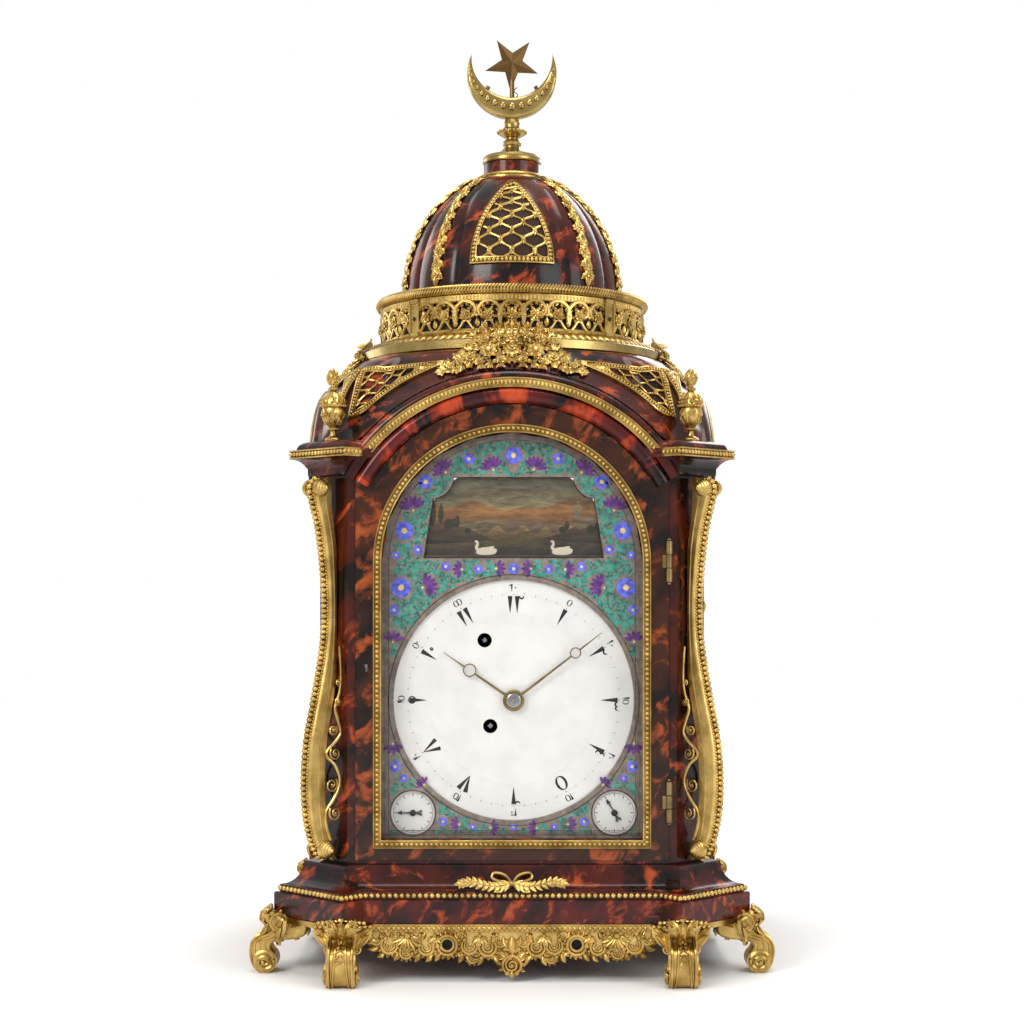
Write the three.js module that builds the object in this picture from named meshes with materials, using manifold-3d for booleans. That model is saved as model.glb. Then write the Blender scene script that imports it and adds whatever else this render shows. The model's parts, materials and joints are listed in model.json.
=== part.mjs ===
// Musical table clock: shell-veneered case with gilt mounts, domed top, painted mask and white dial.
// Millimetres, +Z up, front towards -Y. The origin is the centre of the footprint on the table.
import * as THREE from "three";
import { mergeVertices } from "three/addons/utils/BufferGeometryUtils.js";
import Module from "manifold-3d";

const wasm = await Module();
wasm.setup();

// Clearances
const GAP = 0.3; // between pieces that are seated on each other
const DOOR_GAP = 0.4; // round a door in its frame
const RUN_GAP = 0.35; // round a turning arbor

// Dial, door and case on plan, from the centre: every other piece takes its place from these
const DIAL_RADIUS = 88;
const GLASS_HALF = DIAL_RADIUS + 7; // half width of the glass that shows
const DOOR_HALF = GLASS_HALF + 19;
const BODY_HALF = DOOR_HALF + 6; // half distance between the front face's corner edges
const BODY_REACH = BODY_HALF + 22; // to the case's front and side faces
const BODY_HEIGHT = 2 * DIAL_RADIUS + 107.2;
const CASE_WALL = 16;

// Plan of plinth and cornice: a square with projecting chamfered corners
const CORNER_HALF = BODY_HALF + 1; // half distance between the two front corner edges
const PLINTH_REACH = BODY_REACH + 34; // to a front corner edge of the base block
const CORNER_STEP = 14.35; // how far the corners project in front of the plinth's face

// Heights of the case
const FOOT_HEIGHT = 40.7;
const BLOCK_HEIGHT = 17.3;
const BEAD_STRIP_HEIGHT = 5.7;
const PLINTH_COVE_HEIGHT = 17.5;
const PLINTH_TOP_REACH = BODY_REACH + 12;
const PLINTH_BOARD = 9; // thickness of the bottom board
const PLINTH_WELL_HALF = BODY_REACH - CASE_WALL - 10; // half width of the hollow in the plinth

// Cornice and arches
const CORNICE_FOOT_REACH = BODY_REACH + 8.7;
const CORNICE_BEAD_REACH = CORNICE_FOOT_REACH + 14.8;
const CORNICE_SLAB_REACH = CORNICE_FOOT_REACH + 7.3;
const CORNICE_TOP_REACH = CORNICE_FOOT_REACH + 0.3;
const CORNICE_HEIGHT = 25.2;
const CORNICE_WELL_HALF = BODY_REACH - 24;
const ARCH_RADIUS = BODY_HALF + GAP; // inside of the arch mouldings
const ARCH_OUTER = ARCH_RADIUS + 23.7; // outside of the arch mouldings
const ARCH_FRONT = BODY_REACH + 10; // how far forward the arch's bead strip stands
const ARCH_BEAD_RADIUS = ARCH_RADIUS + 14.7;
const ARCH_BEAD_WIDTH = 5.8;
const ARCH_SHELF = 14; // how far the arch mouldings reach back over the case walls

// Roof and its frets
const ROOF_FACE_REACH = BODY_REACH;
const ROOF_CORNER = BODY_HALF + 4;
const ROOF_WALL = 6;
const FRET_THICK = 1.8;
const FRET_STAND = 0.9; // off the roof's true surface, clear of its facets
const FRET_TIP = 0.42; // where a fret ends along the side, as a share of the half side

// Drum band, gallery and dome
const BAND_RADIUS = ROOF_CORNER - 4;
const BAND_INNER = BAND_RADIUS - 20;
const BAND_PLAIN_HEIGHT = 7.7;
const BAND_LEAF_HEIGHT = 6;
const BAND_TOP_RADIUS = BAND_RADIUS - 12;
const FRIEZE_RADIUS = BAND_TOP_RADIUS - 4;
const FRIEZE_WALL = 3;
const FRIEZE_HEIGHT = 28.5;
const FRIEZE_PANELS = 16;
const FRIEZE_PANEL_WIDTH = 26;
const FRIEZE_PANEL_HEIGHT = 18;
const FRIEZE_PANEL_DEPTH = 1.2; // the pierced scrollwork stands on this sunk ground
const ROPE_RADIUS = FRIEZE_RADIUS + 4.5;
const ROPE_HEIGHT = 7.5;
const DOME_RADIUS = FRIEZE_RADIUS - 17;
const ROPE_INNER = DOME_RADIUS - 8;
const DOME_SEMI = 103; // vertical half axis of the dome's ellipse
const DOME_RISE = 96;
const DOME_WALL = 5;
const DOME_LOBE = 0.035; // depth of the valleys between the lobes
const DOME_EYE = 17; // radius of the opening under the finial
const VENT_HALF = 32;
const VENT_BOTTOM = 18; // above the dome's foot
const VENT_TOP = 89;
const VENT_THICK = 3;
const GARLAND_HALF = 4; // half width of a garland
const GARLAND_THICK = 5;
const GARLAND_FOOT = 6; // above the dome's foot
const BOUQUET_THICK = 5;
const BOUQUET_STAND = 0.8; // off the roof's true surface, clear of its facets
const BOUQUET_HALF = 55.8;
const BOUQUET_RISE = 24; // above the roof's rim

// Finial
const COLLAR_RADIUS = 27.5;
const COLLAR_HEIGHT = 5.5;
const DRUM_RADIUS = 22.6;
const DRUM_HEIGHT = 15;
const CAP_RADIUS = 24.2;
const STEM_HEIGHT = 36;
const CRESCENT_RADIUS = 36.2;
const CRESCENT_INNER = 32.2;
const CRESCENT_LIFT = 13.5; // inner circle's centre above the outer one's
const CRESCENT_DEPTH = 10;
const STAR_RADIUS = 22.5;
const STAR_INNER = 8.8;
const STAR_DEPTH = 4.5;
const STAR_LIFT = 27.6; // star's centre above the inside of the crescent
const STAR_STEM = 1.95;
const STAR_TURN = -3; // degrees

// Urns
const URN_PLACE = CORNICE_TOP_REACH - 19.6;
const URN_RADIUS = 10.3;
const URN_HEIGHT = 54;

// Consoles
const CONSOLE_WIDTH = 11.4;
const CONSOLE_WAIST = BODY_REACH - 4.5;
const CONSOLE_BELLY = BODY_REACH + 9.3;
const CONSOLE_HEAD = BODY_REACH + 5;

// Feet and aprons
const LEG_WIDTH = 20;
const VOLUTE_WIDTH = 33;
const FOOT_REACH = PLINTH_REACH + 16;
const APRON_HALF = CORNER_HALF - 20;
const APRON_THICK = 3;
const APRON_PLACE = PLINTH_REACH - 14;

// Doors
const DOOR_FACE = BODY_REACH + 2; // from the centre to a door's outer face
const DOOR_THICK = 12;
const DOOR_RADIUS = ARCH_RADIUS - 2 * DOOR_GAP;
const GLASS_THICK = 2;
const REBATE = 3.5;
const BEZEL_WIDTH = 6.2;
const BEZEL_THICK = 2.7;
const HINGE_X = DOOR_HALF + 0.2;
const HINGE_Y = -(DOOR_FACE + 1.6);
const HINGE_RADIUS = 2.4;
const HINGE_PIN = 1;
const HINGE_HEIGHT = 30;
const BOLT_LENGTH = 8;
const BOLT_HEIGHT = 6;
const BOLT_THROW = 5;

// Mask, dials and hands
const DIAL_X = 1.2;
const DIAL_FLANGE = DIAL_RADIUS + 2.5;
const DIAL_CROWN = 3;
const DIAL_THICK = 2.2;
const MASK_FACE = BODY_REACH - CASE_WALL - GAP; // from the centre to the mask's front
const MASK_THICK = 1.8;
const MASK_HALF = GLASS_HALF + 9;
const SMALL_DIAL_X = DIAL_RADIUS - 13.7;
const SMALL_DIAL_RADIUS = 16;
const SMALL_DIAL_FLANGE = SMALL_DIAL_RADIUS + 2;
const WINDING_RADIUS = 5.3;
const GOING_X = DIAL_X - 17.2;
const MUSIC_X = DIAL_X - 21.4;
const MINUTE_LENGTH = DIAL_RADIUS - 6;
const MINUTE_ANGLE = 52.5;
const MINUTE_RING = MINUTE_LENGTH - 24.6;
const HOUR_LENGTH = DIAL_RADIUS - 25.7;
const HOUR_ANGLE = 304.4;
const HOUR_RING = HOUR_LENGTH - 23.1;
const HAND_THICK = 1.2;
const MINUTE_ARBOR = 1.8;
const HOUR_PIPE = 3.2;
const DIAL_HOLE = 3.6;
const SMALL_HAND_LENGTH = 12;
const SMALL_ARBOR = 1.1;
const STRIKE_ANGLE = 270;
const TUNE_ANGLE = 330;
const OPENING_HALF = GLASS_HALF - 27.5;
const OPENING_TOP_HALF = OPENING_HALF - 21.8;
const OPENING_NOTCH_HALF = OPENING_HALF - 6.9;
const STRIP_THICK = 1.2;
const STRIP_TRAVEL = 8; // to each side
const STRIP_HALF = OPENING_HALF + STRIP_TRAVEL;

// Movement
const PLATE_HALF = 65;
const PLATE_THICK = 3;
const FRONT_PLATE = MASK_FACE - 21.7; // from the centre to the front plate's front
const BACK_PLATE = 22; // from the centre to the back plate's front
const PILLAR_RADIUS = 4.5;
const ARBOR_RADIUS = 2.9;
const SEAT_THICK = 9;
const SEAT_DEPTH = 172;
const FUSEE_LARGE = 20;
const FUSEE_SMALL = 10;
const GREAT_WHEEL = 24;
const MUSIC_WHEEL = 38;
const WHEEL_THICK = 3;
const BARREL_X = DIAL_X + 41.1;
const BARREL_RADIUS = 20;
const BARREL_WHEEL = 25;
const BELL_ROD = 3;
const BELL_COUNT = 4;
const BELL_LARGE = 26;
const BELL_STEP = 2.2; // each bell is this much smaller than the last
const BELL_PITCH = 24;
const PENDULUM_LENGTH = 118;
const BOB_RADIUS = 19;
const PIVOT_RADIUS = 1.4;
const HAMMER_X = 46;
const KNOB_ROD = 2.2;
const KNOB_RADIUS = 6;
const KNOB_TRAVEL = 8;

// Heights that follow from the sizes above
const PLINTH_BOTTOM = FOOT_HEIGHT + GAP;
const BLOCK_TOP = PLINTH_BOTTOM + BLOCK_HEIGHT;
const COVE_BOTTOM = BLOCK_TOP + BEAD_STRIP_HEIGHT;
const PLINTH_TOP = COVE_BOTTOM + PLINTH_COVE_HEIGHT;
const BODY_BOTTOM = PLINTH_TOP + GAP;
const BODY_TOP = BODY_BOTTOM + BODY_HEIGHT;
const CORNICE_BOTTOM = BODY_TOP + GAP;
const CORNICE_TOP = CORNICE_BOTTOM + CORNICE_HEIGHT;
const ROOF_BOTTOM = CORNICE_TOP + GAP;
const ARCH_CENTRE = BODY_TOP - 68; // of every arch
const ROOF_TOP = ARCH_CENTRE + ARCH_OUTER + 19.5;
const BAND_BOTTOM = ROOF_TOP + GAP;
const BAND_TOP = BAND_BOTTOM + BAND_PLAIN_HEIGHT + BAND_LEAF_HEIGHT;
const FRIEZE_BOTTOM = BAND_TOP + GAP;
const FRIEZE_TOP = FRIEZE_BOTTOM + FRIEZE_HEIGHT;
const ROPE_TOP = FRIEZE_TOP + ROPE_HEIGHT;
const DOME_FOOT = ROPE_TOP + GAP;
const DOME_TOP = DOME_FOOT + DOME_RISE;
const DRUM_BOTTOM = DOME_TOP + GAP;
const STEM_BOTTOM = DRUM_BOTTOM + DRUM_HEIGHT + GAP;
const CRESCENT_BOTTOM = STEM_BOTTOM + STEM_HEIGHT + GAP;
const DOOR_BOTTOM = BODY_BOTTOM + 2.7;
const DOOR_SHOULDER = BODY_TOP - 1;
const GLASS_BOTTOM = DOOR_BOTTOM + 15;
const GLASS_CENTRE = ARCH_CENTRE + 4;
const HINGE_PLACES = [GLASS_BOTTOM + 12.5, GLASS_CENTRE - 14]; // bottoms of the two hinges
const DIAL_Z = GLASS_BOTTOM + DIAL_RADIUS + 12.5;
const LOCK_HEIGHT = DIAL_Z + 24;
const SMALL_DIAL_Z = DIAL_Z - DIAL_RADIUS + 4.8;
const GOING_Z = DIAL_Z - 19.1;
const MUSIC_Z = DIAL_Z + 44.2;
const BARREL_Z = DIAL_Z + 32;
const OPENING_BOTTOM = GLASS_CENTRE + 4;
const OPENING_TOP = GLASS_CENTRE + GLASS_HALF - 31.7;
const OPENING_NOTCH = OPENING_TOP - 15.9;
const STRIP_BOTTOM = GLASS_CENTRE - 4;
const SEAT_TOP = DIAL_Z - 74;
const PLATE_BOTTOM = SEAT_TOP + GAP;
const PLATE_TOP = DIAL_Z + 82;
const BELL_ROD_Z = PLATE_TOP + 44;
const PENDULUM_Z = PLATE_TOP - 6;
const KNOB_Z = DIAL_Z + 68;
const CAVITY_HALF = BODY_REACH - CASE_WALL;
const FRAME_FACE = DOOR_FACE - DOOR_THICK - GAP; // front of the case wall behind a door

// Materials

function finish(color, roughness, metalness, opacity = 1) {
  return new THREE.MeshStandardMaterial({
    color,
    roughness,
    metalness,
    opacity,
    transparent: opacity < 1,
  });
}

const shell = finish(0x4a1c14, 0.2, 0);
const gilt = finish(0xc8a04b, 0.35, 1);
const brass = finish(0xb08d45, 0.4, 1);
const steel = finish(0x55555c, 0.35, 1);
const bronze = finish(0x7a6038, 0.45, 1);
const enamel = finish(0xf0eee8, 0.15, 0);
const painted = finish(0x4f7f78, 0.4, 0);
const scenery = finish(0x8a6a45, 0.5, 0);
const clearGlass = finish(0xe8f0f0, 0.05, 0, 0.25);
const bellMetal = finish(0xc9b27a, 0.3, 1);

// Solids and meshes

function solid(geometry) {
  const bare = geometry.index ? geometry.toNonIndexed() : geometry.clone();
  bare.deleteAttribute("normal");
  bare.deleteAttribute("uv");
  const merged = mergeVertices(bare, 1e-3);
  const corners = merged.index.array;
  const triVerts = [];
  for (let i = 0; i < corners.length; i += 3) {
    const [a, b, c] = [corners[i], corners[i + 1], corners[i + 2]];
    if (a !== b && b !== c && c !== a) triVerts.push(a, b, c);
  }
  const build = (list) =>
    new wasm.Manifold(
      new wasm.Mesh({
        numProp: 3,
        vertProperties: merged.attributes.position.array,
        triVerts: new Uint32Array(list),
      }),
    );
  const made = build(triVerts);
  if (made.volume() > 0) return made;
  const turned = [];
  for (let i = 0; i < triVerts.length; i += 3) {
    turned.push(triVerts[i], triVerts[i + 2], triVerts[i + 1]);
  }
  return build(turned);
}

function geometryOf(made) {
  const { vertProperties, triVerts } = made.getMesh();
  const geometry = new THREE.BufferGeometry();
  geometry.setAttribute("position", new THREE.BufferAttribute(new Float32Array(vertProperties), 3));
  geometry.setIndex(new THREE.BufferAttribute(new Uint32Array(triVerts), 1));
  geometry.computeVertexNormals();
  return geometry;
}

function join(...solids) {
  return solids.reduce((whole, next) => whole.add(next));
}

function cut(from, ...tools) {
  return tools.reduce((whole, tool) => whole.subtract(tool), from);
}

const clock = new THREE.Group();

function place(name, made, material, quarterTurns = 0) {
  const mesh = new THREE.Mesh(geometryOf(made), material);
  mesh.name = name;
  mesh.rotation.z = (quarterTurns * Math.PI) / 2;
  clock.add(mesh);
}

// Shapes

function shapeOf(points) {
  return new THREE.Shape(points.map(([a, b]) => new THREE.Vector2(a, b)));
}

function extruded(outline, depth, holes) {
  const shape = shapeOf(outline);
  shape.holes = holes.map((hole) => new THREE.Path(hole.map(([a, b]) => new THREE.Vector2(a, b))));
  return new THREE.ExtrudeGeometry(shape, { depth, bevelEnabled: false, steps: 1 });
}

// Outline in X and Y, between two heights.
function slabZ(outline, low, high, holes = []) {
  return solid(extruded(outline, high - low, holes).translate(0, 0, low));
}

// Outline in X and Z, between two values of Y.
function slabY(outline, front, back, holes = []) {
  return solid(
    extruded(outline, back - front, holes).rotateX(Math.PI / 2).translate(0, back, 0),
  );
}

// Outline in Y and Z, between two values of X.
function slabX(outline, left, right, holes = []) {
  const turn = new THREE.Matrix4().makeBasis(
    new THREE.Vector3(0, 1, 0),
    new THREE.Vector3(0, 0, 1),
    new THREE.Vector3(1, 0, 0),
  );
  return solid(extruded(outline, right - left, holes).applyMatrix4(turn).translate(left, 0, 0));
}

function rectangle(a0, a1, b0, b1) {
  return [
    [a0, b0],
    [a1, b0],
    [a1, b1],
    [a0, b1],
  ];
}

function block(x0, x1, y0, y1, z0, z1) {
  return slabZ(rectangle(x0, x1, y0, y1), z0, z1);
}

function arc(centreA, centreB, radius, from, to, steps) {
  const points = [];
  for (let i = 0; i <= steps; i++) {
    const angle = THREE.MathUtils.degToRad(from + ((to - from) * i) / steps);
    points.push([centreA + radius * Math.cos(angle), centreB + radius * Math.sin(angle)]);
  }
  return points;
}

function circle(centreA, centreB, radius, steps) {
  return arc(centreA, centreB, radius, 0, 360 - 360 / steps, steps - 1);
}

// A closed profile of [radius, height] turned round a vertical axis at (x, y).
function turnedZ(profile, segments, x = 0, y = 0) {
  const points = profile.map(([r, h]) => new THREE.Vector2(r, h));
  const geometry = new THREE.LatheGeometry(points, segments).rotateX(Math.PI / 2);
  return solid(geometry.translate(x, y, 0));
}

// A closed profile of [radius, y] turned round an axis along Y at (x, z).
function turnedY(profile, segments, x, z) {
  const points = profile.map(([r, h]) => new THREE.Vector2(r, h));
  return solid(new THREE.LatheGeometry(points, segments).translate(x, 0, z));
}

// A closed profile of [radius, x] turned round an axis along X at (y, z).
function turnedX(profile, segments, y, z) {
  const points = profile.map(([r, h]) => new THREE.Vector2(r, h));
  const geometry = new THREE.LatheGeometry(points, segments).rotateZ(-Math.PI / 2);
  return solid(geometry.translate(0, y, z));
}

function rodProfile(radius, from, to) {
  return [
    [0, from],
    [radius, from],
    [radius, to],
    [0, to],
  ];
}

function tubeProfile(inner, outer, from, to) {
  return [
    [inner, from],
    [outer, from],
    [outer, to],
    [inner, to],
    [inner, from],
  ];
}

function meshSolid(positions, index) {
  const geometry = new THREE.BufferGeometry();
  geometry.setAttribute("position", new THREE.Float32BufferAttribute(positions, 3));
  geometry.setIndex(index);
  return solid(geometry);
}

// A closed body from rings of points that all have the same count, capped at both ends.
function loft(rings) {
  const count = rings[0].length;
  const positions = rings.flat(2);
  const index = [];
  for (let r = 0; r + 1 < rings.length; r++) {
    for (let i = 0; i < count; i++) {
      const a = r * count + i;
      const b = r * count + ((i + 1) % count);
      index.push(a, b, b + count, a, b + count, a + count);
    }
  }
  const last = (rings.length - 1) * count;
  const flat = (ring) => ring.map(([x, y]) => new THREE.Vector2(x, y));
  for (const [i, j, k] of THREE.ShapeUtils.triangulateShape(flat(rings[0]), [])) {
    index.push(i, k, j);
  }
  for (const [i, j, k] of THREE.ShapeUtils.triangulateShape(flat(rings[rings.length - 1]), [])) {
    index.push(last + i, last + j, last + k);
  }
  return meshSolid(positions, index);
}

// A closed hollow body from rings of points, the last joined to the first.
function closedRings(rings, count) {
  const index = [];
  for (let r = 0; r < rings.length; r++) {
    const next = (r + 1) % rings.length;
    for (let i = 0; i < count; i++) {
      const j = (i + 1) % count;
      const [a, b] = [r * count + i, r * count + j];
      const [c, d] = [next * count + j, next * count + i];
      index.push(a, b, c, a, c, d);
    }
  }
  return meshSolid(rings.flat(2), index);
}

// A thick sheet over a grid of points: its inner side stands off the grid, its outer side further.
function sheet(grid, standOff, thickness) {
  const rows = grid.length;
  const columns = grid[0].length;
  const normalAt = (r, c) => {
    const along = grid[r][Math.min(c + 1, columns - 1)]
      .clone()
      .sub(grid[r][Math.max(c - 1, 0)]);
    const up = grid[Math.min(r + 1, rows - 1)][c].clone().sub(grid[Math.max(r - 1, 0)][c]);
    return along.cross(up).normalize();
  };
  const layer = (offset) =>
    grid.map((row, r) =>
      row.map((point, c) => point.clone().addScaledVector(normalAt(r, c), offset)),
    );
  const positions = [layer(standOff), layer(standOff + thickness)]
    .flat(2)
    .flatMap((p) => [p.x, p.y, p.z]);
  const at = (level, r, c) => level * rows * columns + r * columns + c;
  const index = [];
  const quad = (a, b, c, d) => index.push(a, b, c, a, c, d);
  for (let r = 0; r + 1 < rows; r++) {
    for (let c = 0; c + 1 < columns; c++) {
      quad(at(1, r, c), at(1, r, c + 1), at(1, r + 1, c + 1), at(1, r + 1, c));
      quad(at(0, r, c), at(0, r + 1, c), at(0, r + 1, c + 1), at(0, r, c + 1));
    }
  }
  for (let c = 0; c + 1 < columns; c++) {
    quad(at(0, 0, c), at(0, 0, c + 1), at(1, 0, c + 1), at(1, 0, c));
    const top = rows - 1;
    quad(at(0, top, c + 1), at(0, top, c), at(1, top, c), at(1, top, c + 1));
  }
  for (let r = 0; r + 1 < rows; r++) {
    quad(at(0, r + 1, 0), at(0, r, 0), at(1, r, 0), at(1, r + 1, 0));
    const side = columns - 1;
    quad(at(0, r, side), at(0, r + 1, side), at(1, r + 1, side), at(1, r, side));
  }
  return meshSolid(positions, index);
}

// The plan at a level whose front corner edges lie `reach` from the centre.
function cornerPlan(reach) {
  const offset = (reach - PLINTH_REACH) / Math.SQRT2;
  const step = CORNER_STEP + offset * (Math.SQRT2 - 1);
  const corner = [
    [CORNER_HALF - step, -(reach - step)],
    [CORNER_HALF, -reach],
    [reach, -CORNER_HALF],
    [reach - step, -(CORNER_HALF - step)],
  ];
  return roundTheSides(corner);
}

// Repeats a corner's outline on all four corners.
function roundTheSides(corner) {
  const points = [];
  for (let k = 0; k < 4; k++) {
    for (const [x, y] of corner) points.push(turnPoint(x, y, k));
  }
  return points;
}

function turnPoint(x, y, quarterTurns) {
  return [
    [x, y],
    [-y, x],
    [-x, -y],
    [y, -x],
  ][quarterTurns];
}

function mouldedRing(levels) {
  return loft(levels.map(([reach, z]) => cornerPlan(reach).map(([x, y]) => [x, y, z])));
}

// Feet: two scroll legs under each corner, mirrored across the corner's diagonal

function footLeg() {
  const out = FOOT_REACH;
  const knee = PLINTH_REACH + GAP + 0.2;
  const profile = [
    [-(out - 42), FOOT_HEIGHT],
    [-(out - 42), FOOT_HEIGHT - 14],
    [-(out - 35), 24.8],
    [-(out - 23), 23.2],
    [-(out - 15), 18],
    [-(out - 18.8), 11],
    [-(out - 18), 4],
    [-(out - 14), 0],
    [-(out - 7), 0],
    [-(out - 2.4), 3],
    [-out, 10],
    [-(out - 0.4), 17],
    [-(out - 3.4), 25.5],
    [-(out - 14.6), 33.4],
    [-(out - 8.6), 40],
    [-(out - 11.4), FOOT_HEIGHT + 4],
    [-knee, FOOT_HEIGHT + 4.4],
    [-knee, FOOT_HEIGHT],
  ];
  const leg = slabX(profile, CORNER_HALF - LEG_WIDTH / 2, CORNER_HALF + LEG_WIDTH / 2);
  const eyes = turnedX(
    rodProfile(5.2, CORNER_HALF - VOLUTE_WIDTH / 2, CORNER_HALF + VOLUTE_WIDTH / 2),
    6,
    -(out - 9.6),
    8.6,
  );
  const spread = loft([
    rectangle(CORNER_HALF - 8, CORNER_HALF + 8, -(out - 12), -(out - 20)).map(([x, y]) => [x, y, 20]),
    rectangle(CORNER_HALF - 17, CORNER_HALF + 17, -(out - 19), -(out - 36)).map(([x, y]) => [
      x,
      y,
      FOOT_HEIGHT,
    ]),
  ]);
  return join(leg, eyes, spread);
}

function mirroredAcrossCorner(made) {
  const swap = new THREE.Matrix4().set(0, -1, 0, 0, -1, 0, 0, 0, 0, 0, 1, 0, 0, 0, 0, 1);
  return solid(geometryOf(made).applyMatrix4(swap));
}

function foot() {
  const leg = footLeg();
  const near = CORNER_HALF - 17;
  const plate = slabZ(
    [
      [near, -(PLINTH_REACH - 17)],
      [CORNER_HALF, -(PLINTH_REACH - 1)],
      [PLINTH_REACH - 1, -CORNER_HALF],
      [PLINTH_REACH - 17, -near],
      [PLINTH_REACH - 36, -near],
      [near, -(PLINTH_REACH - 36)],
    ],
    FOOT_HEIGHT - 4,
    FOOT_HEIGHT,
  );
  return join(leg, mirroredAcrossCorner(leg), plate);
}

const CORNERS = ["front_right", "back_right", "back_left", "front_left"];
const SIDES = ["front", "right", "back", "left"];

const footSolid = foot();
CORNERS.forEach((name, k) => place(`foot_${name}`, footSolid, gilt, k));

// Aprons: a bead strip over pierced scrolls, lowest at the middle volute

function apron() {
  const half = [
    [APRON_HALF, 28],
    [94, 22],
    [78, 20],
    [60, 18.5],
    [45, 15.5],
    [30, 18],
    [15, 11.5],
    [6, 5],
  ];
  const scallops = [...half.map(([x, z]) => [-x, z]), ...half.slice().reverse()];
  const outline = [...scallops, [APRON_HALF, FOOT_HEIGHT - 4], [-APRON_HALF, FOOT_HEIGHT - 4]];
  const holes = [-1, 1].flatMap((s) => [circle(s * 44, 26, 4.2, 6), circle(s * 76, 29, 3.6, 6)]);
  const plate = slabY(outline, -APRON_PLACE, -(APRON_PLACE - APRON_THICK), holes);
  const strip = block(
    -APRON_HALF,
    APRON_HALF,
    -(APRON_PLACE + 1.5),
    -(APRON_PLACE - APRON_THICK - 1),
    FOOT_HEIGHT - 4.7,
    FOOT_HEIGHT,
  );
  return join(plate, strip);
}

const apronSolid = apron();
SIDES.forEach((name, k) => place(`apron_${name}`, apronSolid, gilt, k));

// Plinth: base block, bead recess and a cove up to the case, with a well inside

function plinth() {
  const coveSteps = 5;
  const beadReach = PLINTH_REACH - 4.5;
  const levels = [
    [PLINTH_REACH, PLINTH_BOTTOM],
    [PLINTH_REACH, BLOCK_TOP],
    [beadReach, BLOCK_TOP + 0.7],
    [beadReach, COVE_BOTTOM],
  ];
  for (let i = 1; i <= coveSteps; i++) {
    const angle = (i / coveSteps) * (Math.PI / 2);
    const reach = beadReach - (beadReach - PLINTH_TOP_REACH) * Math.sin(angle);
    levels.push([reach, COVE_BOTTOM + PLINTH_COVE_HEIGHT * (1 - Math.cos(angle))]);
  }
  const well = PLINTH_WELL_HALF;
  return cut(
    mouldedRing(levels),
    block(-well, well, -well, well, PLINTH_BOTTOM + PLINTH_BOARD, PLINTH_TOP + 10),
  );
}

place("plinth", plinth(), shell);

// Arched outlines shared by the case, doors, glass and mask

function roundArch(half, bottom, centre, steps, x = 0) {
  return [[x - half, bottom], [x + half, bottom], ...arc(x, centre, half, 0, 180, steps)];
}

function shoulderedArch(half, bottom, shoulder, radius, steps) {
  const start = THREE.MathUtils.radToDeg(Math.asin((shoulder - ARCH_CENTRE) / radius));
  return [
    [-half, bottom],
    [half, bottom],
    [half, shoulder],
    ...arc(0, ARCH_CENTRE, radius, start, 180 - start, steps),
    [-half, shoulder],
  ];
}

// Case: chamfered walls with arched tops, a recess and an opening for each door, and the seat board

const ARCH_STEPS = 10;
const DOOR_OPENING_HALF = GLASS_HALF + 1;

function doorOutline(spare) {
  return shoulderedArch(
    DOOR_HALF + spare,
    DOOR_BOTTOM - spare,
    DOOR_SHOULDER + spare,
    DOOR_RADIUS + spare,
    ARCH_STEPS,
  );
}

function hingePart(from, to, leafTo) {
  const knuckle = turnedZ(rodProfile(HINGE_RADIUS, from, to), 8, HINGE_X, HINGE_Y);
  if (leafTo === undefined) return knuckle;
  const leafFace = HINGE_Y + 1.1;
  return join(
    knuckle,
    block(HINGE_X + 0.7, leafTo, leafFace, -BODY_REACH + 0.5, from, to),
  );
}

function fixedHinges() {
  const third = HINGE_HEIGHT / 3;
  const parts = HINGE_PLACES.flatMap((z) => [
    hingePart(z, z + third, BODY_HALF - 0.5),
    hingePart(z + 2 * third, z + 3 * third, BODY_HALF - 0.5),
    turnedZ(rodProfile(HINGE_PIN, z + 1, z + HINGE_HEIGHT - 1), 6, HINGE_X, HINGE_Y),
  ]);
  return join(...parts);
}

function halfTurn(made) {
  return solid(geometryOf(made).rotateZ(Math.PI));
}

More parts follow.
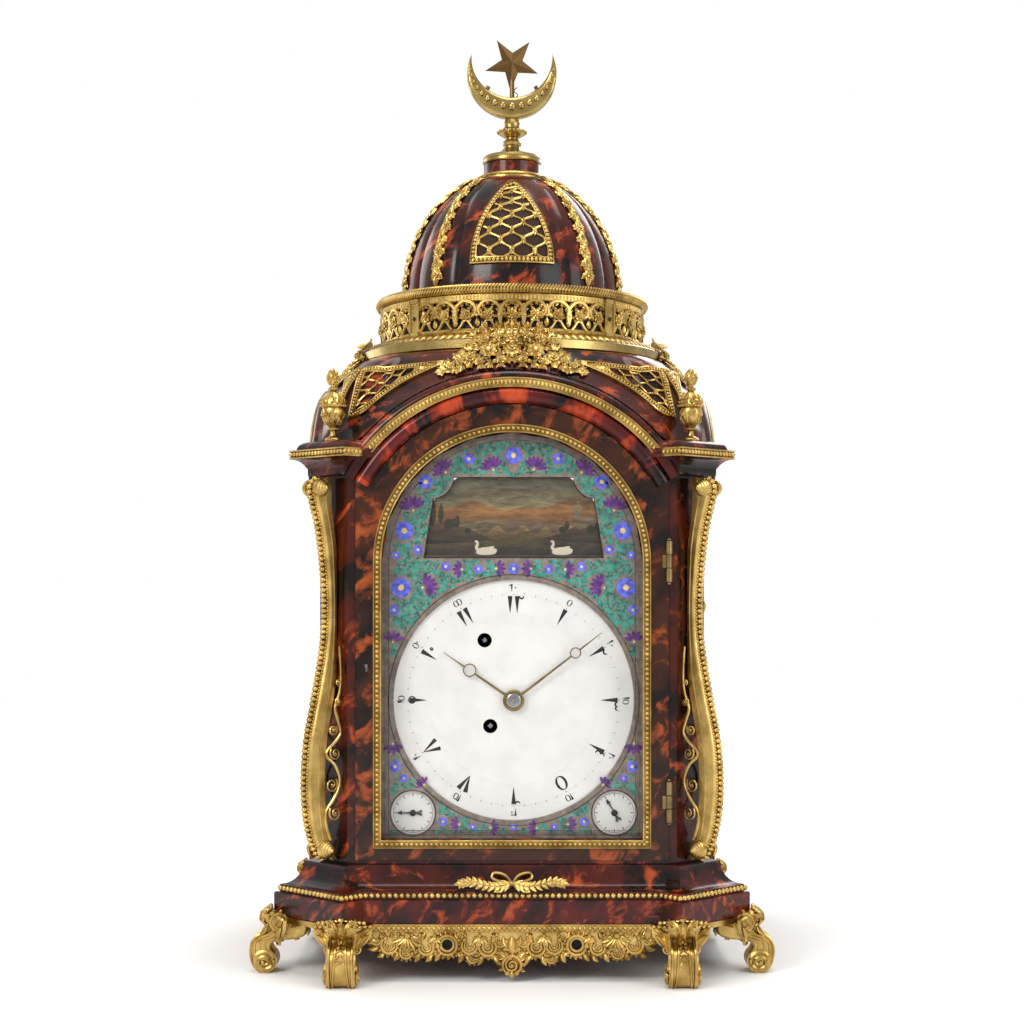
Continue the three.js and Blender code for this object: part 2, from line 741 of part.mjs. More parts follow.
function carcass() {
  const plan = roundTheSides([
    [BODY_HALF, -BODY_REACH],
    [BODY_REACH, -BODY_HALF],
  ]);
  const archTop = [
    ...arc(0, ARCH_CENTRE, ARCH_RADIUS - 0.4, 34, 146, ARCH_STEPS),
    [-(BODY_HALF - 30), BODY_TOP - 20],
    [BODY_HALF - 30, BODY_TOP - 20],
  ];
  const cavity = block(
    -CAVITY_HALF,
    CAVITY_HALF,
    -CAVITY_HALF,
    CAVITY_HALF,
    BODY_BOTTOM - 1,
    ARCH_CENTRE + ARCH_RADIUS + 10,
  );
  const walls = cut(
    join(
      slabZ(plan, BODY_BOTTOM, BODY_TOP),
      slabX(archTop, -BODY_REACH, BODY_REACH),
      slabY(archTop, -BODY_REACH, BODY_REACH),
    ),
    cavity,
  );
  const recess = slabY(doorOutline(DOOR_GAP), -(BODY_REACH + 1), -FRAME_FACE);
  const arched = roundArch(DOOR_OPENING_HALF, GLASS_BOTTOM - 1, GLASS_CENTRE, ARCH_STEPS);
  const opening = slabY(arched, -(BODY_REACH + 1), -(CAVITY_HALF - 1));
  const boltSlot = block(
    -(DOOR_HALF + BOLT_THROW + 3),
    -(DOOR_HALF - 1),
    -(DOOR_FACE - 2.6),
    -(DOOR_FACE - 9.4),
    LOCK_HEIGHT - BOLT_HEIGHT / 2 - 0.6,
    LOCK_HEIGHT + BOLT_HEIGHT / 2 + 0.6,
  );
  const knobHole = turnedX(
    rodProfile(KNOB_ROD + RUN_GAP, CAVITY_HALF - 5, BODY_REACH + 5),
    10,
    0,
    KNOB_Z,
  );
  const seat = block(
    -CAVITY_HALF - 1,
    CAVITY_HALF + 1,
    -(FRONT_PLATE + 8),
    SEAT_DEPTH - (FRONT_PLATE + 8),
    SEAT_TOP - SEAT_THICK,
    SEAT_TOP,
  );
  const shellOfCase = cut(
    walls,
    recess,
    opening,
    halfTurn(recess),
    halfTurn(opening),
    boltSlot,
    knobHole,
  );
  return join(shellOfCase, seat, fixedHinges(), halfTurn(fixedHinges()));
}

place("carcass", carcass(), shell);

// Consoles: S-shaped strips that stand in the diagonal planes on the chamfered corners

function consoleStrip() {
  const root2 = Math.SQRT2;
  const wall = ((BODY_HALF + BODY_REACH) / 2) * root2 + GAP;
  const waist = CONSOLE_WAIST;
  const belly = CONSOLE_BELLY;
  const head = CONSOLE_HEAD;
  const spine = [
    [belly - 14, 0.007],
    [belly - 9, 0.025],
    [belly - 4, 0.071],
    [belly - 1, 0.134],
    [belly, 0.219],
    [belly - 2, 0.325],
    [belly - 7.5, 0.438],
    [waist + 1.6, 0.551],
    [waist, 0.643],
    [waist + 1, 0.749],
    [waist + 4, 0.855],
    [head - 2, 0.918],
    [head, 0.957],
    [head - 1.5, 0.982],
    [head - 6, 0.996],
  ].map(([d, share]) => [d, BODY_BOTTOM + share * BODY_HEIGHT]);
  const depths = [9, 11, 13, 15, 15.5, 15, 14, 12, 11, 11, 11, 13, 16, 14, 8];
  const outer = spine.map(([d, z]) => [d * root2, z]);
  const inner = outer.map(([d, z], i) => [Math.max(d - depths[i], wall), z]);
  inner[0][1] += 1;
  inner[inner.length - 1][1] -= 1;
  const profile = [...outer, ...inner.reverse()];
  const upright = slabX(profile, -CONSOLE_WIDTH / 2, CONSOLE_WIDTH / 2);
  return solid(geometryOf(upright).rotateZ(-(3 * Math.PI) / 4));
}

const consoleSolid = consoleStrip();
CORNERS.forEach((name, k) => place(`console_${name}`, consoleSolid, gilt, k));

// Cornice: mitred moulding with an arched pediment on every side

const ARCH_FACETS = 36; // in a full turn
const TUNNEL_RADIUS = ARCH_RADIUS / Math.cos(Math.PI / ARCH_FACETS); // to the facets' corners

function archMoulding() {
  const front = ARCH_FRONT;
  const bead = ARCH_BEAD_RADIUS;
  const profile = [
    [TUNNEL_RADIUS, -(CAVITY_HALF + CASE_WALL - ARCH_SHELF)],
    [TUNNEL_RADIUS, -(front - 6)],
    [ARCH_RADIUS + 1.5, -(front - 4.5)],
    [ARCH_RADIUS + 5.5, -front],
    [bead - ARCH_BEAD_WIDTH / 2, -front],
    [bead + ARCH_BEAD_WIDTH / 2, -front],
    [ARCH_OUTER - 1.4, -(front - 4)],
    [ARCH_OUTER, -(front - 9)],
    [ARCH_OUTER, -(CAVITY_HALF + CASE_WALL - ARCH_SHELF)],
    [TUNNEL_RADIUS, -(CAVITY_HALF + CASE_WALL - ARCH_SHELF)],
  ];
  const ring = turnedY(profile, ARCH_FACETS, 0, ARCH_CENTRE);
  const far = 2 * ARCH_OUTER;
  return ring.intersect(block(-far, far, -far, 0, CORNICE_BOTTOM, ARCH_CENTRE + far));
}

function cornice() {
  const z = CORNICE_BOTTOM;
  const bead = CORNICE_BEAD_REACH;
  const levels = [
    [CORNICE_FOOT_REACH, z],
    [CORNICE_FOOT_REACH + 1.4, z + 4],
    [CORNICE_FOOT_REACH + 7, z + 9.6],
    [bead - 2, z + 12.6],
    [bead, z + 13],
    [bead, z + 18.4],
    [CORNICE_SLAB_REACH, z + 19],
    [CORNICE_SLAB_REACH - 1.5, z + 23],
    [CORNICE_TOP_REACH, CORNICE_TOP],
  ];
  const well = CORNICE_WELL_HALF;
  const tunnel = circle(0, ARCH_CENTRE, TUNNEL_RADIUS, ARCH_FACETS);
  const ring = cut(
    mouldedRing(levels),
    block(-well, well, -well, well, z - 1, CORNICE_TOP + 1),
    slabX(tunnel, -2 * bead, 2 * bead),
    slabY(tunnel, -2 * bead, 2 * bead),
  );
  const arch = archMoulding();
  const arches = [0, 1, 2, 3].map((k) =>
    solid(geometryOf(arch).rotateZ((k * Math.PI) / 2)),
  );
  return join(ring, ...arches);
}

place("cornice", cornice(), shell);

// Roof: a cushioned shell from the arches and cornice up to the drum band

const ROOF_COLUMNS = 10; // per side
const ROOF_ROWS = 5;
const ROOF_ARCH_GAP = GAP + 1; // over the faceted arch

// A point of the roof on the front: u from -1 to 1 across, t from 0 at the foot to 1 at the band.
function roofPoint(u, t, inset = 0) {
  const clearance = ARCH_OUTER + ROOF_ARCH_GAP;
  const corner = ROOF_CORNER - inset;
  const face = ROOF_FACE_REACH - inset;
  const x = u * corner;
  const archFoot = Math.sqrt(clearance ** 2 - (ROOF_BOTTOM - ARCH_CENTRE) ** 2);
  const overArch = Math.abs(x) < archFoot;
  const beyond = (Math.abs(x) - archFoot) / (corner - archFoot);
  const y = overArch ? -face : -THREE.MathUtils.lerp(face, corner, beyond);
  const z = overArch ? ARCH_CENTRE + Math.sqrt(clearance ** 2 - x ** 2) : ROOF_BOTTOM;
  const angle = (u * Math.PI) / 4;
  const topX = (BAND_RADIUS - inset) * Math.sin(angle);
  const topY = -(BAND_RADIUS - inset) * Math.cos(angle);
  const nearCorner = THREE.MathUtils.smoothstep(Math.abs(u), 0.75, 1);
  const lean = (face, edge) =>
    THREE.MathUtils.lerp(topY, y, THREE.MathUtils.lerp(face, edge, nearCorner));
  const curve = new THREE.CubicBezierCurve3(
    new THREE.Vector3(x, y, z),
    new THREE.Vector3(
      THREE.MathUtils.lerp(topX, x, 0.95),
      lean(0.4, 0.95),
      THREE.MathUtils.lerp(z, ROOF_TOP, 0.49),
    ),
    new THREE.Vector3(
      THREE.MathUtils.lerp(topX, x, 0.75),
      lean(0.22, 0.75),
      THREE.MathUtils.lerp(z, ROOF_TOP, 0.95),
    ),
    new THREE.Vector3(topX, topY, ROOF_TOP),
  );
  const point = curve.getPoint(t);
  return point.setZ(point.z - 4 * inset * t * (1 - t));
}

function onSide(point, side) {
  return point.applyAxisAngle(new THREE.Vector3(0, 0, 1), (side * Math.PI) / 2);
}

function roof() {
  const count = ROOF_COLUMNS * 4;
  const ring = (t, inset) => {
    const points = [];
    for (let side = 0; side < 4; side++) {
      for (let i = 0; i < ROOF_COLUMNS; i++) {
        const p = onSide(roofPoint(-1 + (2 * i) / ROOF_COLUMNS, t, inset), side);
        points.push([p.x, p.y, p.z]);
      }
    }
    return points;
  };
  const levels = Array.from({ length: ROOF_ROWS + 1 }, (_, i) => i / ROOF_ROWS);
  const outer = levels.map((t) => ring(t, 0));
  const inner = levels.map((t) => ring(t, ROOF_WALL)).reverse();
  return closedRings([...outer, ...inner], count);
}

place("roof", roof(), shell);

// Corner frets: two triangular panels that meet over each corner of the roof

function fret() {
  const steps = 6;
  const columns = [];
  for (let i = 0; i <= steps; i++) {
    const share = i / steps;
    const low = THREE.MathUtils.lerp(0.43, 0.19, share);
    const high = THREE.MathUtils.lerp(0.47, 0.52, share);
    columns.push({ side: 0, u: THREE.MathUtils.lerp(FRET_TIP, 1, share), low, high });
  }
  const mirrored = columns.slice(0, steps).reverse();
  for (const { u, low, high } of mirrored) columns.push({ side: 1, u: -u, low, high });
  const rows = [0, 0.5, 1].map((v) =>
    columns.map(({ side, u, low, high }) =>
      onSide(roofPoint(u, THREE.MathUtils.lerp(low, high, v)), side),
    ),
  );
  return sheet(rows, FRET_STAND, FRET_THICK);
}

const fretSolid = fret();
CORNERS.forEach((name, k) => place(`corner_fret_${name}`, fretSolid, gilt, k));

// Urns on the cornice's corners

function urn() {
  const r = URN_RADIUS;
  const h = URN_HEIGHT;
  const z = CORNICE_TOP + GAP;
  const profile = [
    [0, 0],
    [0.64 * r, 0],
    [0.64 * r, 0.04 * h],
    [0.28 * r, 0.12 * h],
    [0.4 * r, 0.2 * h],
    [0.9 * r, 0.31 * h],
    [r, 0.43 * h],
    [0.72 * r, 0.56 * h],
    [0.94 * r, 0.62 * h],
    [0.55 * r, 0.7 * h],
    [0.22 * r, 0.79 * h],
    [0.43 * r, 0.9 * h],
    [0, h],
  ].map(([radius, height]) => [radius, z + height]);
  return turnedZ(profile, 8, URN_PLACE, -URN_PLACE);
}

const urnSolid = urn();
CORNERS.forEach((name, k) => place(`urn_${name}`, urnSolid, gilt, k));

// Drum band: plain burnished ring with a leaf-cast upper edge

function drumBand() {
  const plainTop = BAND_BOTTOM + BAND_PLAIN_HEIGHT;
  return turnedZ(
    [
      [BAND_INNER, BAND_BOTTOM],
      [BAND_RADIUS, BAND_BOTTOM],
      [BAND_RADIUS, plainTop],
      [BAND_RADIUS - 2, plainTop + 0.5],
      [BAND_TOP_RADIUS + 3, plainTop + 3.4],
      [BAND_TOP_RADIUS, BAND_TOP],
      [BAND_INNER, BAND_TOP],
      [BAND_INNER, BAND_BOTTOM],
    ],
    36,
  );
}

place("drum_band", drumBand(), gilt);

// Bouquets: flower mounts that lie on the roof's shoulder and rise before the band

function bouquet() {
  const edge = BOUQUET_HALF / ROOF_CORNER;
  const column = 2 / ROOF_COLUMNS;
  const columns = [-edge, -2 * column, -column, 0, column, 2 * column, edge];
  const roofRows = [0.1, 0.2, 0.4, 0.6, 0.8, 1];
  const grid = roofRows.map((t) => columns.map((u) => roofPoint(u, t)));
  for (const rise of [BOUQUET_RISE / 2, BOUQUET_RISE]) {
    grid.push(columns.map((u) => roofPoint(u, 1).setZ(ROOF_TOP + rise)));
  }
  const right = [
    [0, ROOF_TOP - 20],
    [30, ROOF_TOP - 20],
    [54, ROOF_TOP - 26],
    [52, ROOF_TOP - 19],
    [36, ROOF_TOP - 5],
    [28, ROOF_TOP + 7],
    [14, ROOF_TOP + 17],
  ];
  const left = right.slice(1).reverse().map(([x, z]) => [-x, z]);
  const silhouette = [...right, [0, ROOF_TOP + BOUQUET_RISE - 1], ...left];
  const cutter = slabY(silhouette, -(ROOF_FACE_REACH + 20), -BAND_RADIUS / 2);
  return sheet(grid, BOUQUET_STAND, BOUQUET_THICK).intersect(cutter);
}

const bouquetSolid = bouquet();
SIDES.forEach((name, k) => place(`bouquet_${name}`, bouquetSolid, gilt, k));

// Gallery: frieze of sunk panels with four posts under a rope-twist ring

function gallery() {
  const inner = FRIEZE_RADIUS - FRIEZE_WALL;
  const ring = turnedZ(
    [
      [inner, FRIEZE_BOTTOM],
      [FRIEZE_RADIUS, FRIEZE_BOTTOM],
      [FRIEZE_RADIUS, FRIEZE_TOP],
      [ROPE_RADIUS, FRIEZE_TOP + 1.5],
      [ROPE_RADIUS, ROPE_TOP - 1],
      [ROPE_RADIUS - 2.5, ROPE_TOP],
      [ROPE_INNER, ROPE_TOP],
      [ROPE_INNER, FRIEZE_TOP + 1],
      [inner, FRIEZE_TOP + 1],
      [inner, FRIEZE_BOTTOM],
    ],
    2 * FRIEZE_PANELS,
  );
  const bottom = FRIEZE_BOTTOM + 3.5;
  const halfTurnOfPanel = Math.PI / FRIEZE_PANELS;
  const ground = FRIEZE_RADIUS * Math.cos(halfTurnOfPanel) - FRIEZE_PANEL_DEPTH;
  const panel = block(
    -FRIEZE_PANEL_WIDTH / 2,
    FRIEZE_PANEL_WIDTH / 2,
    -(FRIEZE_RADIUS + 5),
    -ground,
    bottom,
    bottom + FRIEZE_PANEL_HEIGHT,
  );
  let made = ring;
  for (let i = 0; i < FRIEZE_PANELS; i++) {
    made = made.subtract(solid(geometryOf(panel).rotateZ((2 * i + 1) * halfTurnOfPanel)));
  }
  const post = block(-5.5, 5.5, -(FRIEZE_RADIUS + 1.5), -(inner - 0.5), FRIEZE_BOTTOM, FRIEZE_TOP);
  for (let k = 0; k < 4; k++) {
    made = made.add(solid(geometryOf(post).rotateZ(Math.PI / 4 + (k * Math.PI) / 2)));
  }
  return made;
}

place("gallery", gallery(), gilt);

// Dome: lobed shell with a pointed vent opening at the front and the back

function domeRadius(height) {
  return DOME_RADIUS * Math.sqrt(1 - (height / DOME_SEMI) ** 2);
}

// Front and back lobes span 60 degrees, the eight others 30 degrees.
function lobeShare(degrees) {
  const fromFront = Math.abs(((degrees % 180) + 180) % 180);
  const wide = fromFront < 30 || fromFront > 150;
  const share = wide ? ((fromFront + 30) % 180) / 60 : (fromFront % 30) / 30;
  return 1 - DOME_LOBE * (1 - Math.sqrt(Math.sin(Math.PI * share)));
}

// A point of the dome's outside: degrees from the front, height above the dome's foot.
function domePoint(degrees, height) {
  const radius = domeRadius(height) * lobeShare(degrees);
  const angle = THREE.MathUtils.degToRad(degrees);
  return new THREE.Vector3(
    radius * Math.sin(angle),
    -radius * Math.cos(angle),
    DOME_FOOT + height,
  );
}

function ventOutline(spread) {
  const half = VENT_HALF + spread;
  const height = VENT_TOP - VENT_BOTTOM + 2 * spread;
  const bottom = DOME_FOOT + VENT_BOTTOM - spread;
  const points = [
    [-half, bottom],
    [half, bottom],
  ];
  const steps = 6;
  for (let i = 1; i <= steps; i++) points.push(ventEdge(half, bottom, height, i / steps, 1));
  for (let i = steps - 1; i >= 1; i--) points.push(ventEdge(half, bottom, height, i / steps, -1));
  return points;
}

// Half width of the pointed vent at a share of its height.
function ventHalf(half, share) {
  return half * Math.cos((share * Math.PI) / 2) ** 0.8;
}

function ventEdge(half, bottom, height, share, side) {
  return [side * ventHalf(half, share), bottom + height * share];
}

function dome() {
  const rows = 7;
  const columns = 36;
  const outer = [];
  const inner = [];
  for (let r = 0; r <= rows; r++) {
    const height = DOME_RISE * Math.sin(((r / rows) * Math.PI) / 2);
    const ring = [];
    for (let c = 0; c < columns; c++) {
      const p = domePoint((360 * c) / columns, height);
      ring.push([p.x, p.y, p.z]);
    }
    outer.push(ring);
    const within = domeRadius(height) * (1 - DOME_LOBE) - DOME_WALL;
    inner.push([Math.max(within, DOME_EYE), DOME_FOOT + height]);
  }
  const hollow = turnedZ(
    [
      [0, DOME_FOOT - 1],
      [inner[0][0], DOME_FOOT - 1],
      ...inner.slice(0, rows),
      [DOME_EYE, DOME_TOP - 4],
      [DOME_EYE, DOME_TOP + 1],
      [0, DOME_TOP + 1],
    ],
    24,
  );
  const vent = slabY(ventOutline(-3), -DOME_RADIUS, DOME_RADIUS);
  return cut(loft(outer), hollow, vent);
}

place("dome_shell", dome(), shell);

// Dome mounts: collar ring, garlands between the lobes and the two pointed vents

const GARLAND_PLACES = [42, 75, 105, 138];

// The end of a mount where it meets the collar, as a row of points.
function collarRow(degrees, half, columns) {
  const angle = THREE.MathUtils.degToRad(degrees);
  const across = new THREE.Vector3(Math.cos(angle), Math.sin(angle), 0);
  const reach = COLLAR_RADIUS - 1.5;
  const middle = new THREE.Vector3(Math.sin(angle) * reach, -Math.cos(angle) * reach, DOME_TOP + 0.6);
  return Array.from({ length: columns + 1 }, (_, c) =>
    middle.clone().addScaledVector(across, THREE.MathUtils.lerp(-half, half, c / columns)),
  );
}

// A row of points across the dome, centred on an angle.
function domeRow(degrees, height, half, columns) {
  return Array.from({ length: columns + 1 }, (_, c) => {
    const x = THREE.MathUtils.lerp(-half, half, c / columns);
    return domePoint(degrees + THREE.MathUtils.radToDeg(Math.asin(x / domeRadius(height))), height);
  });
}

function garland(degrees) {
  const rows = 7;
  const grid = [];
  for (let r = 0; r <= rows; r++) {
    const height = THREE.MathUtils.lerp(GARLAND_FOOT, DOME_RISE, Math.sin(((r / rows) * Math.PI) / 2));
    grid.push(domeRow(degrees, height, GARLAND_HALF, 1));
  }
  grid.push(collarRow(degrees, GARLAND_HALF * 0.7, 1));
  return sheet(grid, 0.5, GARLAND_THICK);
}

function vent(degrees) {
  const rows = 6;
  const columns = 4;
  const grid = [];
  for (let r = 0; r <= rows; r++) {
    const share = (r / rows) * 0.98;
    const height = THREE.MathUtils.lerp(VENT_BOTTOM, VENT_TOP, share);
    grid.push(domeRow(degrees, height, ventHalf(VENT_HALF, share), columns));
  }
  grid.push(domeRow(degrees, DOME_RISE, 3, columns));
  grid.push(collarRow(degrees, 3, columns));
  return sheet(grid, 0.6, VENT_THICK);
}

function domeMounts() {
  const collar = turnedZ(
    tubeProfile(DRUM_RADIUS + GAP + 0.1, COLLAR_RADIUS, DRUM_BOTTOM, DRUM_BOTTOM + COLLAR_HEIGHT),
    20,
  );
  const garlands = GARLAND_PLACES.flatMap((angle) => [garland(angle), garland(-angle)]);
  return join(collar, ...garlands, vent(0), vent(180));
}

place("dome_mounts", domeMounts(), gilt);

// Finial: shell drum, turned stem, crescent and star

place("finial_drum", turnedZ(rodProfile(DRUM_RADIUS, DRUM_BOTTOM, DRUM_BOTTOM + DRUM_HEIGHT), 20), shell);

function finialStem() {
  const h = STEM_HEIGHT;
  const profile = [
    [0, 0],
    [CAP_RADIUS, 0],
    [CAP_RADIUS, 0.17 * h],
    [CAP_RADIUS - 1.7, 0.2 * h],
    [CAP_RADIUS - 1.7, 0.31 * h],
    [12.7, 0.33 * h],
    [8, 0.44 * h],
    [5.4, 0.5 * h],
    [7.9, 0.57 * h],
    [5.8, 0.64 * h],
    [9, 0.72 * h],
    [12.7, 0.79 * h],
    [12.2, 0.86 * h],
    [7, 0.93 * h],
    [4.6, h],
    [0, h],
  ].map(([r, z]) => [r, STEM_BOTTOM + z]);
  return turnedZ(profile, 16);
}

place("finial_stem", finialStem(), gilt);

const CRESCENT_CENTRE = CRESCENT_BOTTOM + CRESCENT_RADIUS;
const CRESCENT_FLOOR = CRESCENT_CENTRE + CRESCENT_LIFT - CRESCENT_INNER;

function crescent() {
  const innerCentre = CRESCENT_CENTRE + CRESCENT_LIFT;
  const tip =
    (CRESCENT_RADIUS ** 2 - CRESCENT_INNER ** 2 + CRESCENT_LIFT ** 2) / (2 * CRESCENT_LIFT);
  const outerAngle = THREE.MathUtils.radToDeg(Math.asin(tip / CRESCENT_RADIUS));
  const innerAngle = THREE.MathUtils.radToDeg(
    Math.asin((tip - CRESCENT_LIFT) / CRESCENT_INNER),
  );
  const outer = arc(0, CRESCENT_CENTRE, CRESCENT_RADIUS, 180 - outerAngle, 360 + outerAngle, 24);
  const inner = arc(0, innerCentre, CRESCENT_INNER, innerAngle, -180 - innerAngle, 18);
  return slabY([...outer, ...inner.slice(1, -1)], -CRESCENT_DEPTH / 2, CRESCENT_DEPTH / 2);
}

place("crescent", crescent(), gilt);

function star() {
  const centre = CRESCENT_FLOOR + STAR_LIFT;
  const positions = [0, -STAR_DEPTH, centre, 0, STAR_DEPTH, centre];
  const points = 10;
  for (let i = 0; i < points; i++) {
    const radius = i % 2 === 0 ? STAR_RADIUS : STAR_INNER;
    const angle = THREE.MathUtils.degToRad(-90 + STAR_TURN + i * 36);
    positions.push(radius * Math.cos(angle), 0, centre + radius * Math.sin(angle));
  }
  const index = [];
  for (let i = 0; i < points; i++) {
    const [a, b] = [2 + i, 2 + ((i + 1) % points)];
    index.push(0, a, b, 1, b, a);
  }
  const stem = turnedZ(
    rodProfile(STAR_STEM, CRESCENT_FLOOR + GAP, centre - STAR_INNER - 2),
    10,
  );
  return join(meshSolid(positions, index), stem);
}

place("star", star(), bronze);

// Doors: frame with a rebate for the glass, hung on two hinges

function doorFrame() {
  const face = -DOOR_FACE;
  const back = face + DOOR_THICK;
  const frame = slabY(doorOutline(0), face, back);
  const sight = slabY(
    roundArch(DOOR_OPENING_HALF, GLASS_BOTTOM - 1, GLASS_CENTRE, ARCH_STEPS),
    face - 1,
    back + 1,
  );
  const rebate = slabY(
    roundArch(GLASS_HALF + 1 + REBATE, GLASS_BOTTOM - 1 - REBATE, GLASS_CENTRE, ARCH_STEPS),
    face + 4,
    back + 1,
  );
  const third = HINGE_HEIGHT / 3;
  const knuckles = HINGE_PLACES.map((z) => hingePart(z + third + GAP, z + 2 * third - GAP));
  const relief = HINGE_PLACES.map((z) =>
    turnedZ(rodProfile(HINGE_RADIUS + GAP, z - 1, z + HINGE_HEIGHT + 1), 8, HINGE_X, HINGE_Y),
  );
  const pins = HINGE_PLACES.map((z) =>
    turnedZ(rodProfile(HINGE_PIN + RUN_GAP, z, z + HINGE_HEIGHT), 8, HINGE_X, HINGE_Y),
  );
  const bored = knuckles.map((knuckle, i) => cut(knuckle, pins[i]));
  const bridges = HINGE_PLACES.map((z) =>
    block(HINGE_X - 4.6, HINGE_X - 1.6, HINGE_Y - 0.6, face + 1, z + third + GAP, z + 2 * third - GAP),
  );
  return join(cut(frame, sight, rebate, ...relief), ...bored, ...bridges);
}

function doorGlass() {
  const back = -DOOR_FACE + 4 + GAP + GLASS_THICK;
  const spare = 1 + REBATE - GAP;
  return slabY(
    roundArch(GLASS_HALF + spare, GLASS_BOTTOM - spare, GLASS_CENTRE, ARCH_STEPS),
    back - GLASS_THICK,
    back,
  );
}

const doorFrameSolid = doorFrame();
const doorGlassSolid = doorGlass();

function frontDoor() {
  const lockCase = block(
    -(DOOR_HALF + 1),
    -(DOOR_HALF - BOLT_LENGTH - 1.4),
    -(DOOR_FACE - 3),
    -(DOOR_FACE - 9),
    LOCK_HEIGHT - BOLT_HEIGHT / 2 - GAP,
    LOCK_HEIGHT + BOLT_HEIGHT / 2 + GAP,
  );
  const keyhole = turnedY(
    rodProfile(1.8, -(DOOR_FACE + 1), -(DOOR_FACE - 4)),
    8,
    -(DOOR_HALF - 8),
    LOCK_HEIGHT + 1,
  );
  return cut(doorFrameSolid, lockCase, keyhole);
}

place("front_door", frontDoor(), shell);
place("front_glass", doorGlassSolid, clearGlass);
place("back_door", doorFrameSolid, shell, 2);
place("back_glass", doorGlassSolid, clearGlass, 2);

function bezel() {
  const outer = GLASS_HALF + BEZEL_WIDTH;
  const back = -(DOOR_FACE + GAP);
  return slabY(
    roundArch(outer, GLASS_BOTTOM - BEZEL_WIDTH, GLASS_CENTRE, ARCH_STEPS + 4),
    back - BEZEL_THICK,
    back,
    [roundArch(GLASS_HALF, GLASS_BOTTOM, GLASS_CENTRE, ARCH_STEPS + 4)],
  );
}

place("front_bezel", bezel(), gilt);

place(
  "lock_bolt",
  block(
    -(DOOR_HALF - 0.5),
    -(DOOR_HALF - BOLT_LENGTH - 0.5),
    -(DOOR_FACE - 3.5),
    -(DOOR_FACE - 8.5),
    LOCK_HEIGHT - BOLT_HEIGHT / 2,
    LOCK_HEIGHT + BOLT_HEIGHT / 2,
  ),
  steel,
);

// Mask and dials

function sceneOpening() {
  const half = [
    [OPENING_HALF, OPENING_BOTTOM],
    [OPENING_NOTCH_HALF, OPENING_NOTCH],
    [OPENING_TOP_HALF + 6, OPENING_NOTCH + 5],
    [OPENING_TOP_HALF, OPENING_TOP],
  ];
  return [
    ...half.map(([x, z]) => [DIAL_X + x, z]),
    ...half.reverse().map(([x, z]) => [DIAL_X - x, z]),
  ];
}

function mask() {
  return slabY(
    roundArch(MASK_HALF, GLASS_BOTTOM - 10, GLASS_CENTRE, ARCH_STEPS),
    -MASK_FACE,
    -(MASK_FACE - MASK_THICK),
    [
      circle(DIAL_X, DIAL_Z, DIAL_RADIUS + 2 * GAP, 36),
      circle(DIAL_X - SMALL_DIAL_X, SMALL_DIAL_Z, SMALL_DIAL_RADIUS, 16),
      circle(DIAL_X + SMALL_DIAL_X, SMALL_DIAL_Z, SMALL_DIAL_RADIUS, 16),
      sceneOpening(),
    ],
  );
}

place("enamel_mask", mask(), painted);

const MASK_BACK = MASK_FACE - MASK_THICK;

function mainDial() {
  const front = -(MASK_BACK - GAP);
  const back = front + DIAL_THICK;
  const crown = front - DIAL_CROWN;
  const disc = turnedY(
    [
      [DIAL_HOLE, back],
      [DIAL_FLANGE, back],
      [DIAL_FLANGE, front],
      [DIAL_RADIUS, front],
      [DIAL_RADIUS - 0.6, front - 0.8],
      [0.6 * DIAL_RADIUS, THREE.MathUtils.lerp(front, crown, 0.7)],
      [DIAL_HOLE, crown],
      [DIAL_HOLE, back],
    ],
    36,
    DIAL_X,
    DIAL_Z,
  );
  const hole = (x, z) => turnedY(rodProfile(WINDING_RADIUS, crown - 2, back + 2), 12, x, z);
  return cut(disc, hole(GOING_X, GOING_Z), hole(MUSIC_X, MUSIC_Z));
}

place("main_dial", mainDial(), enamel);

function smallDial(x) {
  const front = -(MASK_BACK - GAP);
  return turnedY(
    tubeProfile(SMALL_ARBOR + RUN_GAP, SMALL_DIAL_FLANGE, front, front + 2),
    16,
    x,
    SMALL_DIAL_Z,
  );
}

place("strike_dial", smallDial(DIAL_X - SMALL_DIAL_X), enamel);
place("tune_dial", smallDial(DIAL_X + SMALL_DIAL_X), enamel);

// Scene: painted board behind the opening, with a strip that slides before it

const STRIP_FRONT = MASK_BACK - GAP;
const BOARD_FRONT = STRIP_FRONT - STRIP_THICK - GAP;

function sceneBoard() {
  return slabY(
    roundArch(OPENING_HALF + 7, STRIP_BOTTOM - 5, GLASS_CENTRE + 2, 12, DIAL_X),
    -BOARD_FRONT,
    -(BOARD_FRONT - 2),
  );
}

place("scene_board", sceneBoard(), scenery);

function sceneStrip() {
  const swan = (x) => [
    [x + 9, STRIP_BOTTOM + 10],
    [x + 8, STRIP_BOTTOM + 15],
    [x + 2, STRIP_BOTTOM + 17],
    [x - 2, STRIP_BOTTOM + 14],
    [x - 4, STRIP_BOTTOM + 20],
    [x - 7, STRIP_BOTTOM + 21],
    [x - 7, STRIP_BOTTOM + 10],
  ];
  return slabY(
    [
      [DIAL_X - STRIP_HALF, STRIP_BOTTOM],
      [DIAL_X + STRIP_HALF, STRIP_BOTTOM],
      [DIAL_X + STRIP_HALF, STRIP_BOTTOM + 10],
      ...swan(DIAL_X + 34),
      ...swan(DIAL_X - 22),
      [DIAL_X - STRIP_HALF, STRIP_BOTTOM + 10],
    ],
    -STRIP_FRONT,
    -(STRIP_FRONT - STRIP_THICK),
  );
}

place("scene_strip", sceneStrip(), scenery);

// Hands

const HAND_CROWN = MASK_BACK - GAP + DIAL_CROWN;
const HOUR_BACK = HAND_CROWN + 1;
const MINUTE_BACK = HOUR_BACK + HAND_THICK + 0.8;

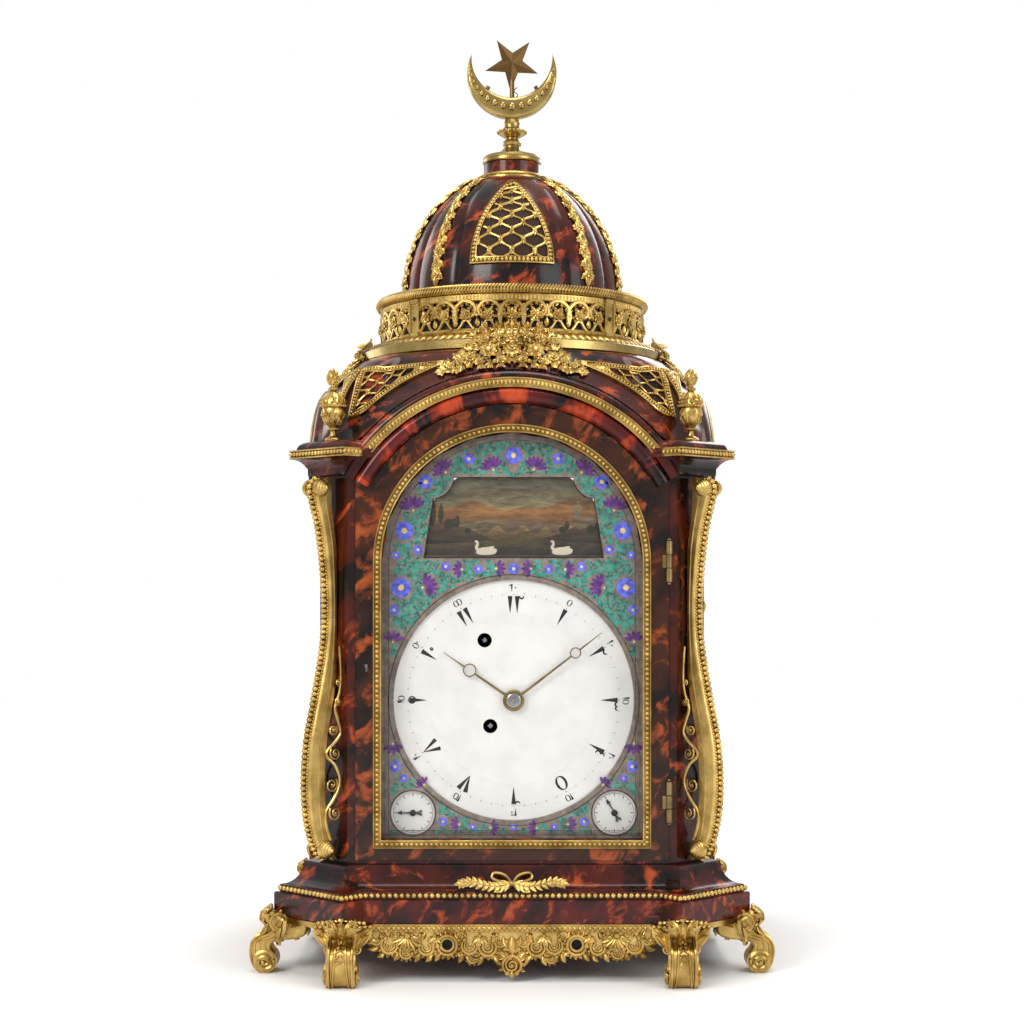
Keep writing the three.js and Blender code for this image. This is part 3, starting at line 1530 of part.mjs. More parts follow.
// A poker-and-ring hand pointing up: hub, shaft, ring and pointer as one flat outline.
function handBlade(length, ring, ringRadius, hub, back) {
  const shaft = 0.9;
  const tail = slabY(rectangle(-shaft, shaft, 0, ring - ringRadius + 0.8), -(back + HAND_THICK), -back);
  const eye = slabY(
    circle(0, ring, ringRadius, 10),
    -(back + HAND_THICK),
    -back,
    [circle(0, ring, ringRadius - 1.5, 8).reverse()],
  );
  const tip = slabY(
    [
      [-1.5, ring + ringRadius - 1],
      [1.5, ring + ringRadius - 1],
      [0.5, length],
      [-0.5, length],
    ],
    -(back + HAND_THICK),
    -back,
  );
  const boss = slabY(circle(0, 0, hub, 12), -(back + HAND_THICK), -back);
  return join(tail, eye, tip, boss);
}

function turnedHand(made, degrees, x, z) {
  const angle = THREE.MathUtils.degToRad(degrees);
  return solid(geometryOf(made).rotateY(angle).translate(x, 0, z));
}

function minuteHand() {
  const blade = handBlade(MINUTE_LENGTH, MINUTE_RING, 4, 7.8, MINUTE_BACK);
  const front = MINUTE_BACK + HAND_THICK;
  const arbor = turnedY(rodProfile(MINUTE_ARBOR, -(front + 2.4), -(FRONT_PLATE - 2)), 8, 0, 0);
  return turnedHand(join(blade, arbor), MINUTE_ANGLE, DIAL_X, DIAL_Z);
}

function hourHand() {
  const blade = handBlade(HOUR_LENGTH, HOUR_RING, 4.9, 6.4, HOUR_BACK);
  const pipe = turnedY(rodProfile(HOUR_PIPE, -(HOUR_BACK + 0.2), -(FRONT_PLATE + 8)), 10, 0, 0);
  const bore = turnedY(
    rodProfile(MINUTE_ARBOR + RUN_GAP, -(HOUR_BACK + 4), -(FRONT_PLATE + 2)),
    8,
    0,
    0,
  );
  return turnedHand(cut(join(blade, pipe), bore), HOUR_ANGLE, DIAL_X, DIAL_Z);
}

place("minute_hand", minuteHand(), brass);
place("hour_hand", hourHand(), brass);

function smallHand(x, degrees) {
  const back = MASK_BACK + 0.3;
  const pointer = slabY(
    [
      [-1.2, -5],
      [1.2, -5],
      [2.4, 0],
      [2.2, 5],
      [0.4, SMALL_HAND_LENGTH],
      [-0.4, SMALL_HAND_LENGTH],
      [-2.2, 5],
      [-2.4, 0],
    ],
    -(back + 0.9),
    -back,
  );
  const arbor = turnedY(rodProfile(SMALL_ARBOR, -(back + 1.4), -(BOARD_FRONT - 4)), 8, 0, 0);
  return turnedHand(join(pointer, arbor), degrees, x, SMALL_DIAL_Z);
}

place("strike_hand", smallHand(DIAL_X - SMALL_DIAL_X, STRIKE_ANGLE), steel);
place("tune_hand", smallHand(DIAL_X + SMALL_DIAL_X, TUNE_ANGLE), steel);

// Movement: two plates with pillars, fusees, pinned barrel, bells, hammer and pendulum

function movementFrame() {
  const plate = (front, holes) =>
    slabY(
      rectangle(-PLATE_HALF, PLATE_HALF, PLATE_BOTTOM, PLATE_TOP),
      -front,
      -(front - PLATE_THICK),
      holes,
    );
  const arborHole = (x, z) => circle(x, z, ARBOR_RADIUS + RUN_GAP, 8);
  const arborHoles = [
    arborHole(GOING_X, GOING_Z),
    arborHole(MUSIC_X, MUSIC_Z),
    arborHole(BARREL_X, BARREL_Z),
  ];
  const frontHoles = [...arborHoles, circle(DIAL_X, DIAL_Z, MINUTE_ARBOR + RUN_GAP, 8)];
  const pillars = [-1, 1].flatMap((s) =>
    [PLATE_BOTTOM + 9, PLATE_TOP - 9].map((z) =>
      turnedY(rodProfile(PILLAR_RADIUS, -(FRONT_PLATE - 1), -(BACK_PLATE - 1)), 6, s * (PLATE_HALF - 9), z),
    ),
  );
  const cock = join(
    block(-9, 9, -(BACK_PLATE - 2), -(BACK_PLATE - 6), PENDULUM_Z - 6, PENDULUM_Z + 4),
    turnedY(rodProfile(PIVOT_RADIUS, -(BACK_PLATE - 5), -(BACK_PLATE - 14)), 8, 0, PENDULUM_Z),
    turnedY(rodProfile(PIVOT_RADIUS, -(BACK_PLATE - 2), -(BACK_PLATE - 12)), 8, HAMMER_X, PENDULUM_Z - 3),
  );
  const standHalf = PLATE_HALF - 3;
  const stands = [-1, 1].map((s) =>
    cut(
      block(
        s * standHalf - 3,
        s * standHalf + 3,
        -(BACK_PLATE + 42),
        -(BACK_PLATE + 30),
        PLATE_TOP - 13,
        BELL_ROD_Z + 7,
      ),
      turnedX(
        rodProfile(BELL_ROD + GAP, s * standHalf - 5, s * standHalf + 5),
        10,
        -(BACK_PLATE + 36),
        BELL_ROD_Z,
      ),
    ),
  );
  const rails = [-1, 1].map((s) =>
    block(
      s * standHalf - 3,
      s * standHalf + 3,
      -(BACK_PLATE + 42),
      -(BACK_PLATE - 0.5),
      PLATE_TOP - 13,
      PLATE_TOP - 5,
    ),
  );
  return join(
    plate(FRONT_PLATE, frontHoles),
    plate(BACK_PLATE, arborHoles),
    ...pillars,
    cock,
    ...stands,
    ...rails,
  );
}

place("movement_frame", movementFrame(), brass);

// A wound arbor: great wheel, cone with stepped turns and a square end behind the winding hole.
function fusee(x, z, wheelRadius) {
  const front = -(FRONT_PLATE - PLATE_THICK);
  const back = -BACK_PLATE;
  const profile = [
    [0, -(MASK_BACK - 5)],
    [2.4, -(MASK_BACK - 5)],
    [ARBOR_RADIUS, -(FRONT_PLATE + 2)],
    [ARBOR_RADIUS, front + 5],
    [FUSEE_SMALL, front + 6],
    [0.72 * FUSEE_LARGE, front + 28],
    [FUSEE_LARGE, front + 46],
    [FUSEE_LARGE, back - 16],
    [wheelRadius, back - 16],
    [wheelRadius, back - 16 + WHEEL_THICK],
    [ARBOR_RADIUS, back - 16 + WHEEL_THICK],
    [ARBOR_RADIUS, back + PLATE_THICK],
    [0, back + PLATE_THICK],
  ];
  return turnedY(profile, 18, x, z);
}

place("going_fusee", fusee(GOING_X, GOING_Z, GREAT_WHEEL), brass);
place("music_fusee", fusee(MUSIC_X, MUSIC_Z, MUSIC_WHEEL), brass);

function musicBarrel() {
  const front = -(FRONT_PLATE - PLATE_THICK);
  const back = -BACK_PLATE;
  return turnedY(
    [
      [0, -FRONT_PLATE],
      [ARBOR_RADIUS, -FRONT_PLATE],
      [ARBOR_RADIUS, front + 5],
      [BARREL_RADIUS, front + 5],
      [BARREL_RADIUS, back - 16],
      [BARREL_WHEEL, back - 16],
      [BARREL_WHEEL, back - 16 + WHEEL_THICK],
      [ARBOR_RADIUS, back - 16 + WHEEL_THICK],
      [ARBOR_RADIUS, back + PLATE_THICK],
      [0, back + PLATE_THICK],
    ],
    18,
    BARREL_X,
    BARREL_Z,
  );
}

place("music_barrel", musicBarrel(), brass);

function bellNest() {
  const rodHalf = PLATE_HALF + 3;
  const points = [
    [0, -rodHalf],
    [BELL_ROD, -rodHalf],
  ];
  for (let i = 0; i < BELL_COUNT; i++) {
    const radius = BELL_LARGE - i * BELL_STEP;
    const x = -50 + i * BELL_PITCH;
    points.push(
      [BELL_ROD, x],
      [0.62 * radius, x + 1],
      [radius, x + 13],
      [radius - 1.6, x + 13],
      [0.62 * radius - 1.4, x + 2.6],
      [BELL_ROD, x + 2.6],
    );
  }
  points.push([BELL_ROD, rodHalf], [0, rodHalf]);
  return turnedX(points, 12, -(BACK_PLATE + 36), BELL_ROD_Z);
}

place("bell_nest", bellNest(), bellMetal);

function hungArm(x, z, outline, front, back) {
  const eye = slabY(circle(x, z, 4.2, 12), front, back);
  const bore = slabY(circle(x, z, PIVOT_RADIUS + RUN_GAP, 8), front - 1, back + 1);
  return cut(join(slabY(outline, front, back), eye), bore);
}

function pendulum() {
  const front = -(BACK_PLATE - 10);
  const back = front + 2;
  const bobZ = PENDULUM_Z - PENDULUM_LENGTH;
  const rod = hungArm(0, PENDULUM_Z, rectangle(-1.6, 1.6, bobZ, PENDULUM_Z - 2.4), front, back);
  const bob = turnedY(
    [
      [0, front - 2.5],
      [BOB_RADIUS, front - 0.5],
      [BOB_RADIUS, back + 0.5],
      [0, back + 3],
    ],
    16,
    0,
    bobZ,
  );
  return join(rod, bob);
}

place("pendulum", pendulum(), brass);

// The arm rises behind the plates, and its head reaches forward under the smallest bell's rim.
function hourHammer() {
  const front = -(BACK_PLATE - 6.5);
  const back = front + 3;
  const z = PENDULUM_Z - 3;
  const headTop = BELL_ROD_Z - BELL_LARGE + (BELL_COUNT - 1) * BELL_STEP - 2.5;
  const shaft = rectangle(HAMMER_X - 2, HAMMER_X + 2, z + 2.6, headTop - 3);
  const arm = hungArm(HAMMER_X, z, shaft, front, back);
  const head = block(HAMMER_X - 17, HAMMER_X + 2, -(BACK_PLATE + 40), back, headTop - 7, headTop);
  return join(arm, head);
}

place("hour_hammer", hourHammer(), steel);

function repeatKnob() {
  return turnedX(
    [
      [0, CAVITY_HALF - KNOB_TRAVEL - 6],
      [KNOB_ROD, CAVITY_HALF - KNOB_TRAVEL - 6],
      [KNOB_ROD, BODY_REACH + 3],
      [0.6 * KNOB_RADIUS, BODY_REACH + 4],
      [KNOB_RADIUS, BODY_REACH + 8],
      [0.8 * KNOB_RADIUS, BODY_REACH + 12.5],
      [0, BODY_REACH + 14],
    ],
    14,
    0,
    KNOB_Z,
  );
}

place("repeat_knob", repeatKnob(), gilt);

export default clock;
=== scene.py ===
import json
import math

import bmesh
import bpy
import numpy as np
from mathutils import Matrix, Vector
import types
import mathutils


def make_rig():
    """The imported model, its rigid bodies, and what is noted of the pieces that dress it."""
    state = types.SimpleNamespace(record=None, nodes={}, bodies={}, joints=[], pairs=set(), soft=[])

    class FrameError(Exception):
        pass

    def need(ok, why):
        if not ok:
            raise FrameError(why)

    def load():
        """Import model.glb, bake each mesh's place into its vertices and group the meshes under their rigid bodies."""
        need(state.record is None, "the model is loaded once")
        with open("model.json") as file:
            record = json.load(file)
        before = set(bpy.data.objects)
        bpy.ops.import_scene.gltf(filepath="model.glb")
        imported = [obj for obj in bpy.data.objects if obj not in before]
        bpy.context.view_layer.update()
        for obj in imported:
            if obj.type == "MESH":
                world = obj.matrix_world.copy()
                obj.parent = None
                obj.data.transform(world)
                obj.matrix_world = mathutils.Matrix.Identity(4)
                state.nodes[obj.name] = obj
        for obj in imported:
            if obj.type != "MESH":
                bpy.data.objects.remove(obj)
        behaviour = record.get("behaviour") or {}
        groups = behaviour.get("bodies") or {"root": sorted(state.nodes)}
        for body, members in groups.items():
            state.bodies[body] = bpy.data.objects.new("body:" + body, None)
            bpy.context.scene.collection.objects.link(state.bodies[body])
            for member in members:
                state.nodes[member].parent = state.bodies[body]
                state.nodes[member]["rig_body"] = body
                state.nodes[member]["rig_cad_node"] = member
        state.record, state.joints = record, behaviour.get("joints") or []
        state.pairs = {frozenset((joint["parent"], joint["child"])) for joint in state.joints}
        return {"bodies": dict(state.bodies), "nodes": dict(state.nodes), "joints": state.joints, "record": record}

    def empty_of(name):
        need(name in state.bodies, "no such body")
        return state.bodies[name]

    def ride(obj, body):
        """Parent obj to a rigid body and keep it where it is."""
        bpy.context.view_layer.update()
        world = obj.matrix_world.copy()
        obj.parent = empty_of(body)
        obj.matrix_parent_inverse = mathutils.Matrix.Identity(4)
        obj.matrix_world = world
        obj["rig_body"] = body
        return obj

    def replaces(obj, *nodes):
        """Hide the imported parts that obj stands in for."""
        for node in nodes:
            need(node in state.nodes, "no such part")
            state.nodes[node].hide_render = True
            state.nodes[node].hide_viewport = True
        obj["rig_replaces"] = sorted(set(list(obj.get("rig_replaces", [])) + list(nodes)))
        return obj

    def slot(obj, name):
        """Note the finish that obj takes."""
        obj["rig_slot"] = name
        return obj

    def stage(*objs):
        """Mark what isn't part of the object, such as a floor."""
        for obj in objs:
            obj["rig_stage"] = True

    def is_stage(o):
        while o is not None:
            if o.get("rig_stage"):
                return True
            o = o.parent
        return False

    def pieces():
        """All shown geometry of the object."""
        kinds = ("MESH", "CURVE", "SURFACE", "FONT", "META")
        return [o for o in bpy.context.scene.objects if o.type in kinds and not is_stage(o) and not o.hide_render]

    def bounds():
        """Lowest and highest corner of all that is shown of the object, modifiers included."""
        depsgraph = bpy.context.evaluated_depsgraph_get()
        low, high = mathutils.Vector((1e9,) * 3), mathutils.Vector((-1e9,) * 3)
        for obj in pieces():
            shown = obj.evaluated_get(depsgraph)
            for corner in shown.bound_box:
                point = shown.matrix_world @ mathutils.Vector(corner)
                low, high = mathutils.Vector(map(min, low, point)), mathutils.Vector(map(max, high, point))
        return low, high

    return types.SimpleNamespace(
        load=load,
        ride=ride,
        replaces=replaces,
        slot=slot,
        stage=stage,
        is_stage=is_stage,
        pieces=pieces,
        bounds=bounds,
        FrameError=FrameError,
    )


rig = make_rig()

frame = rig.load()
cad_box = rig.bounds()

# Plinth. A veneered wooden block with projecting chamfered corners, a bead row in a groove
# and a hollow moulding up to the case. The tortoiseshell is laid in diagonal streaks and polished.

SIDES = ["front", "right", "back", "left"]
CORNERS = ["front_right", "back_right", "back_left", "front_left"]
CORNER_HALF = 121
CORNER_STEP = 14.35
PLINTH_REACH = 176
PLINTH_FOOT, BLOCK_TOP, COVE_BOTTOM, PLINTH_TOP = 41, 58.3, 64, 81.5
PLINTH_TOP_REACH = 154
SHARP = math.radians(32)


def link(material, source, target):
    material.node_tree.links.new(source, target)


def node(material, kind, **settings):
    """Adds a shader node; a setting is an input's default, or a property of the node."""
    made = material.node_tree.nodes.new(kind)
    for key, value in settings.items():
        name = key.replace("_", " ")
        if name in made.inputs:
            made.inputs[name].default_value = value
        else:
            setattr(made, key, value)
    return made


def ramp(material, factor, *stops):
    """A colour ramp fed by a socket. Each stop is a place and a linear colour."""
    made = node(material, "ShaderNodeValToRGB")
    bar = made.color_ramp.elements
    while len(bar) < len(stops):
        bar.new(1)
    for element, (place, colour) in zip(bar, stops):
        element.position = place
        element.color = (*colour, 1)
    link(material, factor, made.inputs["Fac"])
    return made.outputs["Color"]


def finish(name, colour, roughness, metallic=0.0, coat=0.0):
    """A plain surface. Returns its material, whose shader can take patterns."""
    material = bpy.data.materials.new(name)
    material.use_nodes = True
    shader = material.node_tree.nodes["Principled BSDF"]
    shader.inputs["Base Color"].default_value = (*colour, 1)
    shader.inputs["Roughness"].default_value = roughness
    shader.inputs["Metallic"].default_value = metallic
    shader.inputs["Coat Weight"].default_value = coat
    shader.inputs["Coat Roughness"].default_value = 0.06
    return material


def shader_of(material):
    return material.node_tree.nodes["Principled BSDF"]


def noise(material, scale, detail=3, roughness=0.5, distortion=0, stretch=(1, 1, 1), turn=0, over="Object"):
    """Noise in the piece's own metres, or its UV map's, drawn out along a turned set of axes."""
    place = node(material, "ShaderNodeTexCoord")
    mapping = node(material, "ShaderNodeMapping", vector_type="TEXTURE")
    mapping.inputs["Scale"].default_value = stretch
    mapping.inputs["Rotation"].default_value = (turn, turn, 0)
    sizes = {"Scale": scale, "Detail": detail, "Roughness": roughness, "Distortion": distortion}
    made = node(material, "ShaderNodeTexNoise", **sizes)
    link(material, place.outputs[over], mapping.inputs["Vector"])
    link(material, mapping.outputs["Vector"], made.inputs["Vector"])
    return made.outputs["Fac"]


def roughen(material, height, strength, depth):
    """Bumps the surface by a height socket; depth is in metres."""
    bump = node(material, "ShaderNodeBump", Strength=strength, Distance=depth)
    link(material, height, bump.inputs["Height"])
    link(material, bump.outputs["Normal"], shader_of(material).inputs["Normal"])


def mixed(material, factor, first, second, blend="MIX"):
    """Two colour sockets mixed by a factor, which is a socket or a number."""
    made = node(material, "ShaderNodeMix", data_type="RGBA", blend_type=blend)
    if isinstance(factor, float):
        made.inputs[0].default_value = factor
    else:
        link(material, factor, made.inputs[0])
    link(material, first, made.inputs[6])
    link(material, second, made.inputs[7])
    return made.outputs[2]


def veneer(name, ground, flecks, scale, share, stretch=(1, 1, 3.0), turn=0.7, over="Object"):
    """Polished tortoiseshell: a dark ground of two colours under flecks of red and amber."""
    material = finish(name, ground[1], 0.22, coat=0.2)
    shader_of(material).inputs["Specular IOR Level"].default_value = 0.2
    clouds = noise(material, scale * 0.42, 3, 0.55, 0.4, stretch, turn, over)
    cloudy = ramp(material, clouds, (0.40, ground[0]), (0.58, ground[1]))
    blotches = noise(material, scale, 4, 0.6, 0.55, stretch, turn, over)
    colour = ramp(material, blotches, (0.52, flecks[0]), (0.70, flecks[1]))
    where = ramp(material, blotches, (0.95 - share, (0, 0, 0)), (1.05 - share, (1, 1, 1)))
    link(material, mixed(material, where, cloudy, colour), shader_of(material).inputs["Base Color"])
    return material


BLACK_BROWN, DARK_RED = (0.0065, 0.0032, 0.0025), (0.064, 0.0082, 0.004)
RED_FLECK, AMBER_FLECK = (0.16, 0.017, 0.007), (0.38, 0.066, 0.015)
FLECKS = RED_FLECK, AMBER_FLECK
shell = veneer("tortoiseshell", (BLACK_BROWN, DARK_RED), FLECKS, 70, 0.41)
streaks = (0.020, 0.005, 0.004), (0.085, 0.009, 0.005)
streaked_shell = veneer("streaked tortoiseshell", streaks, FLECKS, 96, 0.44)
clouds, glow = ((0.006, 0.003, 0.003), (0.10, 0.006, 0.004)), ((0.24, 0.016, 0.005), (0.52, 0.066, 0.014))
glowing_shell = veneer("clouded tortoiseshell", clouds, glow, 46, 0.455, (1, 3.2, 1), 0, "UV")


def gilding(name, low, high, roughness):
    """Gilt metal, slightly clouded and finely tooled, darkened in its creases by painted shade."""
    material = finish(name, high, roughness, 1.0)
    tone = ramp(material, noise(material, 70, 3, 0.6), (0.35, low), (0.65, high))
    # Painted shade: where the surface is concave, by its pointiness, the colour is darkened as if shaded.
    edges = node(material, "ShaderNodeNewGeometry")
    shade_stops = (0.42, (0.42, 0.36, 0.28)), (0.50, (0.94, 0.94, 0.94)), (0.58, (1, 1, 1))
    creases_shaded = ramp(material, edges.outputs["Pointiness"], *shade_stops)
    link(material, mixed(material, 1.0, tone, creases_shaded, "MULTIPLY"), shader_of(material).inputs["Base Color"])
    roughen(material, noise(material, 900, 2, 0.6), 0.18, 0.0005)
    return material


gilt = gilding("chased gilding", (0.40, 0.258, 0.072), (0.71, 0.495, 0.165), 0.33)


def placed(name, data):
    made = bpy.data.objects.new(name, data)
    bpy.context.scene.collection.objects.link(made)
    return made


def meshed(name, points, faces):
    """An object from millimetres, smooth but for its creases."""
    mesh = bpy.data.meshes.new(name)
    mesh.from_pydata((np.asarray(points, float) / 1000).tolist(), [], faces)
    settle(mesh)
    return placed(name, mesh)


def piece(name, points, faces, material, body="case"):
    """Makes a mesh of a material and hangs it on a body."""
    made = meshed(name, points, faces)
    made.data.materials.append(material)
    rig.ride(made, body)
    return made


def settle(mesh, creased=SHARP):
    """Merges doubles, turns faces outwards, and marks the edges that stay sharp."""
    shape = bmesh.new()
    shape.from_mesh(mesh)
    bmesh.ops.remove_doubles(shape, verts=shape.verts, dist=2e-6)
    bmesh.ops.recalc_face_normals(shape, faces=shape.faces)
    for face in shape.faces:
        face.smooth = True
    for edge in shape.edges:
        if len(edge.link_faces) == 2:
            edge.smooth = edge.calc_face_angle(0) < creased
    shape.to_mesh(mesh)
    shape.free()


def turned(points, quarter_turns):
    """Carries points from the front to another side of the case."""
    cosine, sine = [(1, 0), (0, 1), (-1, 0), (0, -1)][quarter_turns % 4]
    x, y, z = np.asarray(points, float).T
    return np.column_stack([x * cosine - y * sine, x * sine + y * cosine, z])


def rings(levels, closed=False):
    """Joins rings of equal count. Open rings are capped; closed ones meet first to last."""
    count = len(levels[0])
    points = [point for level in levels for point in level]
    faces = []
    spans = len(levels) if closed else len(levels) - 1
    for row in range(spans):
        low, high = row * count, (row + 1) % len(levels) * count
        for i in range(count):
            j = (i + 1) % count
            faces.append((low + i, low + j, high + j, high + i))
    if not closed:
        last = (len(levels) - 1) * count
        faces.append(tuple(range(count - 1, -1, -1)))
        faces.append(tuple(range(last, last + count)))
    return points, faces


def corner_plan(reach):
    """The outline at a level whose front corner edges lie at a reach from the centre."""
    step = CORNER_STEP + (reach - PLINTH_REACH) / math.sqrt(2) * (math.sqrt(2) - 1)
    near, far = CORNER_HALF - step, reach - step
    corner = [(near, -far, 0), (CORNER_HALF, -reach, 0), (reach, -CORNER_HALF, 0), (far, -near, 0)]
    return np.vstack([turned(corner, k) for k in range(4)])


def moulded(levels):
    """A moulding of [reach, height] steps run round the case's plan."""
    return rings([corner_plan(reach) + (0, 0, height) for reach, height in levels])


def quarter_hollow(reach, top_reach, bottom, top, steps):
    """The steps of a hollow that leaves a reach upright and ends level at another."""
    wide, high = reach - top_reach, top - bottom
    angles = np.linspace(0, math.pi / 2, steps)
    return [(reach - wide * math.sin(a), bottom + high * (1 - math.cos(a))) for a in angles]


BEAD_GROOVE = PLINTH_REACH - 4.5
EASE = 0.8
edge = PLINTH_REACH - EASE
block_steps = [(edge, PLINTH_FOOT), (PLINTH_REACH, PLINTH_FOOT + EASE), (PLINTH_REACH, BLOCK_TOP - EASE)]
block_steps += [(edge, BLOCK_TOP), (BEAD_GROOVE, BLOCK_TOP), (BEAD_GROOVE, COVE_BOTTOM - 0.05)]
block = piece("plinth_block", *moulded(block_steps), streaked_shell)
cove_steps = quarter_hollow(BEAD_GROOVE, PLINTH_TOP_REACH, COVE_BOTTOM, PLINTH_TOP, 14)
cove = piece("plinth_cove", *moulded(cove_steps), shell)
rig.replaces(block, "plinth")
for part in (block, cove):
    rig.slot(part, "shell_veneer")


def grower(name, entry, sizes, exit_name):
    """A geometry tree with its sockets. Returns it, its two ends and the sizes' identifiers."""
    tree = bpy.data.node_groups.new(name, "GeometryNodeTree")
    tree.interface.new_socket(entry, in_out="INPUT", socket_type="NodeSocketGeometry")
    found = {}
    for size, kind in sizes:
        socket = tree.interface.new_socket(size, in_out="INPUT", socket_type=f"NodeSocket{kind}")
        found[size] = socket.identifier
    tree.interface.new_socket(exit_name, in_out="OUTPUT", socket_type="NodeSocketGeometry")
    return tree, tree.nodes.new("NodeGroupInput"), tree.nodes.new("NodeGroupOutput"), found


def wire(tree, *wires):
    """Links sockets, given as a node and its output, then a node and its input."""
    for source, out, target, into in wires:
        tree.links.new(source.outputs[out], target.inputs[into])


def bead_tree():
    """Geometry nodes: beads of a size, stretched along their path and spaced evenly on it."""
    sizes = ("Spacing", "Float"), ("Bead size", "Vector"), ("Facets", "Int"), ("Finish", "Material")
    tree, start, end, found = grower("beads on a path", "Path", sizes, "Beads")
    kinds = "ResampleCurve InputTangent MeshUVSphere InstanceOnPoints RealizeInstances SetMaterial"
    evenly, tangent, bead, place, real, paint = [
        tree.nodes.new("GeometryNode" + kind) for kind in kinds.split()
    ]
    evenly.mode = "LENGTH"
    aim = tree.nodes.new("FunctionNodeAlignRotationToVector")
    aim.axis = "X"
    bead.inputs["Radius"].default_value = 1
    wire(
        tree, (start, "Path", evenly, "Curve"), (start, "Spacing", evenly, "Length"),
        (start, "Facets", bead, "Segments"), (start, "Facets", bead, "Rings"),
        (evenly, "Curve", place, "Points"), (tangent, "Tangent", aim, "Vector"),
        (aim, "Rotation", place, "Rotation"), (start, "Bead size", place, "Scale"),
        (bead, "Mesh", place, "Instance"), (place, "Instances", real, "Geometry"),
        (real, "Geometry", paint, "Geometry"), (start, "Finish", paint, "Material"),
        (paint, "Geometry", end, "Beads")
    )
    return tree, found


BEAD_TREE, BEAD_SIZES = bead_tree()


def path_object(name, paths):
    """A curve of straight-sided splines in millimetres. Each path says if it is a ring."""
    curve = bpy.data.curves.new(name, "CURVE")
    curve.dimensions = "3D"
    for points, ring in paths:
        spline = curve.splines.new("POLY")
        spline.points.add(len(points) - 1)
        flat = np.column_stack([np.asarray(points, float) / 1000, np.ones(len(points))])
        spline.points.foreach_set("co", flat.ravel())
        spline.use_cyclic_u = ring
    return placed(name, curve)


def grown(path, name, tree, inputs, body, material):
    """Runs a tree on an object, keeps the result as a plain mesh and drops the start."""
    modifier = path.modifiers.new("grow", "NODES")
    modifier.node_group = tree
    for identifier, value in inputs.items():
        modifier[identifier] = value
    graph = bpy.context.evaluated_depsgraph_get()
    mesh = bpy.data.meshes.new_from_object(path.evaluated_get(graph), depsgraph=graph)
    path.modifiers.remove(modifier)
    bpy.data.objects.remove(path)
    made = placed(name, mesh)
    settle(mesh, math.radians(70))
    if not mesh.materials:
        mesh.materials.append(material)
    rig.ride(made, body)
    return made


def beads(name, paths, spacing, size, body="case", facets=8, material=gilt):
    """Bead rows along paths. The size is half the bead along, across and proud of the path."""
    values = (spacing / 1000, [half / 1000 for half in size], facets, material)
    inputs = dict(zip(BEAD_SIZES.values(), values))
    made = grown(path_object(name, paths), name, BEAD_TREE, inputs, body, material)
    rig.slot(made, "gilt_bronze")
    return made


def lifted(outline, height):
    """A flat outline of two or three columns at a height."""
    outline = np.asarray(outline, float)[:, :2]
    return np.column_stack([outline, np.full(len(outline), float(height))])


BEAD_ROW_HEIGHT = 61.2
bead_row = lifted(corner_plan(BEAD_GROOVE + 1.1), BEAD_ROW_HEIGHT)
beads("plinth_beads", [(bead_row, True)], 4.35, (2.1, 2.1, 2.1))

# Feet. Each corner stands on two cast and gilded scroll legs under one plate: a volute with
# stepped eyes at the bottom, an acanthus knee with berries and a leaf lip over the block.


def smooth(points, count, ring=False):
    """Runs an even, smooth curve through a few points."""
    points = np.asarray(points, float)
    if ring:
        padded = np.vstack([points[-1], points, points[0], points[1]])
    else:
        padded = np.vstack([2 * points[0] - points[1], points, 2 * points[-1] - points[-2]])
    spans = len(padded) - 3
    curve = []
    for t in np.linspace(0, spans, count, endpoint=not ring):
        i = min(int(t), spans - 1)
        a, b, c, d = padded[i : i + 4]
        f = t - i
        bend = (2 * a - 5 * b + 4 * c - d) * f**2 + (3 * b - a - 3 * c + d) * f**3
        curve.append(0.5 * (2 * b + (c - a) * f + bend))
    return np.array(curve)


def unit(vector):
    return vector / max(np.linalg.norm(vector), 1e-9)


def aimed(degrees):
    """The direction at an angle, across and up."""
    return np.array((math.cos(math.radians(degrees)), math.sin(math.radians(degrees))))


def circle(radius, count, centre=(0, 0), height=0.0):
    """Even points of a level ring."""
    angles = [2 * math.pi * k / count for k in range(count)]
    return [(centre[0] + radius * math.cos(a), centre[1] + radius * math.sin(a), height) for a in angles]


def arc(centre, radius, start, end, steps):
    """Points of an arc in a plane, in degrees."""
    angles = np.radians(np.linspace(start, end, steps))
    return np.column_stack([centre[0] + radius * np.cos(angles), centre[1] + radius * np.sin(angles)])


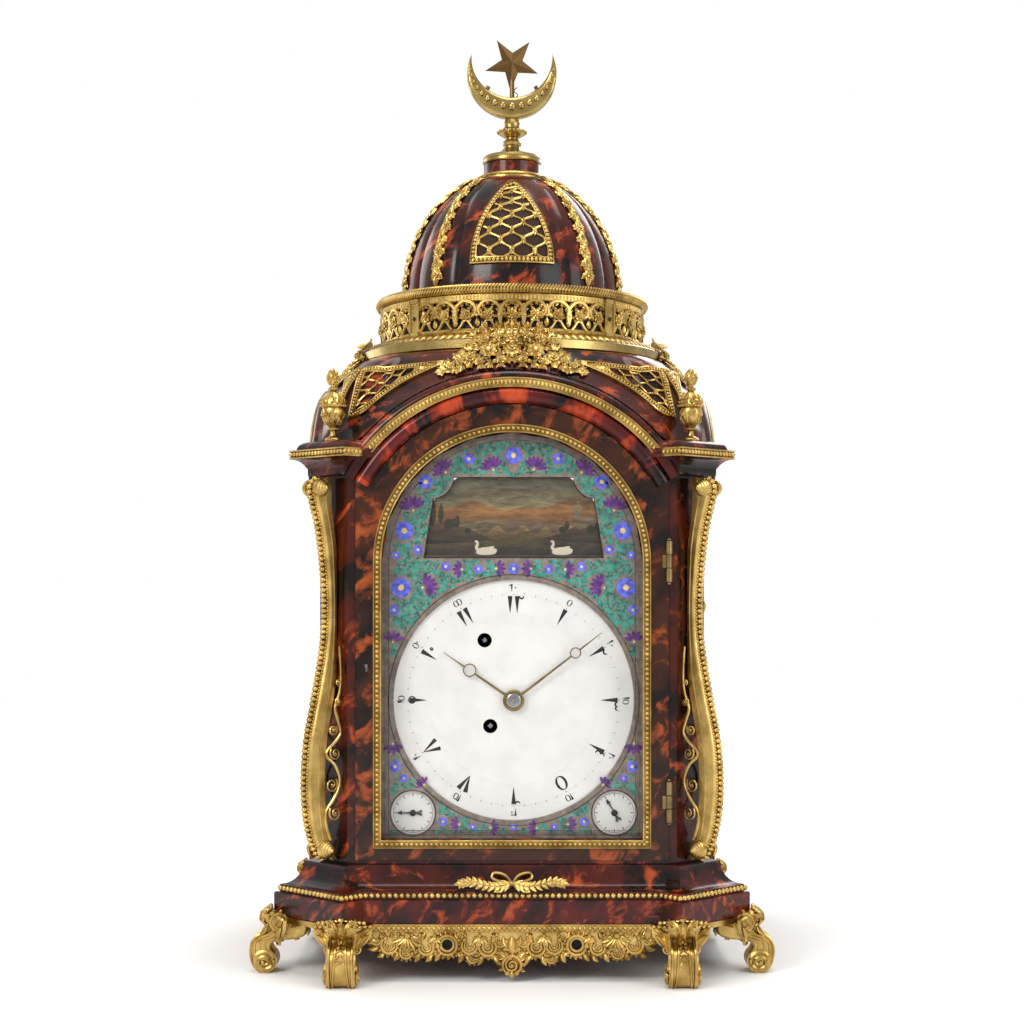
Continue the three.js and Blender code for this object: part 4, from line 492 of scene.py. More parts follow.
class Relief:
    """Closed shapes in ornament space: across, along and proud of the ground, in millimetres."""

    def __init__(self):
        self.points = []
        self.faces = []

    def __iter__(self):
        return iter((self.points, self.faces))

    def add(self, points, faces):
        start = len(self.points)
        self.points.extend(map(tuple, points))
        self.faces.extend(tuple(start + i for i in face) for face in faces)
        return self

    def tube(self, path, radii, sides=6, proud=1.0):
        """A stem along a path, with one radius or one for each point."""
        path = np.asarray(path, float)
        radii = np.broadcast_to(radii, len(path))
        sections = []
        for i, centre in enumerate(path):
            along = unit(path[min(i + 1, len(path) - 1)] - path[max(i - 1, 0)])
            reference = (0, 0, 1) if abs(along[2]) < 0.95 else (1, 0, 0)
            side = unit(np.cross(along, reference))
            up = np.cross(side, along) * proud
            sections.append([centre + radii[i] * (c * side + s * up) for c, s, _ in circle(1, sides)])
        return self.add(*rings(sections))

    def ball(self, centre, radii, facets=6):
        tilts = np.linspace(-math.pi / 2, math.pi / 2, facets // 2 + 2)
        levels = [np.array(circle(math.cos(tilt), facets, height=math.sin(tilt))) for tilt in tilts]
        return self.add(*rings([np.asarray(centre) + level * radii for level in levels]))

    def leaf(self, base, tip, width, rise=1.5, bend=0.0, stations=7):
        """A pointed leaf with a mid rib. It bends sideways by a share of its length."""
        base, tip = np.asarray(base, float), np.asarray(tip, float)
        along = tip - base
        side = unit(np.cross(along, (0, 0, 1)))
        length = np.linalg.norm(along)
        sections = []
        for s in np.linspace(0, 1, stations):
            swell = math.sin(math.pi * s**0.8) ** 0.8 if 0 < s < 1 else 0
            middle = base + along * s + side * bend * length * math.sin(math.pi * s) * 0.5
            half = side * width / 2 * swell
            top = np.array((0, 0, rise * swell))
            across_up = (-1, 0), (-0.45, 0.75), (0, 0.45), (0.45, 0.75), (1, 0), (0, -0.25)
            sections.append([middle + half * across + top * up for across, up in across_up])
        return self.add(*rings(sections))

    def flower(self, centre, radius, petals=5, rise=2.5, turn=0.0):
        """Open petals round a raised eye."""
        centre = np.asarray(centre, float)
        width = 2.1 * radius * math.sin(math.pi / petals)
        for k in range(petals):
            out = np.array((*aimed(math.degrees(turn) + 360 * k / petals), 0)) * radius
            start, end = centre + out * 0.18 + (0, 0, rise * 0.2), centre + out + (0, 0, rise * 0.45)
            self.leaf(start, end, width, rise * 0.7, stations=5)
        return self.ball(centre + (0, 0, rise * 0.55), (radius * 0.3, radius * 0.3, rise * 0.5))

    def scroll(self, centre, radius, thickness, start=0.0, turns=1.3, height=0.0, hand=1):
        """A stem that curls in to an eye. Angles are in degrees; hand 1 curls anticlockwise."""
        shares = np.linspace(0, 1, max(10, int(turns * 14)))
        path = []
        for t in shares:
            out = aimed(start + hand * turns * 360 * t) * radius * (1 - 0.78 * t)
            path.append((centre[0] + out[0], centre[1] + out[1], height + t * thickness * 0.5))
        self.tube(path, thickness / 2 * (1 - 0.35 * shares))
        return self.ball((*centre, height + thickness * 0.4), thickness * 0.62)

    def mirrored(self):
        """Adds the same shapes again on the other side of the middle."""
        return self.add([(-u, v, w) for u, v, w in self.points], [face[::-1] for face in self.faces])

    def laid(self, ground):
        """The points carried on to a ground, which maps across, along and proud to a place."""
        return np.array([ground(*point) for point in self.points])


def along_curve(curve, across_at):
    """A ground that follows a curve of [reach, height], seen from outside it."""
    curve = np.asarray(curve, float)
    steps = np.linalg.norm(np.diff(curve, axis=0), axis=1)
    travelled = np.concatenate([[0], np.cumsum(steps)])

    def ground(u, v, w):
        v = min(max(v, 0), travelled[-1] - 1e-6)
        i = int(np.searchsorted(travelled, v, side="right")) - 1
        f = (v - travelled[i]) / steps[i]
        reach, height = curve[i] * (1 - f) + curve[i + 1] * f
        low, high = curve[max(i - 1, 0)], curve[min(i + 2, len(curve) - 1)]
        down = unit(high - low)
        return across_at + u, -(reach - down[1] * w), height + down[0] * w

    return ground, travelled[-1]


def prism(outline, low, high):
    """A closed slab between two values: the outline's own columns come first."""
    return rings([lifted(outline, z) for z in (low, high)])


def upright(outline, front, back):
    """A closed slab across Y from an outline of [across, up]."""
    points, faces = prism(outline, -front, -back)
    return [(x, y, z) for x, z, y in points], faces


def lathe(profile, facets, axis="Z", centre=(0, 0), closed=False):
    """Turns a profile of [radius, place] about an axis through a centre."""
    order = {"Z": [0, 1, 2], "Y": [0, 2, 1], "X": [2, 0, 1]}[axis]
    return rings([np.array(circle(r, facets, centre, z))[:, order] for r, z in profile], closed)


def cee(shapes, centre, radius, start, sweep, thickness=3.2, ribs=7, height=1.0):
    """A C-scroll: a thick arc between two curled eyes, with a fluted fringe outside it."""
    end = start + sweep
    swell = thickness / 2 * (0.45 + 0.55 * np.sin(np.linspace(0.25, math.pi - 0.25, 18)))
    path = lifted(arc(centre, radius, start, end, 18), height)
    shapes.tube(path, swell, 6, 1.2)
    for scale, weight in ((0.62, 0.7), (0.3, 0.55)) if abs(sweep) < 340 else ():
        shapes.tube(lifted(arc(centre, scale * radius, start, end, 18), height), weight * swell, 5)
    step = sweep / 17
    for angle in np.linspace(start + 2 * step, end - 2 * step, ribs):
        low, high = [centre + aimed(angle) * reach for reach in (radius, radius + thickness * 1.25)]
        shapes.leaf((*low, height - 0.2), (*high, height - 0.4), thickness, 2.0, 0.3, 5)
    for u, v, _ in (path[0], path[-1]):
        shapes.ball((u, v, height + 0.3), thickness * 0.62, 8)


LEG_HALF = 9.6
FOOT_TOP = 40.7
LEG_FACE = smooth(
    [
        (176.8, 45.1), (180.4, 44.2), (183.2, 40.6), (180.6, 36.6), (177.6, 33.0), (180.6, 29.3),
        (186.4, 27.0), (190.4, 23.4), (192.0, 16.5), (191.2, 9.5), (188.6, 4.0), (184.6, 0.9), (181.4, 0.0)
    ],
    46
)
LEG_BACK = smooth(
    [
        (177.8, 1.2), (174.2, 4.6), (173.0, 9.0), (174.4, 14.2), (177.2, 19.4), (174.6, 22.6),
        (168.6, 23.4), (160.6, 24.2), (152.4, 27.0), (150.4, 33.0), (150.2, 40.4)
    ],
    28
)
VOLUTE = (181.5, 8.6)


def crowned(outline, half, edge):
    """A slab across X whose edges are rounded off by shrinking the outline at its sides."""
    after = np.roll(outline, -1, axis=0)
    ahead = after - np.roll(outline, 1, axis=0)
    inward = np.column_stack([-ahead[:, 1], ahead[:, 0]])
    inward /= np.maximum(np.linalg.norm(inward, axis=1, keepdims=True), 1e-9)
    area = np.sum(outline[:, 0] * after[:, 1] - outline[:, 1] * after[:, 0])
    inward *= math.copysign(edge, area)
    sections = []
    rounding = (1, 1), (0.93, 0.45), (0.78, 0.12), (0.5, 0)
    for place, inset in [(-place, inset) for place, inset in rounding] + [*rounding[::-1]]:
        sections.append([(half * place, -reach, height) for reach, height in outline + inward * inset])
    return rings(sections)


def leg():
    """One scroll leg, facing the front at the right-hand corner."""
    shapes = Relief()
    body, faces = crowned(np.vstack([LEG_FACE, LEG_BACK]), LEG_HALF, 1.6)
    shapes.add([(x + CORNER_HALF, y, z) for x, y, z in body], faces)
    for side in (-1, 1):
        cone = [(r, CORNER_HALF + side * place) for r, place in ((0, 9), (8.8, 9), (8.8, 10.2), (0, 10.8))]
        shapes.add(*lathe(cone, 20, "X", (-VOLUTE[0], VOLUTE[1])))
        curl = []
        for t in np.linspace(0, 1, 34):
            angle, reach = 0.6 + 11.2 * t, 7.6 - 6.0 * t
            out = CORNER_HALF + side * (10.6 + 1.8 * t)
            curl.append((out, -(VOLUTE[0] + reach * math.cos(angle)), VOLUTE[1] + reach * math.sin(angle)))
        shapes.tube(curl, 1.75 - 0.8 * np.linspace(0, 1, 34))
        shapes.ball(curl[-1], (1.4, 1.9, 1.9), 8)
    knee = [
        (150, 40.6), (152.6, 35.6), (158, 32), (165, 30.4), (172, 30.2), (178, 33), (182, 39), (180, 44)
    ]
    knee = np.vstack([smooth([*knee, (174, 44.4)], 26), [(168, 40.6)]])
    body, faces = crowned(knee, LEG_HALF - 0.6, 1.4)
    shapes.add([(x + CORNER_HALF, y, z) for x, y, z in body], faces)
    ornament = Relief()
    ground, length = along_curve(LEG_FACE, CORNER_HALF)
    for side in (-1, 1):
        for k, (low, high, width) in enumerate(((2, 17, 6), (5, 14, 5.4), (8, 10, 4.6), (1, 19, 5))):
            tip = (side * high * 0.62, 1.5 + 2.2 * k, 1.8)
            ornament.leaf((side * low, 16 - k, 0.6), tip, width, 2.6, side * 0.3, 7)
        shares = np.linspace(0, 1, 14)
        ornament.tube([(side * (2.4 + 3.4 * t), 17 + (length - 22) * t, 0.4) for t in shares], 1.0)
        ornament.tube([(side * (LEG_HALF - 1.4), 14 + (length - 17) * t, 0.4) for t in shares], 1.1)
        for k in range(5):
            ornament.ball((side * (3.4 + 3.2 * k), 1.4 + 0.5 * k, 1.2), (1.7, 1.5, 1.3), 8)
            tip = (side * (2.4 + 0.4 * k), 23.4 + 4.6 * k, 0.5)
            ornament.leaf((side * 0.4, 19 + 4.6 * k, 0.4), tip, 2.2, 1.2, 0, 5)
    ornament.leaf((0, 22, 0.6), (0, 2, 2.4), 7.5, 3.4, 0, 9)
    ornament.ball((0, 1.4, 1.8), (2.6, 2.4, 2.2), 8)
    shapes.add(ornament.laid(ground), ornament.faces)
    bracket = Relief()
    wing = [(4, 20), (9.4, 20), (11.4, 24.6), (16.4, 28.4), (20.5, 33.5), (21.5, 40.4), (4, 40.4)]
    bracket.add(*prism(wing, 6.6, 9))
    bracket.add(*prism([(-u, v) for u, v in wing], 6.6, 9))
    for side in (-1, 1):
        for u, v, x, y, width in (
            (6, 24, 16, 39, 7), (9, 22, 19.4, 35, 6), (5, 27, 10, 40.4, 6), (8, 22, 13, 27.5, 4.6),
            (12, 33, 21, 39.8, 5)
        ):
            bracket.leaf((side * u, v, 9), (side * x, y, 9.6), width, 3.2, side * -0.25, 6)
        bracket.scroll((side * 10.6, 24.2), 3.2, 1.8, 120 if side > 0 else 60, 1.1, 9.4, -side)
        for k in range(4):
            bracket.ball((side * (8.5 + 3.8 * k), 40.8, 9.4), (2.0, 1.5, 2.2), 8)
    lean = [(u, v, w - 0.44 * max(abs(u) - 5, 0)) for u, v, w in bracket.points]
    shapes.add([(CORNER_HALF + u, -(165 + w), v) for u, v, w in lean], bracket.faces)
    flank = Relief()
    cee(flank, (171.4, 37), 6.2, 200, 300, 2.8, 8, -0.7)
    cee(flank, (181.4, 41), 2.4, -60, 270, 2.0, 4, -0.3)
    blades = [(165, 35, 152, 38.6, 4.4), (164, 33, 154, 34.6, 3.6), (180, 35, 186, 27.4, 4.4)]
    blades.append((184, 29, 189.6, 22, 4))
    for u, v, x, y, width in blades:
        flank.leaf((u, v, -0.8), (x, y, -0.4), width, 2.2, 0.25, 6)
    for u in np.linspace(152, 176, 9):
        flank.ball((u, 40.9, -0.6), (1.5, 1.3, 1.5), 8)
    share = np.linspace(0, len(LEG_BACK) - 1, len(LEG_FACE))
    inner = [np.interp(share, range(len(LEG_BACK)), LEG_BACK[::-1, i]) for i in (0, 1)]
    for f in (0.16, 0.42, 0.68):
        line = (LEG_FACE * (1 - f) + np.column_stack(inner) * f)[12:34]
        flank.tube(lifted(line, -0.1), 0.95)
    for side in (-1, 1):
        shapes.add([(CORNER_HALF + side * (LEG_HALF + w), -u, v) for u, v, w in flank.points], flank.faces)
    return shapes


def across_corner(points):
    """Mirrors points of a corner across its diagonal plane."""
    return [(-y, -x, z) for x, y, z in points]


def mounts(name, points, faces, places, stood_for=None):
    """A gilt casting on each side or corner; where it is told, each stands for a CAD node."""
    for k, place in enumerate(places):
        made = piece(f"{name}_{place}", turned(points, k), faces, gilt)
        if stood_for:
            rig.replaces(made, f"{stood_for}_{place}")
        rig.slot(made, "gilt_bronze")


feet = leg()
feet.add(across_corner(feet.points), [face[::-1] for face in feet.faces])
near = CORNER_HALF - 17
plate = [(near, -159), (121, -175), (175, -121), (159, -near), (140, -near), (near, -140)]
feet.add(*prism(plate, FOOT_TOP - 4, FOOT_TOP))
mounts("scroll_foot", *feet, CORNERS, "foot")

# Aprons. A pierced and gilded casting hangs between each two feet: rococo scrolls, rings and
# shells round a middle volute, under a strip of beads that is screwed to the block's edge.

APRON_PLACE = 162
APRON_HALF = 101
STRIP_BOTTOM = 36


def fan(shapes, centre, radius, ribs, start, end, height=0.0):
    """A shell: ribs that spread from a point, each with a rounded end."""
    for angle in np.linspace(start, end, ribs):
        out = aimed(angle) * radius
        low, high = (*(centre + out * 0.15), height), (*(centre + out), height + 0.8)
        shapes.leaf(low, high, radius * 1.5 / ribs + 1.4, 1.6, stations=5)
    shapes.ball((*centre, height + 0.8), radius * 0.2)


def carve(made, *cutters):
    """Cuts closed meshes out of a piece."""
    for points, faces in cutters:
        tool = meshed("cutter", points, faces)
        modifier = made.modifiers.new("carve", "BOOLEAN")
        modifier.object = tool
        modifier.solver = "EXACT"
        graph = bpy.context.evaluated_depsgraph_get()
        cut = bpy.data.meshes.new_from_object(made.evaluated_get(graph), depsgraph=graph)
        made.modifiers.remove(modifier)
        made.data = cut
        bpy.data.objects.remove(tool)
        settle(cut)


castings = Relief()
for centre, radius, start, sweep, thickness, ribs in (
    ((8.5, 30), 4.6, 60, -230, 2.6, 5), ((17.5, 25.2), 6.2, 130, 250, 3.2, 8),
    ((30.5, 26), 5.6, 50, -240, 3.0, 8), ((28, 17.5), 3.6, 200, 200, 2.4, 5),
    ((46.5, 26.5), 6.9, 0, 355, 3.4, 13), ((36.5, 32.5), 3.0, 160, -220, 2.2, 4),
    ((61.5, 25), 5.2, 120, 260, 3.0, 8), ((76, 21.5), 4.4, 190, 190, 2.6, 6),
    ((88, 26.5), 5.8, 60, -250, 3.2, 8), ((97.5, 31), 4.0, 150, 230, 2.6, 5),
    ((69, 33), 3.0, 20, -220, 2.2, 4), ((84, 33.5), 2.6, 160, 220, 2.0, 3)
):
    cee(castings, centre, radius, start, sweep, thickness, ribs)
for u, radius, ribs, start in ((75, 12, 8, 205), (23, 8, 5, 225), (55.5, 7, 5, 230)):
    fan(castings, (u, 33.5), radius, ribs, start, 540 - start, 1.6)
for u, v, x, y, width in (
    (10, 22, 2.5, 14.5, 5), (14, 20, 9.6, 11.6, 4.4), (22, 19, 25, 11.6, 4.4), (36, 21, 38.5, 13.6, 4.4),
    (33, 20, 31, 12.8, 4), (40, 22, 36, 16, 4), (52.5, 21, 55.5, 14.6, 4.2), (58, 20, 62, 14.2, 4.4),
    (67, 21, 70, 14, 4.4), (82, 21, 84.5, 15, 4.4), (92, 21, 97, 17.5, 4.4), (95, 26, 104, 23.5, 5),
    (96, 29, 106, 30, 5), (38, 31, 41, 36, 4), (12, 27, 13, 35, 4), (2.4, 24, 6.5, 33, 4.4),
    (64, 30, 62, 36, 4), (91, 32, 95, 36.5, 4), (4.5, 20, 10, 16, 4)
):
    castings.leaf((u, v, 1.0), (x, y, 1.0), width, 2.0, 0.2, 6)
castings.mirrored()
cee(castings, (0, 12.4), 6.6, -60, 300, 3.4, 9, 1.6)
castings.scroll((0, 12.4), 5.0, 2.6, 90, 1.6, 2.2, 1)
castings.leaf((0, 20, 1.8), (0, 33, 1.2), 7, 2.8)
castings.leaf((0, 8, 1.8), (0, 2.4, 1.4), 5, 2.0)
PLATE = [
    (0, 17), (10, 15.5), (20, 17), (36, 18.5), (46, 17.5), (57, 19), (76, 18), (86, 19), (95, 23),
    (101, 28), (101, 36.4)
]
HOLES = [(46.5, 26.5, 3.9), (13, 33.2, 2.0), (38.6, 27.6, 2.4), (54.4, 27.4, 2.0), (64, 34.2, 1.7)]
HOLES += [(81.5, 28.4, 2.6), (92.5, 34, 1.8)]


def oblong(low_x, high_x, low_z, high_z):
    return [(low_x, low_z), (high_x, low_z), (high_x, high_z), (low_x, high_z)]


aprons = Relief().add([(u, -(APRON_PLACE + w), v) for u, v, w in castings.points], castings.faces)
strip_edge = oblong(-APRON_HALF, APRON_HALF, STRIP_BOTTOM, FOOT_TOP)
aprons.add(*upright(strip_edge, APRON_PLACE + 0.6, APRON_PLACE - 4))
for edge in (STRIP_BOTTOM, FOOT_TOP):
    aprons.tube([(u, -(APRON_PLACE + 0.6), edge) for u in (-APRON_HALF, APRON_HALF)], 0.6)
mounts("pierced_apron", *aprons, SIDES, "apron")
holes = Relief()
for u, v, radius in HOLES:
    for hand in (-1, 1):
        edge = [(radius, -APRON_PLACE - 3), (radius, 3 - APRON_PLACE)]
        holes.add(*lathe(edge, 16, "Y", (hand * u, v)))
apron_plate = upright(PLATE + [(-u, v) for u, v in PLATE[:0:-1]], APRON_PLACE - 0.2, APRON_PLACE - 1.6)
for k, side in enumerate(SIDES):
    made = piece(f"apron_plate_{side}", *apron_plate, gilt)
    carve(made, holes)
    made.data.transform(Matrix.Rotation(k * math.pi / 2, 4, "Z"))
    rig.slot(made, "gilt_bronze")
    middle = (STRIP_BOTTOM + FOOT_TOP) / 2
    row = [(hand * (APRON_HALF - 1.5), -(APRON_PLACE + 0.9), middle) for hand in (-1, 1)]
    beads(f"apron_beads_{side}", [(turned(row, k), False)], 3.6, (1.6, 1.5, 1.7))
# A near-black finish for painted shade. The rails behind the aprons are dark sheets that stand for the shadow under
# the block, seen through the pierced castings.
shade = finish("blackened wood", (0.010, 0.007, 0.006), 0.6)
rail, faces = upright(oblong(-104, 104, 24, 40.6), 155.5, 154)
rails = Relief()
for k in range(4):
    rails.add(turned(rail, k), faces)
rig.slot(piece("plinth_rails", *rails, shade), "shell_veneer")

# Case. Veneered walls with chamfered corners and an arched top on every side, a recess and an
# opening for each door. The photograph shows it nearly black with red clouds, highly polished.

ARCH_CENTRE, ARCH_RADIUS = 297, 120.3

nodes = frame["nodes"]


def clad(name, material, slot):
    """Gives a CAD node that keeps its shape its finish."""
    made = nodes[name]
    made.data.materials.clear()
    made.data.materials.append(material)
    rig.slot(made, slot)


clad("carcass", shell, "shell_veneer")

# Cornice. A mitred moulding on the case's plan with a gilt bead strip, broken on each side by
# an arched pediment: a clouded hollow, a broad bead strip and a rounded outer moulding.

CORNICE_FOOT, CORNICE_TOP = 365.3, 390.5
CORNICE_REACH = 150.7
BEAD_REACH = 165.5
ARCH_OUTER, ARCH_FRONT, ARCH_BEAD = 144, 152, 135
ARCH_FACETS = 144


def swept_arch(section, start, end, steps):
    """Sweeps a closed [radius, reach] section round the arch's centre on the front."""
    levels = []
    for angle in np.linspace(start, end, steps):
        c, s = aimed(angle)
        levels.append([(radius * c, -reach, ARCH_CENTRE + radius * s) for radius, reach in section])
    return rings(levels)


def arch_start(radius):
    """The angle at which an arch of a radius rises out of the cornice's underside."""
    return math.degrees(math.asin((CORNICE_FOOT - ARCH_CENTRE) / radius))


hollow = [(0, 0), (1, 3)]
hollow += [(1 + 12.6 * (1 - math.cos(a)), 3 + 9.4 * math.sin(a)) for a in np.linspace(0.1, math.pi / 2, 10)]
shoulder = [
    (1.4, 12.9), (1.4, 18.7), (6, 19), (6.4, 20.6), (7.8, 22.6), (11, 24.4),
    (14.5, CORNICE_TOP - CORNICE_FOOT)
]
cornice_steps = [(CORNICE_REACH + out, CORNICE_FOOT + up) for out, up in hollow]
cornice_steps += [(BEAD_REACH - back, CORNICE_FOOT + up) for back, up in shoulder]
cornice = piece("cornice_moulding", *moulded(cornice_steps), shell)
tunnel = circle(ARCH_RADIUS + 3, ARCH_FACETS, (0, ARCH_CENTRE))
flat, faces = upright(tunnel, 220, -220)
CUTTERS = (ARCH_OUTER - 1.5, 378), (131.6, 357.5)
mouths = []
for radius, end in CUTTERS:
    points, mouth_faces = upright(arc((0, ARCH_CENTRE), radius, 0, end, ARCH_FACETS), 220, ARCH_FRONT - 1)
    mouths.append(Relief())
    for k in range(4):
        mouths[-1].add(turned(points, k), mouth_faces)
carve(
    cornice, (flat, faces), ([(y, x, z) for x, y, z in flat], faces),
    prism(oblong(-118, 118, -118, 118), CORNICE_FOOT - 5, CORNICE_TOP + 5), *mouths
)
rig.replaces(cornice, "cornice")
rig.slot(cornice, "shell_veneer")

ROLL_RADIUS, ROLL_HALF = 125.9, 5.7
arch_section = [(-3.4, -1.6), (3.4, -1.6), (3.4, -3.2)]
arch_section += [(4.4 + 4.6 * math.sin(a), 5.2 * math.cos(a) - 7.4) for a in np.linspace(0, math.pi / 2, 6)]
arch_section = [(ARCH_BEAD + out, ARCH_FRONT + proud) for out, proud in arch_section]
arch_section += [(ARCH_OUTER, 128.4), (ROLL_RADIUS, 128.4), (ROLL_RADIUS, 142), (ARCH_BEAD - 3.4, 145)]
roll = [(ROLL_HALF * math.cos(a), 6.2 - 6.2 * math.sin(a)) for a in np.linspace(0.15, math.pi, 14)]
roll_section = [(ARCH_RADIUS, 130), (ARCH_RADIUS, ARCH_FRONT - 6.6)]
roll_section += [(ROLL_RADIUS - inward, ARCH_FRONT - back) for inward, back in roll]
roll_section += [(ROLL_RADIUS + ROLL_HALF, 144), (ROLL_RADIUS, 143), (ROLL_RADIUS, 130)]
low = arch_start(ARCH_BEAD)


def map_arch(made, quarter_turns):
    """A UV map in metres: along the arch, and across its section."""
    layer = made.data.uv_layers.new(name="along the arch")
    corners = np.array([made.data.vertices[loop.vertex_index].co for loop in made.data.loops]) * 1000
    x, y, z = turned(corners, -quarter_turns).T
    z -= ARCH_CENTRE
    flat = np.column_stack([ARCH_RADIUS * np.arctan2(z, x), np.hypot(x, z) - y * 0.6])
    layer.data.foreach_set("uv", flat.ravel() / 1000)


arches = ("arch_moulding", arch_section, shell), ("arch_cove", roll_section, glowing_shell)
for name, section, material in arches:
    points, faces = swept_arch(section, low - 1.2, 181.2 - low, 96)
    for k, side in enumerate(SIDES):
        made = piece(f"{name}_{side}", turned(points, k), faces, material)
        map_arch(made, k)
        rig.slot(made, "shell_veneer")

CORNICE_BEADS = CORNICE_FOOT + 15.8
BEAD_GAP = 3.55
straight = corner_plan(BEAD_REACH - 1.0)
arch_low = math.degrees(math.asin((CORNICE_BEADS + 3.4 - ARCH_CENTRE) / ARCH_BEAD))
arch_path = arc((0, ARCH_CENTRE), ARCH_BEAD, arch_low, 180 - arch_low, 120)
strip_ends = math.sqrt((ARCH_BEAD + 3.4) ** 2 - (CORNICE_BEADS - ARCH_CENTRE) ** 2)
front = straight[:4] + (0, 0, CORNICE_BEADS)
near_end, far_end = (strip_ends, front[0][1], CORNICE_BEADS), (-front[0][1], -strip_ends, CORNICE_BEADS)
run = np.vstack([near_end, front, far_end])
band = oblong(0.985, 0.9975, -2.8, 2.8)
rows = []
strips = Relief()
for k in range(4):
    rows.append((turned(run, k), False))
    for edge in (-2.6, 2.6):
        strips.tube(turned(run + (0, 0, edge), k), 0.62)
    sections = [
        [(*(point[:2] * share), CORNICE_BEADS + up) for share, up in band] for point in turned(run, k)
    ]
    strips.add(*rings(sections))
beads("cornice_beads", rows, BEAD_GAP, (1.7, 1.75, 1.7))
rows = [(turned([(x, -(ARCH_FRONT - 1.1), z) for x, z in arch_path], k), False) for k in range(4)]
beads("arch_beads", rows, 2.95, (1.3, 1.75, 1.9))
ledge = Relief()
for radius in (ARCH_BEAD - 3.0, ARCH_BEAD + 3.0):
    path = arc((0, ARCH_CENTRE), radius, arch_low - 0.8, 180.8 - arch_low, 80)
    ledge.tube(lifted(path, ARCH_FRONT - 1.3), 0.7)
strip = [
    (ARCH_BEAD + out, ARCH_FRONT - back) for out, back in ((-3.3, 2.4), (-3.3, 1.5), (3.3, 1.5), (3.3, 2.4))
]
ledge.points = [(u, -w, v) for u, v, w in ledge.points]
ledge.add(*swept_arch(strip, arch_low - 1.2, 181.2 - arch_low, 96))
for k in range(4):
    strips.add(turned(ledge.points, k), ledge.faces)
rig.slot(piece("cornice_bead_strips", *strips, gilt), "gilt_bronze")

# Roof. A cushioned shell-veneered cover from the arches and the cornice up to the round band.
# It is one curved surface, so a mount can be laid on it by its own across and up shares.

ROOF_FACE, ROOF_CORNER = 142, 124
ROOF_FOOT, ROOF_TOP = 390.8, 460.5
ROOF_OVER_ARCH = ARCH_OUTER + 1.3
BAND_RADIUS = 120


def roof_point(u, t, inset=0.0):
    """The front quarter of the roof: u from -1 to 1 across, t from 0 at the foot to 1."""
    corner, face = ROOF_CORNER - inset, ROOF_FACE - inset
    x = u * corner
    arch_foot = math.sqrt(ROOF_OVER_ARCH**2 - (ROOF_FOOT - ARCH_CENTRE) ** 2)
    if abs(x) < arch_foot:
        y, z = -face, ARCH_CENTRE + math.sqrt(ROOF_OVER_ARCH**2 - x**2)
    else:
        beyond = (abs(x) - arch_foot) / (corner - arch_foot)
        y, z = -(face + (corner - face) * beyond), ROOF_FOOT
    across, out = aimed(90 - 45 * u) * (BAND_RADIUS - inset)
    top = np.array((across, -out, ROOF_TOP))
    low = np.array((x, y, z))
    edge = min(max((abs(u) - 0.75) / 0.25, 0), 1)
    edge = edge * edge * (3 - 2 * edge)
    steep = top + (low - top) * (0.95, 0.4 + 0.55 * edge, 0.51)
    flat = top + (low - top) * (0.75, 0.22 + 0.53 * edge, 0.05)
    point = (1 - t) ** 3 * low + 3 * t * (1 - t) ** 2 * steep + 3 * t**2 * (1 - t) * flat + t**3 * top
    point[2] -= 4 * inset * t * (1 - t)
    return point


def roof_ring(t, inset):
    front = [roof_point(u, t, inset) for u in np.linspace(-1, 1, 48, endpoint=False)]
    return np.vstack([turned(front, k) for k in range(4)])


shares = np.linspace(0, 1, 18)
levels = [roof_ring(t, 0) for t in shares] + [roof_ring(t, 6) for t in shares[::-1]]
roof = piece("roof_cushion", *rings(levels, closed=True), shell)
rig.replaces(roof, "roof")
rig.slot(roof, "shell_veneer")


def roof_at(x, z, proud):
    """The place on the roof's front that lies at an across and a height."""
    u = x / ROOF_CORNER
    for _ in range(3):
        low, high = 0.0, 1.0
        for _ in range(11):
            t = (low + high) / 2
            below = roof_point(u, t)[2] < z
            low, high = (t, high) if below else (low, t)
        u += (x - roof_point(u, t)[0]) / ROOF_CORNER
    u = min(max(u, -0.995), 0.995)
    across = roof_point(u + 0.004, t) - roof_point(u - 0.004, t)
    up = roof_point(u, min(t + 0.01, 1)) - roof_point(u, max(t - 0.01, 0))
    return roof_point(u, t) + unit(np.cross(across, up)) * proud

# Corner consoles. An S-shaped gilt bracket stands edge on against each chamfered corner: a row
# of beads on its edge, a groove along both flanks, snail-shell bosses at both ends, and a thin
# vine that fills the space behind it.

CONSOLE_WALL = 131.3
CONSOLE_HALF = 5.7
CONSOLE_LINE = [
    (137.3, 83.8, 9), (142.3, 88.8, 11), (147.3, 101.8, 13), (150.3, 119.8, 15), (151.3, 143.8, 15.5),
    (149.3, 173.8, 15), (143.8, 205.8, 14), (139.1, 237.8, 12), (137.5, 263.8, 11), (138.5, 293.8, 11),
    (141.5, 323.8, 11), (145, 341.8, 13), (147, 352.8, 16), (145.5, 359.8, 14), (141, 363.6, 8)
]
console_line = smooth(CONSOLE_LINE, 90)


def beside_corner(u, v, w):
    """Ornament space in a console's own plane: out from the wall, up, and across the strip."""
    out = CONSOLE_WALL + u / math.sqrt(2)
    return out + w / math.sqrt(2), -out + w / math.sqrt(2), v


def off_wall(reach, back=0.0):
    """The way out from the chamfer, in a console's plane, of a reach to its front."""
    return (reach - back - CONSOLE_WALL) * math.sqrt(2)


